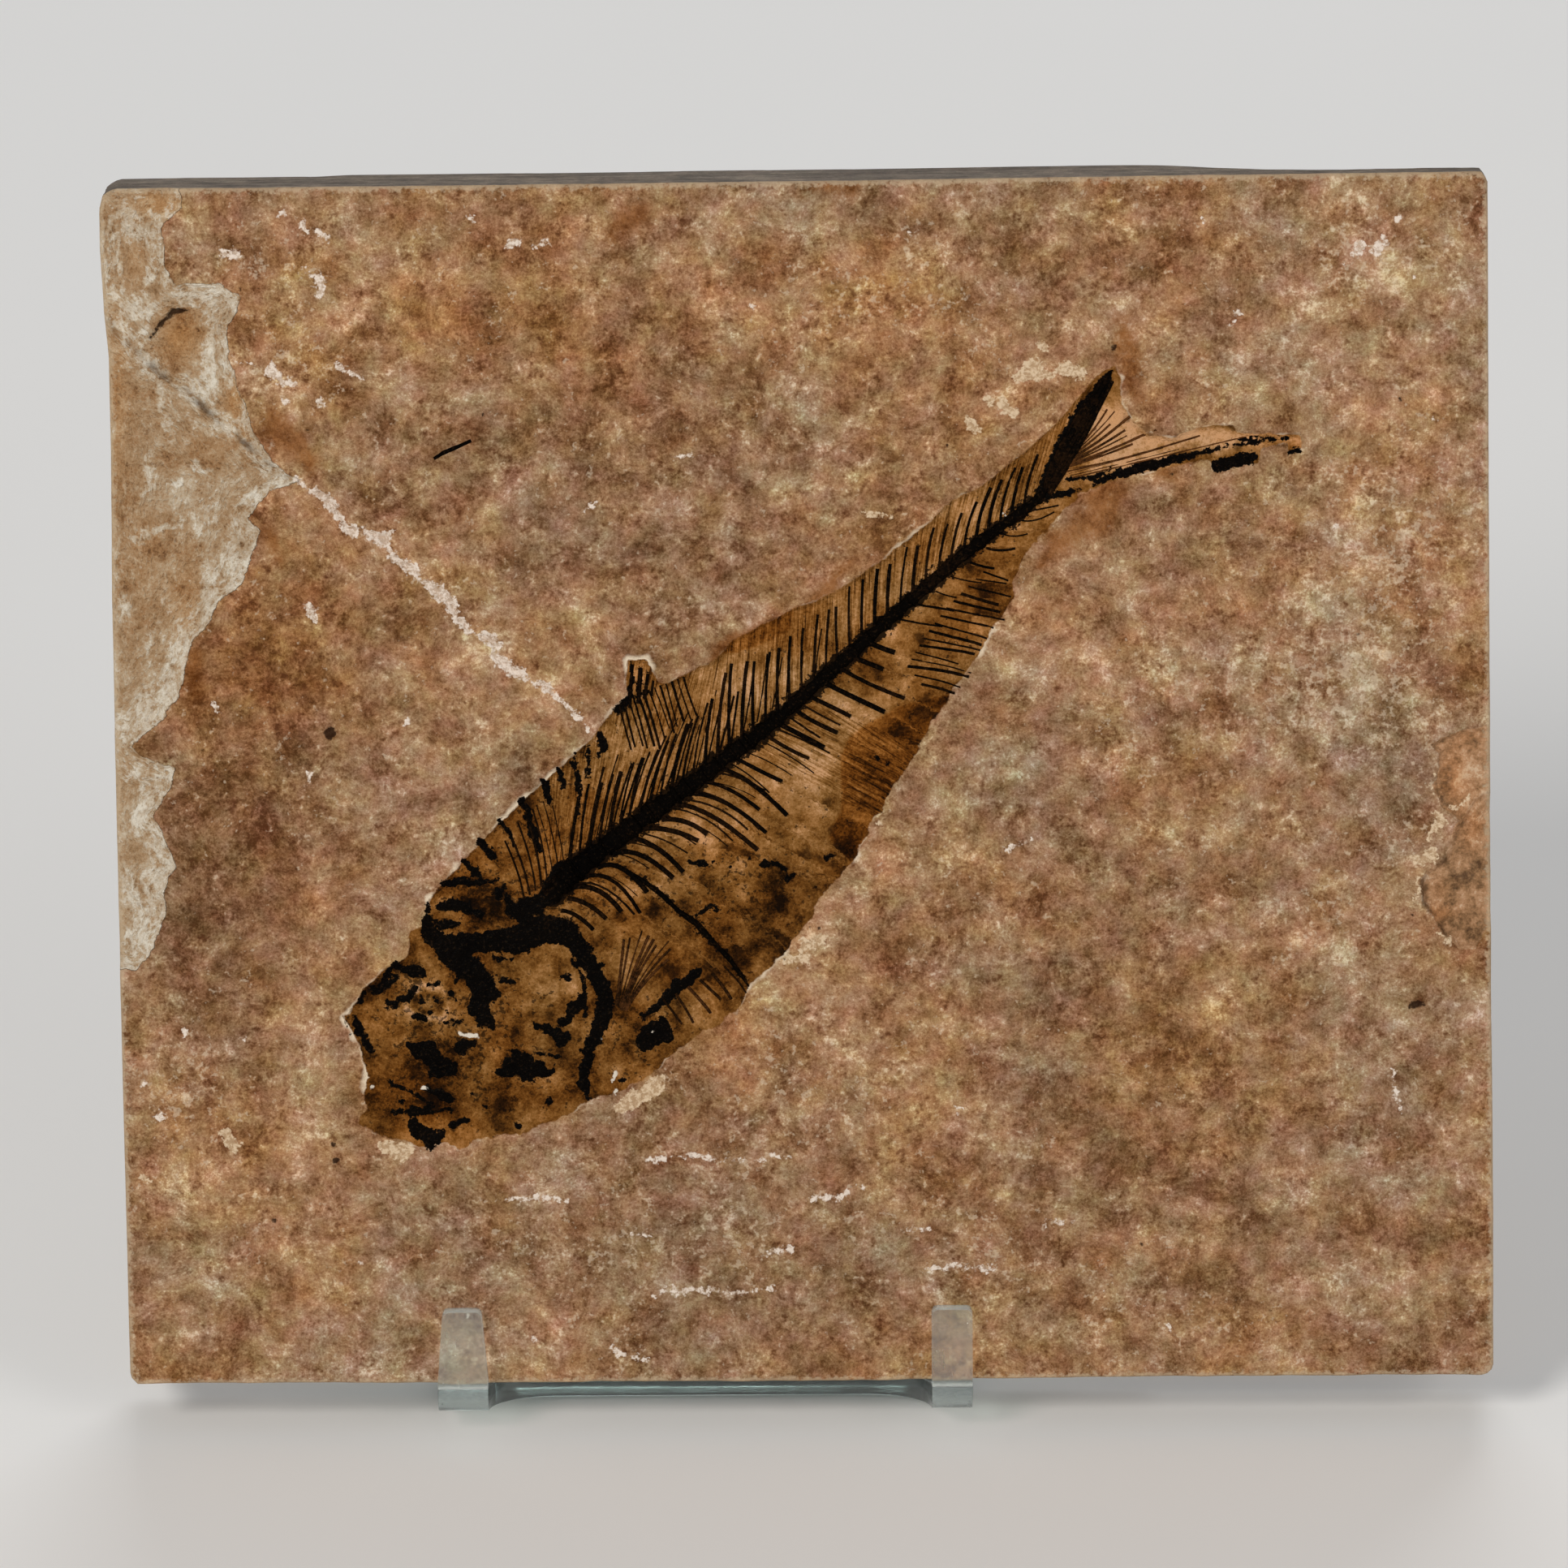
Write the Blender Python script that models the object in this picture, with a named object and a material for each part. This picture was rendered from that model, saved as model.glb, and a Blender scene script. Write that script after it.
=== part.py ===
"""A fossil herring-like fish, Diplomystus, on its limestone slab, leaning on a clear plastic easel.

Run it with blender --background --python part.py, or from Blender's text editor.

The slab's face has its own coordinates in millimetres: u to the right and v up the face, from the
middle of its bottom edge, and w out of the face. The slab leans back, so the face is placed in the
world by FACE_ORIGIN and LEAN. The world's origin is on the table, in the middle of the whole thing.
The slab rests on the seat of the easel and against its back rest, with a small gap to each.
"""

import math

import bmesh
import bpy
import numpy as np
from mathutils import Vector, noise
from mathutils.geometry import delaunay_2d_cdt

MM = 0.001

# Slab
THICKNESS = 9.0
LEAN = math.radians(15.0)
CONTACT_GAP = 0.3
BOTTOM_V = -0.5

# Easel: one strip of clear sheet, cut flat with two lips and a notch between them, then bent. Its sides
# in side view are the lip, the seat, the back rest and the leg.
SHEET = 2.0
LOWER_BEND_RADIUS = 0.6
FOLD_RADIUS = 2.0
FOLD_TOP = 70.0
LEG_REACH = 52.0
LIP_TOP = 6.1
STRIP_SIDES = (-30.3, 14.35)
LIP_INNER_SIDES = (-26.1, 10.95)
LEFT_LIP_TOP = (-29.9, -26.6)
LIP_CORNER = 0.5
NOTCH_W = -5.1
NOTCH_RADIUS = 5.5
LINE_OVERHANG = 0.5
BEND_STEPS = 6
FOLD_STEPS = 10

# Outline of the sawn slab, anticlockwise from its lower left corner
SLAB_OUTLINE = [
    (-55.5, -0.4), (-42.0, -0.35), (-28.0, -0.5), (-14.0, -0.4), (0.0, -0.5), (14.0, -0.4), (28.0, -0.3),
    (42.0, -0.3), (50.0, -0.3), (57.3, -0.3), (57.95, 0.3), (57.9, 12.0), (57.75, 24.0), (57.6, 33.0),
    (57.55, 42.0), (57.45, 52.0), (57.3, 64.0), (57.15, 78.0), (57.05, 90.0), (57.0, 96.0), (56.95, 100.3),
    (56.4, 100.95), (50.0, 100.9), (44.0, 100.85), (38.0, 100.8), (30.0, 100.75), (18.0, 100.65),
    (4.0, 100.5), (-12.0, 100.4), (-26.0, 100.3), (-38.0, 100.25), (-46.0, 100.2), (-51.0, 100.2),
    (-55.8, 100.15), (-56.8, 99.6), (-57.1, 98.4), (-57.1, 95.0), (-56.85, 90.0), (-56.55, 86.0),
    (-56.5, 78.0), (-56.6, 66.0), (-56.55, 54.0), (-56.5, 44.0), (-56.4, 34.0), (-56.3, 22.0),
    (-56.2, 11.0), (-56.1, 0.2),
]
EDGE_CHAMFER = 0.35

# Where the brown surface layer has flaked off the left side. The last points lie outside the slab.
FLAKED_OUTLINE = [
    (-49.6, 101.5), (-50.1, 99.0), (-51.5, 97.2), (-51.7, 95.0), (-51.3, 92.7), (-49.6, 92.2), (-47.9, 92.5),
    (-46.0, 92.1), (-45.4, 90.8), (-46.3, 89.2), (-46.5, 86.5), (-45.6, 84.2), (-44.9, 81.6), (-43.8, 78.9),
    (-42.4, 77.0), (-41.3, 76.0), (-43.4, 74.8), (-45.1, 72.9), (-44.6, 70.8), (-45.5, 68.4), (-45.6, 67.2),
    (-47.6, 65.8), (-49.0, 63.8), (-50.4, 61.2), (-51.2, 57.9), (-53.2, 55.3), (-55.3, 54.0), (-54.1, 52.6),
    (-51.7, 51.3), (-53.3, 47.8), (-53.2, 46.0), (-51.7, 44.2), (-52.5, 41.4), (-52.5, 39.4), (-54.1, 36.0),
    (-56.2, 34.9), (-59.0, 34.0), (-59.0, 101.5),
]
FLAKED_DEPTH = 0.55
FLAKED_WALL_WIDTH = 0.5
FLAKED_SLOPE_DEPTH = 0.7
FLAKED_SLOPE_WIDTH = 6.0
FLAKED_LUMPS = 0.3
SCAR_CENTRE = (-54.3, 94.6)
SCAR_RADII = (2.4, 4.0)
SCAR_DEPTH = 0.6

# A chip out of the right edge
CHIP_OUTLINE = [
    (60.0, 50.5), (56.6, 49.6), (55.5, 48.2), (54.6, 46.4), (53.7, 44.0), (52.3, 42.8), (51.7, 41.8),
    (52.0, 39.6), (53.1, 38.0), (54.8, 36.1), (56.0, 35.4), (56.7, 36.4), (60.0, 37.5),
]
CHIP_DEPTH = 0.9
CHIP_SLOPE_WIDTH = 1.6

# White spalls along the crack that runs from the flaked corner to the fish's back
SPALLS = [
    [(-40.2, 75.1), (-38.4, 74.9), (-37.9, 73.4), (-36.6, 72.0), (-37.0, 71.5), (-38.1, 72.8), (-38.9, 74.1)],
    [(-35.8, 71.7), (-34.6, 71.9), (-33.5, 71.5), (-33.4, 70.7), (-33.8, 70.0), (-34.7, 70.4)],
    [(-33.6, 69.8), (-32.4, 69.1), (-31.2, 68.8), (-31.4, 68.0), (-32.2, 68.6)],
    [(-30.8, 67.4), (-29.4, 67.1), (-28.3, 66.1), (-28.4, 65.2), (-27.3, 63.6), (-28.1, 64.3), (-29.7, 66.3)],
    [(-26.0, 62.9), (-24.9, 63.1), (-24.8, 62.0), (-25.4, 62.3)],
    [(-25.2, 61.6), (-24.2, 61.1), (-22.8, 59.6), (-23.8, 59.5), (-24.9, 60.4)],
]
SPALL_DEPTH = 0.35
SPALL_SLOPE_WIDTH = 0.3

# The fish lies in a shallow bed worked into the stone. Anticlockwise from the snout, belly first.
FISH_OUTLINE = [
    (-37.9, 30.6), (-37.2, 29.8), (-36.3, 27.9), (-35.8, 25.6), (-36.2, 23.3), (-36.7, 21.7), (-35.0, 20.8),
    (-32.2, 20.1), (-31.2, 19.6), (-30.2, 20.0), (-28.3, 19.6), (-27.0, 20.4), (-23.5, 20.7), (-20.5, 21.9),
    (-17.9, 23.4), (-15.2, 24.1), (-12.5, 25.6), (-10.3, 27.6), (-8.0, 29.2), (-5.4, 31.0), (-3.9, 33.3),
    (-1.5, 35.8), (0.5, 38.3), (2.3, 40.9), (4.9, 44.4), (6.3, 47.2), (8.0, 49.9), (9.8, 52.6), (11.2, 55.2),
    (13.0, 58.0), (15.0, 60.8), (16.6, 63.6), (17.8, 65.8), (18.2, 68.0), (19.6, 70.2), (21.4, 72.2),
    (24.6, 74.9), (27.0, 75.4), (31.0, 76.8), (34.0, 77.0), (34.4, 76.2), (38.0, 76.9), (38.3, 77.6),
    (41.0, 77.6), (41.7, 78.2), (41.2, 79.1), (36.4, 79.3), (35.9, 80.0), (33.2, 79.9), (31.0, 79.1),
    (29.2, 79.3), (27.8, 80.5), (26.9, 82.0), (26.8, 84.0), (26.3, 85.1), (25.3, 84.7), (23.5, 82.7),
    (21.3, 80.1), (19.0, 78.1), (16.0, 75.6), (12.4, 73.6), (11.2, 72.3), (7.8, 69.6), (4.8, 67.4),
    (1.8, 65.5), (-0.8, 64.6), (-3.2, 63.5), (-5.4, 62.4), (-6.4, 61.1), (-8.5, 59.8), (-11.0, 58.9),
    (-12.4, 60.9), (-14.0, 60.8), (-14.1, 57.7), (-15.6, 56.2), (-17.0, 54.0), (-20.0, 51.5), (-23.2, 48.7),
    (-26.2, 45.9), (-28.8, 43.0), (-30.7, 41.0), (-31.5, 38.3), (-32.5, 37.3), (-32.0, 35.8), (-34.6, 34.8),
    (-36.3, 33.0),
]
BED_DEPTH = 0.5
BED_WALL_WIDTH = 0.3
BELLY_RISE = 0.25
BELLY_RISE_WIDTH = 5.0

# Backbone from the skull to the root of the tail: middle line, half width at each point
BACKBONE = [
    (-20.2, 41.6, 1.0), (-18.0, 43.9, 1.0), (-15.4, 45.8, 0.95), (-12.2, 48.0, 0.85), (-8.6, 50.6, 0.85),
    (-5.0, 53.3, 0.75), (-1.4, 56.0, 0.7), (2.2, 58.8, 0.65), (5.6, 61.9, 0.6), (9.0, 65.0, 0.62),
    (12.4, 68.1, 0.62), (15.6, 70.8, 0.58), (18.6, 73.0, 0.5), (20.6, 74.9, 0.6),
]
VERTEBRAE = 34
BACKBONE_HEIGHT = 0.75
WAIST_SHARE = 0.72

# Rows of bones by stations: index in the row, root, middle and tip on the face
NEURAL_SPINES = [
    (0, (-18.9, 44.4), (-18.6, 46.9), (-18.2, 49.3)), (8, (-12.2, 49.2), (-11.5, 51.6), (-10.6, 54.0)),
    (12, (-8.6, 51.9), (-8.1, 54.6), (-7.4, 57.2)), (15, (-5.6, 54.2), (-5.5, 57.5), (-5.2, 60.8)),
    (18, (-2.6, 56.2), (-2.5, 59.0), (-2.2, 61.7)), (26, (5.4, 62.6), (5.4, 65.0), (5.5, 67.4)),
    (34, (13.9, 70.5), (14.3, 72.2), (15.0, 74.0)), (39, (19.2, 75.2), (19.6, 77.0), (20.2, 78.7)),
]
RIBS = [
    (0, (-19.6, 39.4), (-18.3, 39.2), (-16.8, 38.0)), (3, (-17.6, 42.0), (-15.6, 41.6), (-13.0, 39.4)),
    (6, (-15.2, 44.0), (-12.5, 42.7), (-8.6, 38.9)), (9, (-12.6, 46.3), (-10.6, 45.7), (-7.9, 43.6)),
    (12, (-9.6, 48.8), (-7.0, 47.8), (-3.0, 44.8)), (15, (-6.4, 51.0), (-4.2, 50.4), (-0.8, 47.7)),
    (18, (-3.0, 53.5), (-1.5, 53.1), (0.9, 52.0)), (21, (0.6, 56.4), (2.0, 55.8), (3.6, 54.8)),
    (23, (3.0, 58.5), (5.0, 57.5), (7.0, 56.4)), (25, (5.4, 60.9), (6.4, 60.3), (7.4, 59.8)),
]
HAEMAL_SPINES = [
    (0, (9.2, 64.0), (12.5, 62.9), (15.8, 62.0)), (2, (12.0, 66.3), (14.6, 65.7), (17.1, 65.3)),
    (4, (14.6, 68.6), (16.3, 68.1), (17.9, 67.7)), (8, (19.4, 72.5), (20.3, 72.5), (21.2, 72.8)),
]
ANAL_FIN_SUPPORTS = [
    (0, (11.2, 58.5), (12.1, 58.3), (13.0, 58.0)), (2, (10.2, 60.3), (12.0, 59.9), (13.8, 59.4)),
    (6, (11.9, 62.2), (13.7, 61.8), (15.3, 61.4)), (14, (16.4, 67.4), (17.1, 67.3), (17.8, 67.2)),
]
DORSAL_FIN_SUPPORTS = [
    (0, (-14.6, 56.7), (-14.2, 55.2), (-13.9, 53.6)), (5, (-12.0, 58.1), (-11.6, 56.0), (-11.2, 53.9)),
    (9, (-9.3, 59.0), (-9.0, 57.8), (-8.6, 56.6)),
]
DORSAL_FIN_RAYS = [
    (0, (-13.8, 57.9), (-13.7, 59.2), (-13.5, 60.5)), (3, (-12.2, 58.4), (-12.1, 59.2), (-11.9, 59.9)),
]
NAPE_BONES = [
    (0, (-29.9, 40.4), (-28.4, 40.2), (-26.9, 40.1)), (1, (-29.5, 42.2), (-28.0, 42.3), (-26.2, 42.3)),
    (3, (-26.0, 45.6), (-25.5, 45.0), (-25.0, 44.3)), (5, (-22.5, 49.1), (-22.1, 47.1), (-21.8, 45.0)),
    (9, (-17.1, 53.6), (-17.0, 52.5), (-17.0, 51.4)),
]
TAIL_RAYS = [
    (0, (23.8, 78.4), (25.2, 80.0), (26.5, 82.0)), (3, (23.6, 77.4), (25.8, 78.6), (28.0, 79.8)),
    (6, (23.4, 76.6), (27.0, 77.4), (31.5, 78.6)),
]
PECTORAL_FIN_RAYS = [
    (0, (-15.0, 32.6), (-14.6, 34.8), (-13.9, 37.2)), (6, (-13.9, 32.6), (-12.2, 34.6), (-10.2, 36.6)),
]
BELLY_SPINES = [
    (0, (-9.4, 31.8), (-8.6, 30.6), (-8.0, 29.8)), (4, (-5.9, 34.6), (-5.0, 33.6), (-4.4, 32.8)),
]
# Each row of bones with its half width and its height over the bed
BONE_ROWS = [
    (NEURAL_SPINES, 0.24, 0.35),
    (RIBS, 0.26, 0.4),
    (HAEMAL_SPINES, 0.22, 0.35),
    (ANAL_FIN_SUPPORTS, 0.18, 0.3),
    (DORSAL_FIN_SUPPORTS, 0.18, 0.3),
    (DORSAL_FIN_RAYS, 0.2, 0.35),
    (NAPE_BONES, 0.36, 0.4),
    (TAIL_RAYS, 0.22, 0.3),
    (PECTORAL_FIN_RAYS, 0.18, 0.25),
    (BELLY_SPINES, 0.2, 0.3),
]

# Larger single bones: crest points, half width, height
SINGLE_BONES = [
    ([(-31.0, 38.4), (-29.4, 36.4), (-27.0, 37.3), (-24.4, 38.2), (-21.8, 39.2), (-20.2, 41.2)], 1.0, 0.7),
    ([(-20.6, 37.9), (-17.9, 37.1), (-16.2, 35.2), (-15.5, 33.0), (-15.8, 31.0)], 0.8, 0.6),
    ([(-15.9, 30.6), (-16.8, 29.0), (-17.5, 27.1), (-18.2, 25.6), (-17.9, 23.9)], 0.5, 0.5),
    ([(-29.7, 36.0), (-27.8, 34.3), (-26.3, 33.2), (-25.9, 31.5), (-25.3, 30.0)], 1.0, 0.6),
    ([(-37.1, 31.2), (-36.5, 29.4), (-36.0, 27.8), (-34.8, 26.4)], 0.4, 0.35),
    ([(-34.6, 33.9), (-32.6, 34.8), (-30.6, 34.6)], 0.5, 0.35),
    ([(-32.7, 28.5), (-31.4, 27.6), (-30.0, 27.0), (-29.0, 26.2)], 0.9, 0.45),
    ([(-25.2, 26.4), (-23.8, 26.6), (-22.2, 26.5), (-20.6, 26.2)], 0.9, 0.45),
    ([(-22.8, 30.6), (-21.2, 29.6), (-19.6, 29.2), (-18.7, 30.9), (-18.5, 32.4)], 0.6, 0.45),
    ([(-31.4, 24.6), (-29.6, 24.2), (-28.4, 23.6)], 0.5, 0.35),
    ([(-35.6, 22.6), (-32.4, 21.8), (-29.6, 22.0), (-26.4, 22.2), (-22.6, 23.0)], 0.5, 0.35),
    ([(-13.4, 28.6), (-12.0, 29.4), (-10.6, 29.2)], 1.1, 0.5),
    ([(-13.4, 31.0), (-11.4, 32.2), (-9.6, 34.2), (-8.2, 34.8)], 0.5, 0.4),
    ([(-14.0, 43.1), (-11.3, 41.3), (-8.5, 38.8), (-6.3, 36.0), (-4.0, 33.1)], 0.3, 0.4),
    ([(20.8, 75.0), (21.9, 77.6), (23.5, 80.3), (24.9, 82.4), (26.3, 84.4)], 0.85, 0.6),
    ([(21.8, 75.7), (26.6, 76.1), (30.2, 77.0), (34.4, 77.8), (40.6, 78.7)], 0.42, 0.4),
]
GILL_COVER_CENTRE = (-21.5, 33.5)
GILL_COVER_RADII = (3.3, 3.0)
GILL_COVER_HEIGHT = 0.45
EYE_CENTRE = (-31.2, 32.0)
EYE_RADIUS = 2.1
EYE_RIM_HALF_WIDTH = 0.6
EYE_RIM_HEIGHT = 0.35
ROUND_STEPS = 20

# The back is split, not sawn: it steps in along bedding planes, most of all at the top right corner.
BACK_STEPS = [
    (
        [(22.0, 110.0), (26.0, 100.5), (33.0, 96.0), (41.0, 92.5), (48.0, 90.0), (70.0, 86.0), (70.0, 110.0)],
        5.4,
        10.0,
    ),
    ([(-62.0, 60.0), (-50.0, 62.0), (-43.0, 71.0), (-40.0, 84.0), (-36.0, 104.0), (-62.0, 104.0)], 0.8, 3.0),
    ([(28.0, -4.0), (31.0, 10.0), (38.0, 22.0), (50.0, 30.0), (62.0, 32.0), (62.0, -4.0)], 0.7, 2.5),
]
FILL_SPACING = 2.2
FILL_MARGIN = 1.0
EDGE_MARGIN = 0.6
BACK_SPACING = 9.0
MERGE_DISTANCE = 0.03

STONE_COLOUR = (0.33, 0.20, 0.115, 1.0)
CLEAR_COLOUR = (0.86, 0.9, 0.9, 1.0)


def lean_back(v, w):
    """(y, z) in mm, from the face's own origin, of a point of the face's coordinates."""
    return np.array((v * math.sin(LEAN) - w * math.cos(LEAN), v * math.cos(LEAN) + w * math.sin(LEAN)))


def direction(angle):
    return np.array((math.cos(angle), math.sin(angle)))


class SheetPath:
    """The middle line of the bent sheet in side view, from the lips' tops to the end of the leg.

    It is walked as straight runs and arcs. A stop is kept at each end of a run and along the arcs: how far
    it has come, where it is as (y, z) from the face's own origin, and which way it heads.
    """

    def __init__(self):
        half = SHEET / 2
        bend = LOWER_BEND_RADIUS + half
        fold = FOLD_RADIUS + half
        seat_v = BOTTOM_V - CONTACT_GAP
        back_w = -THICKNESS - CONTACT_GAP
        bend_v = seat_v + LOWER_BEND_RADIUS
        bend_w = (CONTACT_GAP - LOWER_BEND_RADIUS, back_w + LOWER_BEND_RADIUS)
        self.table = lean_back(bend_v, bend_w[1])[1] - LOWER_BEND_RADIUS - SHEET
        self.position = lean_back(LIP_TOP, CONTACT_GAP + half)
        self.heading = -math.pi / 2 - LEAN
        self.travelled = 0.0
        self.stops = []
        self.stop()
        self.straight(LIP_TOP - bend_v)
        self.turn(bend, math.pi / 2, BEND_STEPS)
        self.seat_start = self.travelled
        self.straight(bend_w[0] - bend_w[1])
        self.turn(bend, math.pi / 2, BEND_STEPS)
        self.straight(FOLD_TOP - SHEET - FOLD_RADIUS - bend_v)
        fold_centre = self.position - fold * self.left()
        to_end = np.array((LEG_REACH, self.table)) - fold_centre
        away = float(np.linalg.norm(to_end))
        leg_heading = math.atan2(to_end[1], to_end[0]) - math.asin(fold / away)
        self.turn(fold, leg_heading - self.heading, FOLD_STEPS)
        self.straight(math.sqrt(away ** 2 - fold ** 2))

    def left(self):
        """The direction to the left of the way it heads: towards the slab, then out of the leg."""
        return direction(self.heading + math.pi / 2)

    def stop(self):
        self.stops.append((self.travelled, self.position, self.heading))

    def straight(self, length):
        self.position = self.position + length * direction(self.heading)
        self.travelled += length
        self.stop()

    def turn(self, radius, angle, steps):
        """An arc to the left, or to the right if the angle is negative."""
        side = math.copysign(1.0, angle)
        for _ in range(steps):
            centre = self.position + side * radius * self.left()
            self.heading += angle / steps
            self.position = centre - side * radius * self.left()
            self.travelled += radius * abs(angle) / steps
            self.stop()

    def place(self, travelled, offset):
        """(y, z) of a point of the sheet, offset to the left of the middle line.

        The leg's end is cut level with the table.
        """
        distances = [s[0] for s in self.stops]
        y = np.interp(travelled, distances, [s[1][0] for s in self.stops])
        z = np.interp(travelled, distances, [s[1][1] for s in self.stops])
        heading = np.interp(travelled, distances, [s[2] for s in self.stops])
        point = np.array((y, z)) + offset * direction(heading + math.pi / 2)
        if travelled >= distances[-1]:
            point = point + direction(heading) * (self.table - point[1]) / math.sin(heading)
        return point


def origin_of_face():
    """Where the face's own origin lies, in mm, with the world's origin on the table in the middle."""
    path = SheetPath()
    corners = [path.place(s[0], offset) for s in path.stops for offset in (SHEET / 2, -SHEET / 2)]
    depths = [c[0] for c in corners]
    sides = [u for u, _ in SLAB_OUTLINE]
    return -(min(sides) + max(sides)) / 2, -(min(depths) + max(depths)) / 2, -path.table


FACE_ORIGIN = origin_of_face()


def to_world(u, place):
    """World position in metres of a point at u and (y, z) from the face's own origin, all in mm."""
    x0, y0, z0 = FACE_ORIGIN
    return Vector((x0 + u, y0 + place[0], z0 + place[1])) * MM


def face_to_world(u, v, w):
    """A point of the face's coordinates, in mm, as a world position in metres."""
    return to_world(u, lean_back(v, w))


def depth_inside(outline, points):
    """How far each point lies inside a closed outline, and 0 for points outside it."""
    a = np.array(outline, float)
    b = np.roll(a, -1, axis=0)
    ab = b - a
    ap = points[:, None, :] - a[None]
    along = np.clip((ap * ab).sum(2) / (ab * ab).sum(1), 0, 1)
    distance = np.linalg.norm(ap - along[..., None] * ab, axis=2).min(1)
    px, py = points[:, 0:1], points[:, 1:2]
    crosses = (a[:, 1] > py) != (b[:, 1] > py)
    rise = np.where(ab[:, 1] == 0, 1.0, ab[:, 1])
    inside = (crosses & (px < a[:, 0] + (py - a[:, 1]) * ab[:, 0] / rise)).sum(1) % 2 == 1
    return np.where(inside, distance, 0.0)


def ramp(distance, width):
    return np.clip(distance / width, 0.0, 1.0)


def lumps(points, scale, layer):
    """Smooth, repeatable unevenness between about -1 and 1."""
    return np.array([noise.noise(Vector((u * scale, v * scale, layer))) for u, v in points])


def ellipse_share(points, centre, radii):
    """0 at the centre of an ellipse and 1 on its rim."""
    return np.hypot((points[:, 0] - centre[0]) / radii[0], (points[:, 1] - centre[1]) / radii[1])


def ellipse_points(centre, radii, steps):
    angles = [2 * math.pi * i / steps for i in range(steps)]
    return [(centre[0] + radii[0] * math.cos(a), centre[1] + radii[1] * math.sin(a)) for a in angles]


def inset(outline, distance):
    """A closed anticlockwise or clockwise outline moved inwards, corner by corner."""
    p = np.array(outline, float)
    before, after = np.roll(p, 1, axis=0), np.roll(p, -1, axis=0)
    along = after - before
    normal = np.stack([-along[:, 1], along[:, 0]], 1) / np.linalg.norm(along, axis=1)[:, None]
    area = (p[:, 0] * after[:, 1] - after[:, 0] * p[:, 1]).sum()
    return p + normal * distance * (1 if area > 0 else -1)


def row_of_bones(stations):
    """One crest of three points for each index, between the stations given for the row."""
    at = [s[0] for s in stations]
    crests = []
    for i in range(at[-1] + 1):
        crest = []
        for part in (1, 2, 3):
            crest.append(tuple(np.interp(i, at, [s[part][k] for s in stations]) for k in (0, 1)))
        crests.append(crest)
    return crests


class Ridge:
    """A bone that stands out of the face: a crest line with a half width and a height at each point."""

    def __init__(self, crest, half_widths, heights):
        self.crest = np.array(crest, float)
        self.half_widths = np.array(half_widths, float)
        self.heights = np.array(heights, float)

    def sides(self):
        """The two foot lines, left and right of the crest."""
        along = np.gradient(self.crest, axis=0)
        across = np.stack([-along[:, 1], along[:, 0]], 1) / np.linalg.norm(along, axis=1)[:, None]
        reach = across * self.half_widths[:, None]
        return self.crest + reach, self.crest - reach

    def height_at(self, points):
        """Its height over the bed: full on the crest, falling evenly to 0 at the foot lines."""
        best = np.zeros(len(points))
        for i in range(len(self.crest) - 1):
            a, b = self.crest[i], self.crest[i + 1]
            t = np.clip((points - a) @ (b - a) / ((b - a) @ (b - a)), 0, 1)
            distance = np.linalg.norm(points - (a + t[:, None] * (b - a)), axis=1)
            half_width = self.half_widths[i] * (1 - t) + self.half_widths[i + 1] * t
            height = self.heights[i] * (1 - t) + self.heights[i + 1] * t
            best = np.maximum(best, height * np.clip(1 - distance / np.maximum(half_width, 0.01), 0, 1))
        return best


def thin_bones():
    ridges = []
    for stations, half_width, height in BONE_ROWS:
        for crest in row_of_bones(stations):
            ridges.append(Ridge(crest, [half_width, half_width * 0.9, 0.04], [height, height, height * 0.25]))
    return ridges


def single_bones():
    ridges = []
    for crest, half_width, height in SINGLE_BONES:
        taper = np.interp(np.linspace(0, 1, len(crest)), [0, 0.25, 0.75, 1], [0.5, 1, 1, 0.25])
        ridges.append(Ridge(crest, half_width * taper, height * np.sqrt(taper)))
    return ridges


def backbone():
    """A chain of vertebrae: a bead for each, with a waist at each joint."""
    line = np.array(BACKBONE)
    travelled = np.concatenate([[0], np.cumsum(np.linalg.norm(np.diff(line[:, :2], axis=0), axis=1))])
    stops = np.linspace(0, travelled[-1], 2 * VERTEBRAE + 1)
    crest = np.stack([np.interp(stops, travelled, line[:, k]) for k in (0, 1)], 1)
    bead = np.where(np.arange(len(stops)) % 2 == 1, 1.0, WAIST_SHARE)
    return Ridge(crest, np.interp(stops, travelled, line[:, 2]) * bead, BACKBONE_HEIGHT * bead)


def eye_rim():
    crest = ellipse_points(EYE_CENTRE, (EYE_RADIUS, EYE_RADIUS), ROUND_STEPS // 2)
    crest.append(crest[0])
    return Ridge(crest, [EYE_RIM_HALF_WIDTH] * len(crest), [EYE_RIM_HEIGHT] * len(crest))


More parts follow.
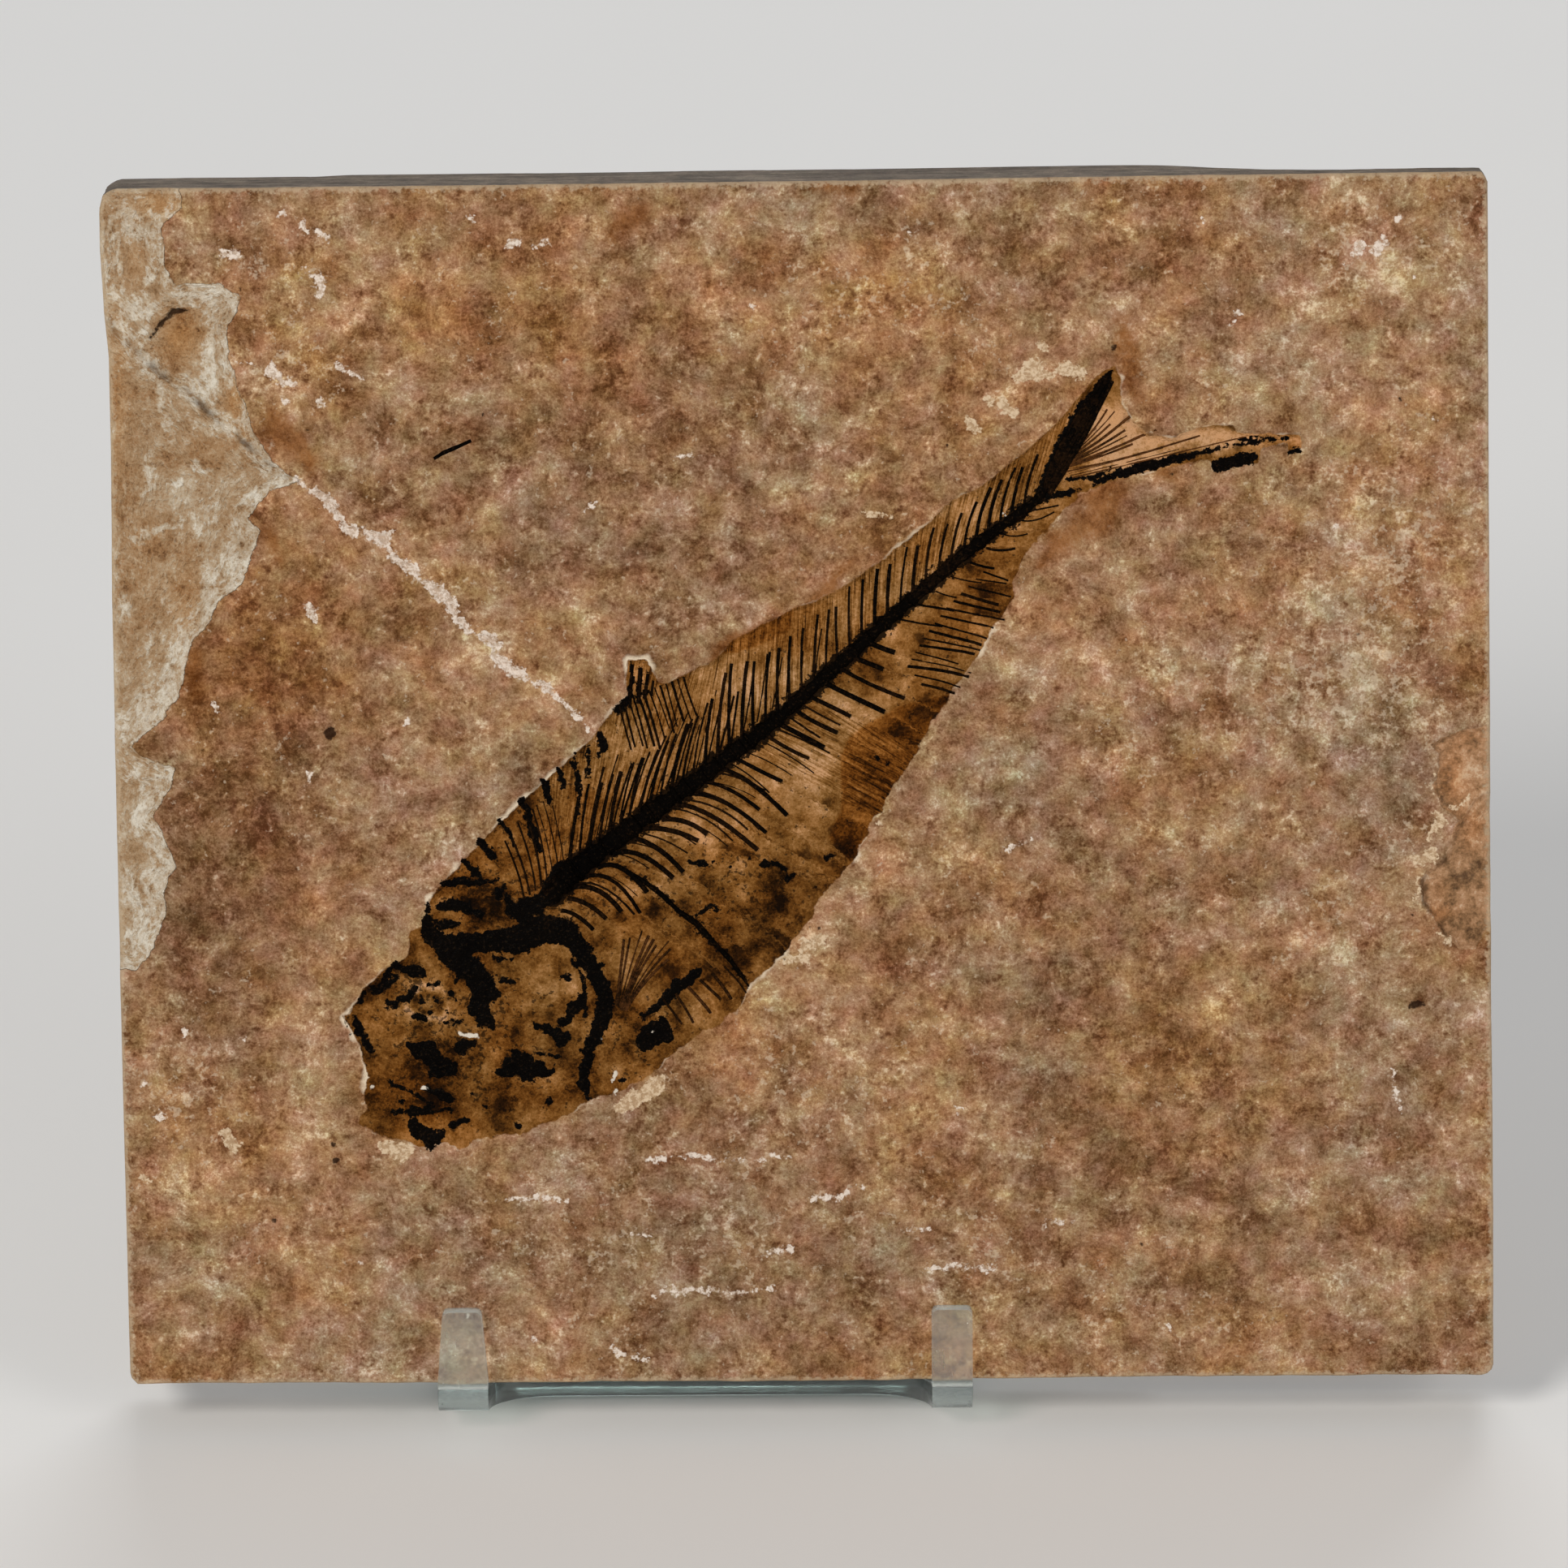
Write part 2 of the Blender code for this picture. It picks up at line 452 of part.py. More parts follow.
def face_height(points, ridges):
    """w of the slab's worked face at each point (u, v)."""
    flaked = depth_inside(FLAKED_OUTLINE, points)
    uneven = 1 + FLAKED_LUMPS * lumps(points, 0.45, 3.0)
    flake_depth = FLAKED_DEPTH + FLAKED_SLOPE_DEPTH * ramp(flaked, FLAKED_SLOPE_WIDTH)
    height = -ramp(flaked, FLAKED_WALL_WIDTH) * flake_depth * uneven
    height -= SCAR_DEPTH * np.clip(1 - ellipse_share(points, SCAR_CENTRE, SCAR_RADII) ** 2, 0, 1)
    height -= CHIP_DEPTH * ramp(depth_inside(CHIP_OUTLINE, points), CHIP_SLOPE_WIDTH)
    for spall in SPALLS:
        height -= SPALL_DEPTH * ramp(depth_inside(spall, points), SPALL_SLOPE_WIDTH)
    in_bed = depth_inside(FISH_OUTLINE, points)
    height -= BED_DEPTH * ramp(in_bed, BED_WALL_WIDTH) - BELLY_RISE * ramp(in_bed, BELLY_RISE_WIDTH)
    from_centre = ellipse_share(points, GILL_COVER_CENTRE, GILL_COVER_RADII)
    bones = GILL_COVER_HEIGHT * np.clip(1 - from_centre ** 2, 0, 1)
    for ridge in ridges:
        bones = np.maximum(bones, ridge.height_at(points))
    height += bones * ramp(in_bed, BED_WALL_WIDTH)
    near_edge = depth_inside(SLAB_OUTLINE, points)
    return height - EDGE_CHAMFER * (1 - ramp(near_edge, EDGE_CHAMFER))


def back_height(points):
    """w of the split back at each point."""
    height = np.full(len(points), -THICKNESS)
    for outline, rise, width in BACK_STEPS:
        height += rise * ramp(depth_inside(outline, points), width)
    near_edge = depth_inside(SLAB_OUTLINE, points)
    return height + EDGE_CHAMFER * (1 - ramp(near_edge, EDGE_CHAMFER))


class Sketch:
    """Lines and points on the face that the triangles have to follow."""

    def __init__(self):
        self.points = []
        self.edges = []

    def line(self, points, closed=False):
        first = len(self.points)
        self.points += [Vector((float(u), float(v))) for u, v in points]
        last = len(self.points) - 1
        self.edges += [(i, i + 1) for i in range(first, last)]
        if closed:
            self.edges.append((last, first))

    def dots(self, points):
        self.points += [Vector((float(u), float(v))) for u, v in points]

    def triangles(self):
        """Corner positions and triangles of the area inside the outer line."""
        found = delaunay_2d_cdt(self.points, self.edges, [], 1, MERGE_DISTANCE)
        return np.array([tuple(p) for p in found[0]]), [tuple(f) for f in found[2]]


def grid_inside(outline, spacing, margin):
    """Staggered points with the given spacing, no nearer than margin to the outline."""
    low, high = np.min(outline, axis=0), np.max(outline, axis=0)
    points = []
    for j, v in enumerate(np.arange(low[1], high[1], spacing)):
        for u in np.arange(low[0] + spacing * 0.5 * (j % 2), high[0], spacing):
            points.append((u, v))
    points = np.array(points)
    return points[depth_inside(outline, points) > margin]


def clipped_to_slab(points, margin):
    return [p for p in points if depth_inside(SLAB_OUTLINE, np.array([p]))[0] > margin]


def face_sketch(ridges):
    sketch = Sketch()
    sketch.line(SLAB_OUTLINE, closed=True)
    sketch.line(inset(SLAB_OUTLINE, EDGE_CHAMFER), closed=True)
    sketch.line(clipped_to_slab(FLAKED_OUTLINE, EDGE_MARGIN))
    sketch.line(clipped_to_slab(inset(FLAKED_OUTLINE, FLAKED_WALL_WIDTH), EDGE_MARGIN))
    sketch.dots(clipped_to_slab(grid_inside(FLAKED_OUTLINE, FILL_SPACING, FILL_MARGIN), FILL_MARGIN))
    sketch.line(ellipse_points(SCAR_CENTRE, SCAR_RADII, ROUND_STEPS), closed=True)
    sketch.line(clipped_to_slab(CHIP_OUTLINE, EDGE_MARGIN))
    sketch.line(clipped_to_slab(inset(CHIP_OUTLINE, CHIP_SLOPE_WIDTH), EDGE_MARGIN))
    for spall in SPALLS:
        sketch.line(spall, closed=True)
        sketch.dots([np.mean(spall, axis=0)])
    sketch.line(FISH_OUTLINE, closed=True)
    sketch.line(inset(FISH_OUTLINE, BED_WALL_WIDTH), closed=True)
    for share in (1.0, 0.6):
        radii = [r * share for r in GILL_COVER_RADII]
        sketch.line(ellipse_points(GILL_COVER_CENTRE, radii, ROUND_STEPS), closed=True)
    for ridge in ridges:
        left, right = ridge.sides()
        sketch.line(left)
        sketch.line(right)
        sketch.line(ridge.crest)
    return sketch


def boundary_loop(triangles):
    """The corners round the outside of a patch of triangles, in order."""
    seen = set()
    for a, b, c in triangles:
        seen.update([(a, b), (b, c), (c, a)])
    following = {a: b for a, b in seen if (b, a) not in seen}
    start = min(following)
    loop = [start]
    while following[loop[-1]] != start:
        loop.append(following[loop[-1]])
    return loop


def make_material(name, colour, roughness, transmission=0.0):
    material = bpy.data.materials.new(name)
    material.use_nodes = True
    shader = material.node_tree.nodes["Principled BSDF"]
    shader.inputs["Base Color"].default_value = colour
    shader.inputs["Roughness"].default_value = roughness
    shader.inputs["Metallic"].default_value = 0.0
    shader.inputs["Transmission Weight"].default_value = transmission
    return material


def add_object(name, mesh, material):
    body = bpy.data.objects.new(name, mesh)
    bpy.context.scene.collection.objects.link(body)
    mesh.materials.append(material)
    return body


def make_slab():
    """The limestone slab with the fish in relief, in one closed skin: face, split back and sawn edges."""
    ridges = thin_bones() + single_bones() + [backbone(), eye_rim()]
    face, face_triangles = face_sketch(ridges).triangles()
    loop = boundary_loop(face_triangles)

    back_sketch = Sketch()
    back_sketch.line(face[loop], closed=True)
    back_sketch.line(inset(SLAB_OUTLINE, EDGE_CHAMFER), closed=True)
    back_sketch.dots(grid_inside(SLAB_OUTLINE, BACK_SPACING, BACK_SPACING * 0.4))
    back, back_triangles = back_sketch.triangles()

    bm = bmesh.new()
    face_w = face_height(face, ridges)
    front = [bm.verts.new(face_to_world(u, v, w)) for (u, v), w in zip(face, face_w)]
    rear = [bm.verts.new(face_to_world(u, v, w)) for (u, v), w in zip(back, back_height(back))]
    for a, b, c in face_triangles:
        bm.faces.new((front[a], front[b], front[c]))
    for a, b, c in back_triangles:
        bm.faces.new((rear[c], rear[b], rear[a]))
    rear_loop = boundary_loop(back_triangles)
    places = {tuple(back[i].round(4)): i for i in rear_loop}
    matched = [places[tuple(face[i].round(4))] for i in loop]
    for k in range(len(loop)):
        n = (k + 1) % len(loop)
        bm.faces.new((front[loop[n]], front[loop[k]], rear[matched[k]], rear[matched[n]]))
    bmesh.ops.triangulate(bm, faces=[f for f in bm.faces if len(f.verts) > 3])
    bmesh.ops.recalc_face_normals(bm, faces=bm.faces)
    mesh = bpy.data.meshes.new("fossil_slab")
    bm.to_mesh(mesh)
    bm.free()
    return add_object("fossil_slab", mesh, make_material("limestone", STONE_COLOUR, 0.85))


def notched_pattern(notch_depth, length):
    """The flat sheet's outline as (u, distance from the lips' tops), from the left lip's top."""
    left, right = STRIP_SIDES
    inner_left, inner_right = LIP_INNER_SIDES
    arc = [math.pi / 2 * i / BEND_STEPS for i in range(BEND_STEPS + 1)]
    start = notch_depth - NOTCH_RADIUS
    inwards = [NOTCH_RADIUS * (1 - math.cos(a)) for a in arc]
    depths = [start + NOTCH_RADIUS * math.sin(a) for a in arc]
    left_arc = [(inner_left + i, d) for i, d in zip(inwards, depths)]
    right_arc = [(inner_right - i, d) for i, d in zip(inwards, depths)]
    return (
        [(LEFT_LIP_TOP[0] + LIP_CORNER, 0.0), (LEFT_LIP_TOP[0], LIP_CORNER), (left, LIP_TOP), (left, length)]
        + [(right, length), (right, LIP_CORNER), (right - LIP_CORNER, 0.0)]
        + [(inner_right + LIP_CORNER, 0.0), (inner_right, LIP_CORNER)]
        + right_arc + left_arc[::-1]
        + [(inner_left, LIP_TOP), (LEFT_LIP_TOP[1], LIP_CORNER), (LEFT_LIP_TOP[1] - LIP_CORNER, 0.0)]
    )


def make_easel():
    """Cuts the flat pattern along the stops of the bends, and bends it into the easel."""
    path = SheetPath()
    notch_depth = path.seat_start + CONTACT_GAP - LOWER_BEND_RADIUS - NOTCH_W
    left, right = STRIP_SIDES[0] - LINE_OVERHANG, STRIP_SIDES[1] + LINE_OVERHANG
    sketch = Sketch()
    sketch.line(notched_pattern(notch_depth, path.travelled), closed=True)
    for stop, _, _ in path.stops[1:-1]:
        if stop < notch_depth:
            sketch.line([(left, stop), (LIP_INNER_SIDES[0] + LINE_OVERHANG, stop)])
            sketch.line([(LIP_INNER_SIDES[1] - LINE_OVERHANG, stop), (right, stop)])
        else:
            sketch.line([(left, stop), (right, stop)])
    flat, triangles = sketch.triangles()
    used = sorted({i for t in triangles for i in t})
    bm = bmesh.new()
    sides = []
    for offset in (SHEET / 2, -SHEET / 2):
        sides.append({i: bm.verts.new(to_world(flat[i][0], path.place(flat[i][1], offset))) for i in used})
    for a, b, c in triangles:
        bm.faces.new((sides[0][a], sides[0][b], sides[0][c]))
        bm.faces.new((sides[1][c], sides[1][b], sides[1][a]))
    loop = boundary_loop(triangles)
    for k, a in enumerate(loop):
        b = loop[(k + 1) % len(loop)]
        bm.faces.new((sides[0][b], sides[0][a], sides[1][a], sides[1][b]))
    bmesh.ops.recalc_face_normals(bm, faces=bm.faces)
    mesh = bpy.data.meshes.new("display_easel")
    bm.to_mesh(mesh)
    bm.free()
    return add_object("display_easel", mesh, make_material("clear_plastic", CLEAR_COLOUR, 0.08, 1.0))


def main():
    for old in list(bpy.data.objects):
        bpy.data.objects.remove(old)
    make_slab()
    make_easel()


main()
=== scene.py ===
"""The looks of a fossil fish in its limestone slab, leaning on a bent easel of clear plastic.

The slab's face has its own coordinates in millimetres: u to the right and v up the face from the middle of
its bottom edge, and w out of the face. Outlines are (u, v) points. Strokes are (u, v, half width) points, as
a brush would lay them down, and dots are single ones. Ovals are their middle, and their reach
across and up. Tones are (u, v, reach across, reach up, amount).
"""

import math

import bmesh
import bpy
import numpy as np
from mathutils import Matrix, Vector
from mathutils.geometry import delaunay_2d_cdt


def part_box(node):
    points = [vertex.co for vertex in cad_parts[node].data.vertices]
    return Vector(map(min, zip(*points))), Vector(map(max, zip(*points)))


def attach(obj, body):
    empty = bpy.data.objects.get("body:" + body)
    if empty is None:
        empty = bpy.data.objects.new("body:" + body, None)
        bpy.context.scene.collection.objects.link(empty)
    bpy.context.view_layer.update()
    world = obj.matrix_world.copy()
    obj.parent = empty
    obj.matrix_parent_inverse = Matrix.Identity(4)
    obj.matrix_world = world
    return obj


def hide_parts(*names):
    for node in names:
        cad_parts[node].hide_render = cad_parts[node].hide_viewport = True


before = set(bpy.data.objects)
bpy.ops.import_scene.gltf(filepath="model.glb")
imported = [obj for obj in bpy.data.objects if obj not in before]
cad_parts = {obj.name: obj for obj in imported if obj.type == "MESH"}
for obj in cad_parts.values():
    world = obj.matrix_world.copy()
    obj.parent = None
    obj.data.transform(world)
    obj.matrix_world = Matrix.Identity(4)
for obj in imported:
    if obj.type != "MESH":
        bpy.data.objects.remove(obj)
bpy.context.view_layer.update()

MM = 0.001

# The slab and where its face lies
THICKNESS = 9.0
LEAN = math.radians(15.0)
CONTACT_GAP = 0.3
BOTTOM_V = -0.5
EDGE_ROUND = 0.35
RIGHT = np.array((1.0, 0.0, 0.0))
UP = np.array((0.0, math.sin(LEAN), math.cos(LEAN)))
OUT = np.array((0.0, -math.cos(LEAN), math.sin(LEAN)))

SLAB_OUTLINE = [
    (-55.5, -0.4), (-42.0, -0.35), (-28.0, -0.5), (-14.0, -0.4), (0.0, -0.5), (14.0, -0.4), (28.0, -0.3),
    (42.0, -0.3), (50.0, -0.3), (57.3, -0.3), (57.95, 0.3), (57.9, 12.0), (57.75, 24.0), (57.6, 33.0),
    (57.55, 42.0), (57.45, 52.0), (57.3, 64.0), (57.15, 78.0), (57.05, 90.0), (57.0, 96.0), (56.95, 100.3),
    (56.4, 100.95), (50.0, 100.9), (44.0, 100.85), (38.0, 100.8), (30.0, 100.75), (18.0, 100.65),
    (4.0, 100.5), (-12.0, 100.4), (-26.0, 100.3), (-38.0, 100.25), (-46.0, 100.2), (-51.0, 100.2),
    (-55.8, 100.15), (-56.8, 99.6), (-57.1, 98.4), (-57.1, 95.0), (-56.85, 90.0), (-56.55, 86.0),
    (-56.5, 78.0), (-56.6, 66.0), (-56.55, 54.0), (-56.5, 44.0), (-56.4, 34.0), (-56.3, 22.0), (-56.2, 11.0),
    (-56.1, 0.2),
]

# The flaked left side, and the lower of its two broken layers
FLAKED_OUTLINE = [
    (-50.3, 101.5), (-50.4, 98.4), (-52.1, 96.9), (-51.6, 94.9), (-51.7, 93.7), (-51.1, 92.2), (-49.0, 92.2),
    (-47.3, 92.4), (-45.4, 91.3), (-45.9, 90.1), (-46.6, 88.7), (-46.6, 86.3), (-46.1, 84.4), (-45.2, 82.2),
    (-44.5, 79.9), (-43.3, 77.7), (-41.8, 76.3), (-40.9, 76.0), (-43.3, 75.1), (-44.5, 73.7), (-45.2, 72.7),
    (-44.2, 71.8), (-44.9, 69.9), (-45.4, 67.7), (-47.8, 65.9), (-48.5, 64.2), (-49.7, 62.8), (-50.4, 60.9),
    (-51.1, 58.5), (-52.5, 56.1), (-54.2, 54.7), (-55.2, 53.7), (-54.2, 52.8), (-51.6, 51.8), (-52.1, 49.9),
    (-53.3, 47.8), (-52.5, 45.6), (-51.6, 43.5), (-52.8, 41.6), (-52.5, 39.7), (-53.3, 37.8), (-54.0, 35.9),
    (-54.9, 34.9), (-59.0, 34.5), (-59.0, 101.5),
]
LOWER_LAYER_OUTLINE = [
    (-59.0, 90.0), (-56.4, 89.5), (-55.2, 87.8), (-53.8, 86.6), (-52.0, 84.8), (-50.3, 83.8), (-48.5, 82.0),
    (-46.9, 80.5), (-45.2, 79.0), (-43.5, 77.5), (-42.2, 76.4), (-41.6, 75.6), (-46.0, 70.5), (-48.6, 65.0),
    (-52.0, 58.6), (-55.0, 54.9), (-59.0, 54.6),
]
PALE_STROKES = [
    [(-56.0, 96.0, 0.5), (-55.9, 93.0, 0.5), (-55.0, 90.3, 0.5), (-53.2, 90.2, 0.8), (-51.6, 91.2, 0.9),
     (-49.6, 91.3, 0.9), (-47.4, 91.7, 0.8), (-46.2, 91.0, 0.6)],
    [(-52.7, 98.0, 0.3), (-52.2, 96.4, 0.35), (-52.1, 94.2, 0.35), (-52.7, 92.3, 0.3)],
    [(-54.6, 97.4, 0.7), (-53.8, 97.0, 0.8)],
    [(-47.6, 91.0, 0.9), (-47.4, 88.4, 0.8), (-47.9, 86.2, 0.8), (-48.2, 84.0, 0.6), (-48.3, 82.6, 0.3)],
    [(-55.6, 89.0, 0.4), (-54.6, 87.8, 0.4), (-53.6, 88.6, 0.5)],
    [(-52.4, 84.2, 0.5), (-52.1, 82.0, 0.5), (-51.8, 80.5, 0.4)],
    [(-53.2, 78.4, 0.4), (-53.1, 76.6, 0.5), (-53.8, 74.6, 0.4)],
    [(-54.6, 71.0, 0.5), (-52.8, 71.6, 0.4), (-51.2, 72.2, 0.3), (-51.4, 73.6, 0.2)],
    [(-49.8, 77.4, 0.3), (-48.2, 76.8, 0.3)], [(-51.6, 75.6, 0.4), (-51.0, 75.3, 0.4)],
    [(-46.0, 81.0, 0.3), (-44.9, 78.6, 0.4), (-43.6, 76.6, 0.5), (-42.4, 76.0, 0.3)],
    [(-55.8, 66.2, 0.6), (-55.6, 64.6, 0.5)], [(-55.6, 42.5, 0.9), (-54.8, 39.8, 0.9), (-54.9, 37.5, 0.7)],
    [(-54.9, 51.2, 0.7), (-53.6, 49.6, 0.8), (-54.8, 47.2, 0.8)],
]
OVAL_SPALL = ((-54.7, 94.6), (1.8, 3.3))
HOLLOW = ((-53.0, 73.0), (2.0, 1.5))
# The undercut under an overhanging layer: cut into the face, and painted near-black with the dark spots as
# painted shadow
UNDERCUT = [[(-53.0, 87.9, 0.1), (-52.1, 89.1, 0.2), (-51.2, 90.0, 0.24), (-49.9, 90.1, 0.12)]]

# The right edge: a shallow spall with a deeper chip below it
RIGHT_SPALL_OUTLINE = [
    (59.0, 55.0), (55.0, 54.6), (52.4, 53.4), (53.1, 52.6), (53.2, 51.4), (52.6, 49.8), (53.6, 48.0),
    (54.8, 46.8), (59.0, 45.0),
]
RIGHT_CHIP_OUTLINE = [
    (59.0, 49.4), (56.2, 48.9), (55.3, 47.4), (54.6, 46.4), (53.9, 44.6), (53.6, 43.6), (52.3, 42.8),
    (51.7, 41.7), (52.0, 39.8), (53.0, 38.2), (54.0, 36.9), (55.1, 35.9), (56.3, 36.1), (56.9, 37.6),
    (59.0, 38.4),
]
CREST_STROKES = [
    [(50.9, 43.9, 0.2), (51.6, 43.4, 0.5), (52.5, 44.1, 0.5)],
    [(52.5, 45.3, 0.2), (53.2, 46.5, 0.4), (52.8, 47.3, 0.2)], [(54.5, 47.7, 0.1), (55.6, 49.0, 0.14)],
    [(51.3, 41.9, 0.2), (51.4, 40.4, 0.12)], [(52.8, 37.9, 0.1), (53.9, 36.6, 0.16)],
    [(52.5, 49.9, 0.1), (53.1, 48.7, 0.14)], [(52.9, 51.0, 0.12)],
]
OVAL_PIT = [[(50.9, 31.2, 0.22), (51.5, 31.4, 0.3), (52.0, 31.4, 0.15)]]

# The crack from the flaked corner to the fish's back, and its white chips
CRACK = [[
    (-41.2, 76.1, 0.12), (-40.0, 75.0, 0.12), (-38.4, 74.6, 0.12), (-37.7, 73.0, 0.12), (-36.8, 71.8, 0.12),
    (-35.6, 71.7, 0.12), (-34.0, 71.2, 0.12), (-33.2, 69.6, 0.12), (-31.6, 68.2, 0.12), (-30.8, 67.2, 0.12),
    (-29.2, 66.0, 0.12), (-28.0, 64.6, 0.12), (-27.2, 63.4, 0.12), (-25.2, 62.6, 0.1), (-24.4, 60.8, 0.1),
    (-22.8, 59.6, 0.1), (-21.4, 58.8, 0.1), (-20.2, 58.2, 0.1), (-18.6, 56.6, 0.08), (-17.2, 55.0, 0.06),
]]
CHIP_STROKES = [
    [(-39.6, 75.1, 0.1), (-38.7, 74.5, 0.35), (-38.0, 73.4, 0.25), (-37.4, 72.4, 0.1)],
    [(-37.2, 71.9, 0.2), (-36.5, 71.7, 0.3)],
    [(-35.5, 71.6, 0.15), (-34.6, 71.2, 0.45), (-33.9, 70.9, 0.4), (-33.5, 71.6, 0.15)],
    [(-33.3, 69.5, 0.15), (-32.4, 68.9, 0.22), (-31.6, 68.5, 0.28), (-31.3, 68.0, 0.15)],
    [(-30.6, 67.3, 0.2), (-29.7, 66.7, 0.4), (-28.9, 66.1, 0.35), (-28.2, 65.0, 0.2)],
    [(-28.0, 64.3, 0.18), (-27.3, 63.7, 0.22)],
    [(-25.9, 62.8, 0.2), (-25.2, 62.6, 0.32), (-24.8, 62.0, 0.15)],
    [(-25.0, 61.3, 0.2), (-24.4, 60.7, 0.3), (-23.4, 59.9, 0.32), (-22.8, 59.7, 0.2)],
    [(-21.2, 58.8, 0.15), (-20.5, 58.4, 0.25), (-20.1, 57.9, 0.1)],
]

# White flecks of calcite, pale blotches and dark spots scattered over the slab
WHITE_STROKES = [
    [(-46.9, 94.8, 0.3), (-46.2, 94.7, 0.5)], [(-40.4, 97.4, 0.15), (-39.9, 96.4, 0.12)],
    [(-39.2, 96.6, 0.12), (-38.4, 95.8, 0.28)], [(-40.2, 93.4, 0.15), (-39.6, 93.0, 0.2)],
    [(-39.0, 92.7, 0.35), (-39.0, 91.6, 0.45)], [(-43.2, 85.2, 0.4), (-42.2, 84.2, 0.3), (-41.0, 84.0, 0.2)],
    [(-37.4, 85.4, 0.25), (-36.6, 84.8, 0.15), (-35.6, 84.6, 0.2)],
    [(-46.2, 86.0, 0.08), (-44.6, 85.6, 0.1)], [(-40.3, 65.2, 0.4), (-39.9, 64.4, 0.25)],
    [(-23.4, 95.4, 0.3), (-22.6, 95.8, 0.2)], [(-21.6, 95.4, 0.12), (-20.2, 95.8, 0.2)],
    [(46.2, 94.2, 0.35), (46.8, 95.0, 0.3)], [(47.8, 94.4, 0.3), (48.6, 95.4, 0.2)],
    [(-9.9, 77.7, 0.1), (-8.6, 77.9, 0.14)], [(-17.4, 73.2, 0.1), (-16.6, 73.8, 0.12)],
    [(17.4, 44.6, 0.18), (18.6, 45.2, 0.14), (19.6, 45.8, 0.08)],
    [(-12.6, 18.6, 0.1), (-9.0, 18.9, 0.16), (-5.6, 18.4, 0.12), (-1.0, 18.7, 0.08)],
    [(-12.4, 7.1, 0.12), (-9.4, 7.5, 0.2), (-6.0, 7.2, 0.16), (-2.4, 7.5, 0.12)],
    [(-24.4, 15.2, 0.12), (-21.6, 15.5, 0.16), (-19.4, 15.2, 0.1)], [(0.6, 15.1, 0.12), (4.0, 15.5, 0.14)],
    [(10.4, 9.0, 0.12), (13.2, 9.3, 0.16), (16.2, 9.0, 0.1)], [(20.4, 12.9, 0.12), (22.6, 13.2, 0.14)],
    [(9.0, 12.2, 0.1), (10.6, 12.5, 0.12)], [(-14.2, 12.0, 0.12), (-12.4, 12.3, 0.1)],
    [(-2.8, 10.6, 0.1), (-0.6, 10.9, 0.12)], [(49.4, 26.0, 0.08), (49.7, 24.0, 0.12), (50.1, 22.2, 0.08)],
    [(-15.6, 2.4, 0.15), (-14.2, 1.8, 0.2), (-12.8, 1.5, 0.1)],
    [(-28.1, 29.4, 0.16), (-27.4, 29.2, 0.2), (-26.9, 29.1, 0.16)],
    [(-31.3, 24.8, 0.16), (-30.9, 24.7, 0.1)], [(-15.4, 25.9, 0.2), (-15.7, 25.3, 0.12)],
    [(-15.3, 24.6, 0.14), (-15.2, 24.2, 0.1)],
]
WHITE_DOTS = [
    (-42.0, 98.1, 0.25), (-41.9, 82.4, 0.35), (-39.0, 82.4, 0.35), (-32.4, 55.8, 0.25), (-48.0, 56.8, 0.35),
    (-40.6, 51.3, 0.25), (-26.4, 97.6, 0.2), (45.2, 93.2, 0.15), (49.6, 97.2, 0.2), (36.5, 89.5, 0.3),
    (36.0, 88.6, 0.15), (51.0, 92.4, 0.18), (5.2, 16.2, 0.12), (13.3, 22.5, 0.2), (-51.0, 29.6, 0.3),
    (-53.4, 22.6, 0.3), (-54.6, 25.0, 0.2), (-46.2, 29.0, 0.15), (25.4, 7.2, 0.15), (28.6, 6.2, 0.2),
    (-27.6, 5.6, 0.2), (2.4, 3.6, 0.15), (-22.4, 3.4, 0.12), (31.0, 4.0, 0.12), (41.0, 8.4, 0.1),
    (-33.2, 12.8, 0.12), (-36.8, 10.0, 0.1), (44.4, 71.4, 0.2), (52.8, 80.6, 0.15), (33.6, 97.0, 0.1),
    (9.4, 96.4, 0.12), (-3.6, 90.2, 0.1), (-35.6, 24.9, 0.2), (-16.4, 29.1, 0.12), (-12.2, 29.5, 0.12),
    (17.2, 72.7, 0.12), (18.2, 72.5, 0.1), (12.2, 68.4, 0.1),
]
CREAM_STROKES = [
    [(14.4, 80.3, 0.45), (15.0, 80.0, 0.4)], [(18.4, 84.4, 0.5), (19.8, 85.0, 0.8), (20.8, 84.4, 0.6)],
    [(22.2, 84.8, 0.6), (23.4, 84.4, 0.5)], [(17.0, 81.8, 0.5), (18.0, 81.4, 0.5)], [(20.6, 86.8, 0.4)],
    [(16.0, 82.2, 0.35)], [(-47.6, 20.9, 0.6), (-47.3, 20.0, 0.6)], [(-34.4, 19.7, 0.5), (-32.8, 19.4, 0.6)],
    [(-14.9, 23.2, 0.5), (-13.2, 23.9, 0.8), (-12.0, 24.9, 0.7), (-11.4, 25.8, 0.3)],
    [(0.4, 36.6, 0.5), (2.0, 37.2, 0.4)], [(-1.2, 35.4, 0.3), (0.6, 35.6, 0.4)], [(6.9, 47.0, 0.25)],
    [(-54.8, 17.2, 0.35)], [(5.8, 72.9, 0.2), (7.9, 73.0, 0.15)],
]
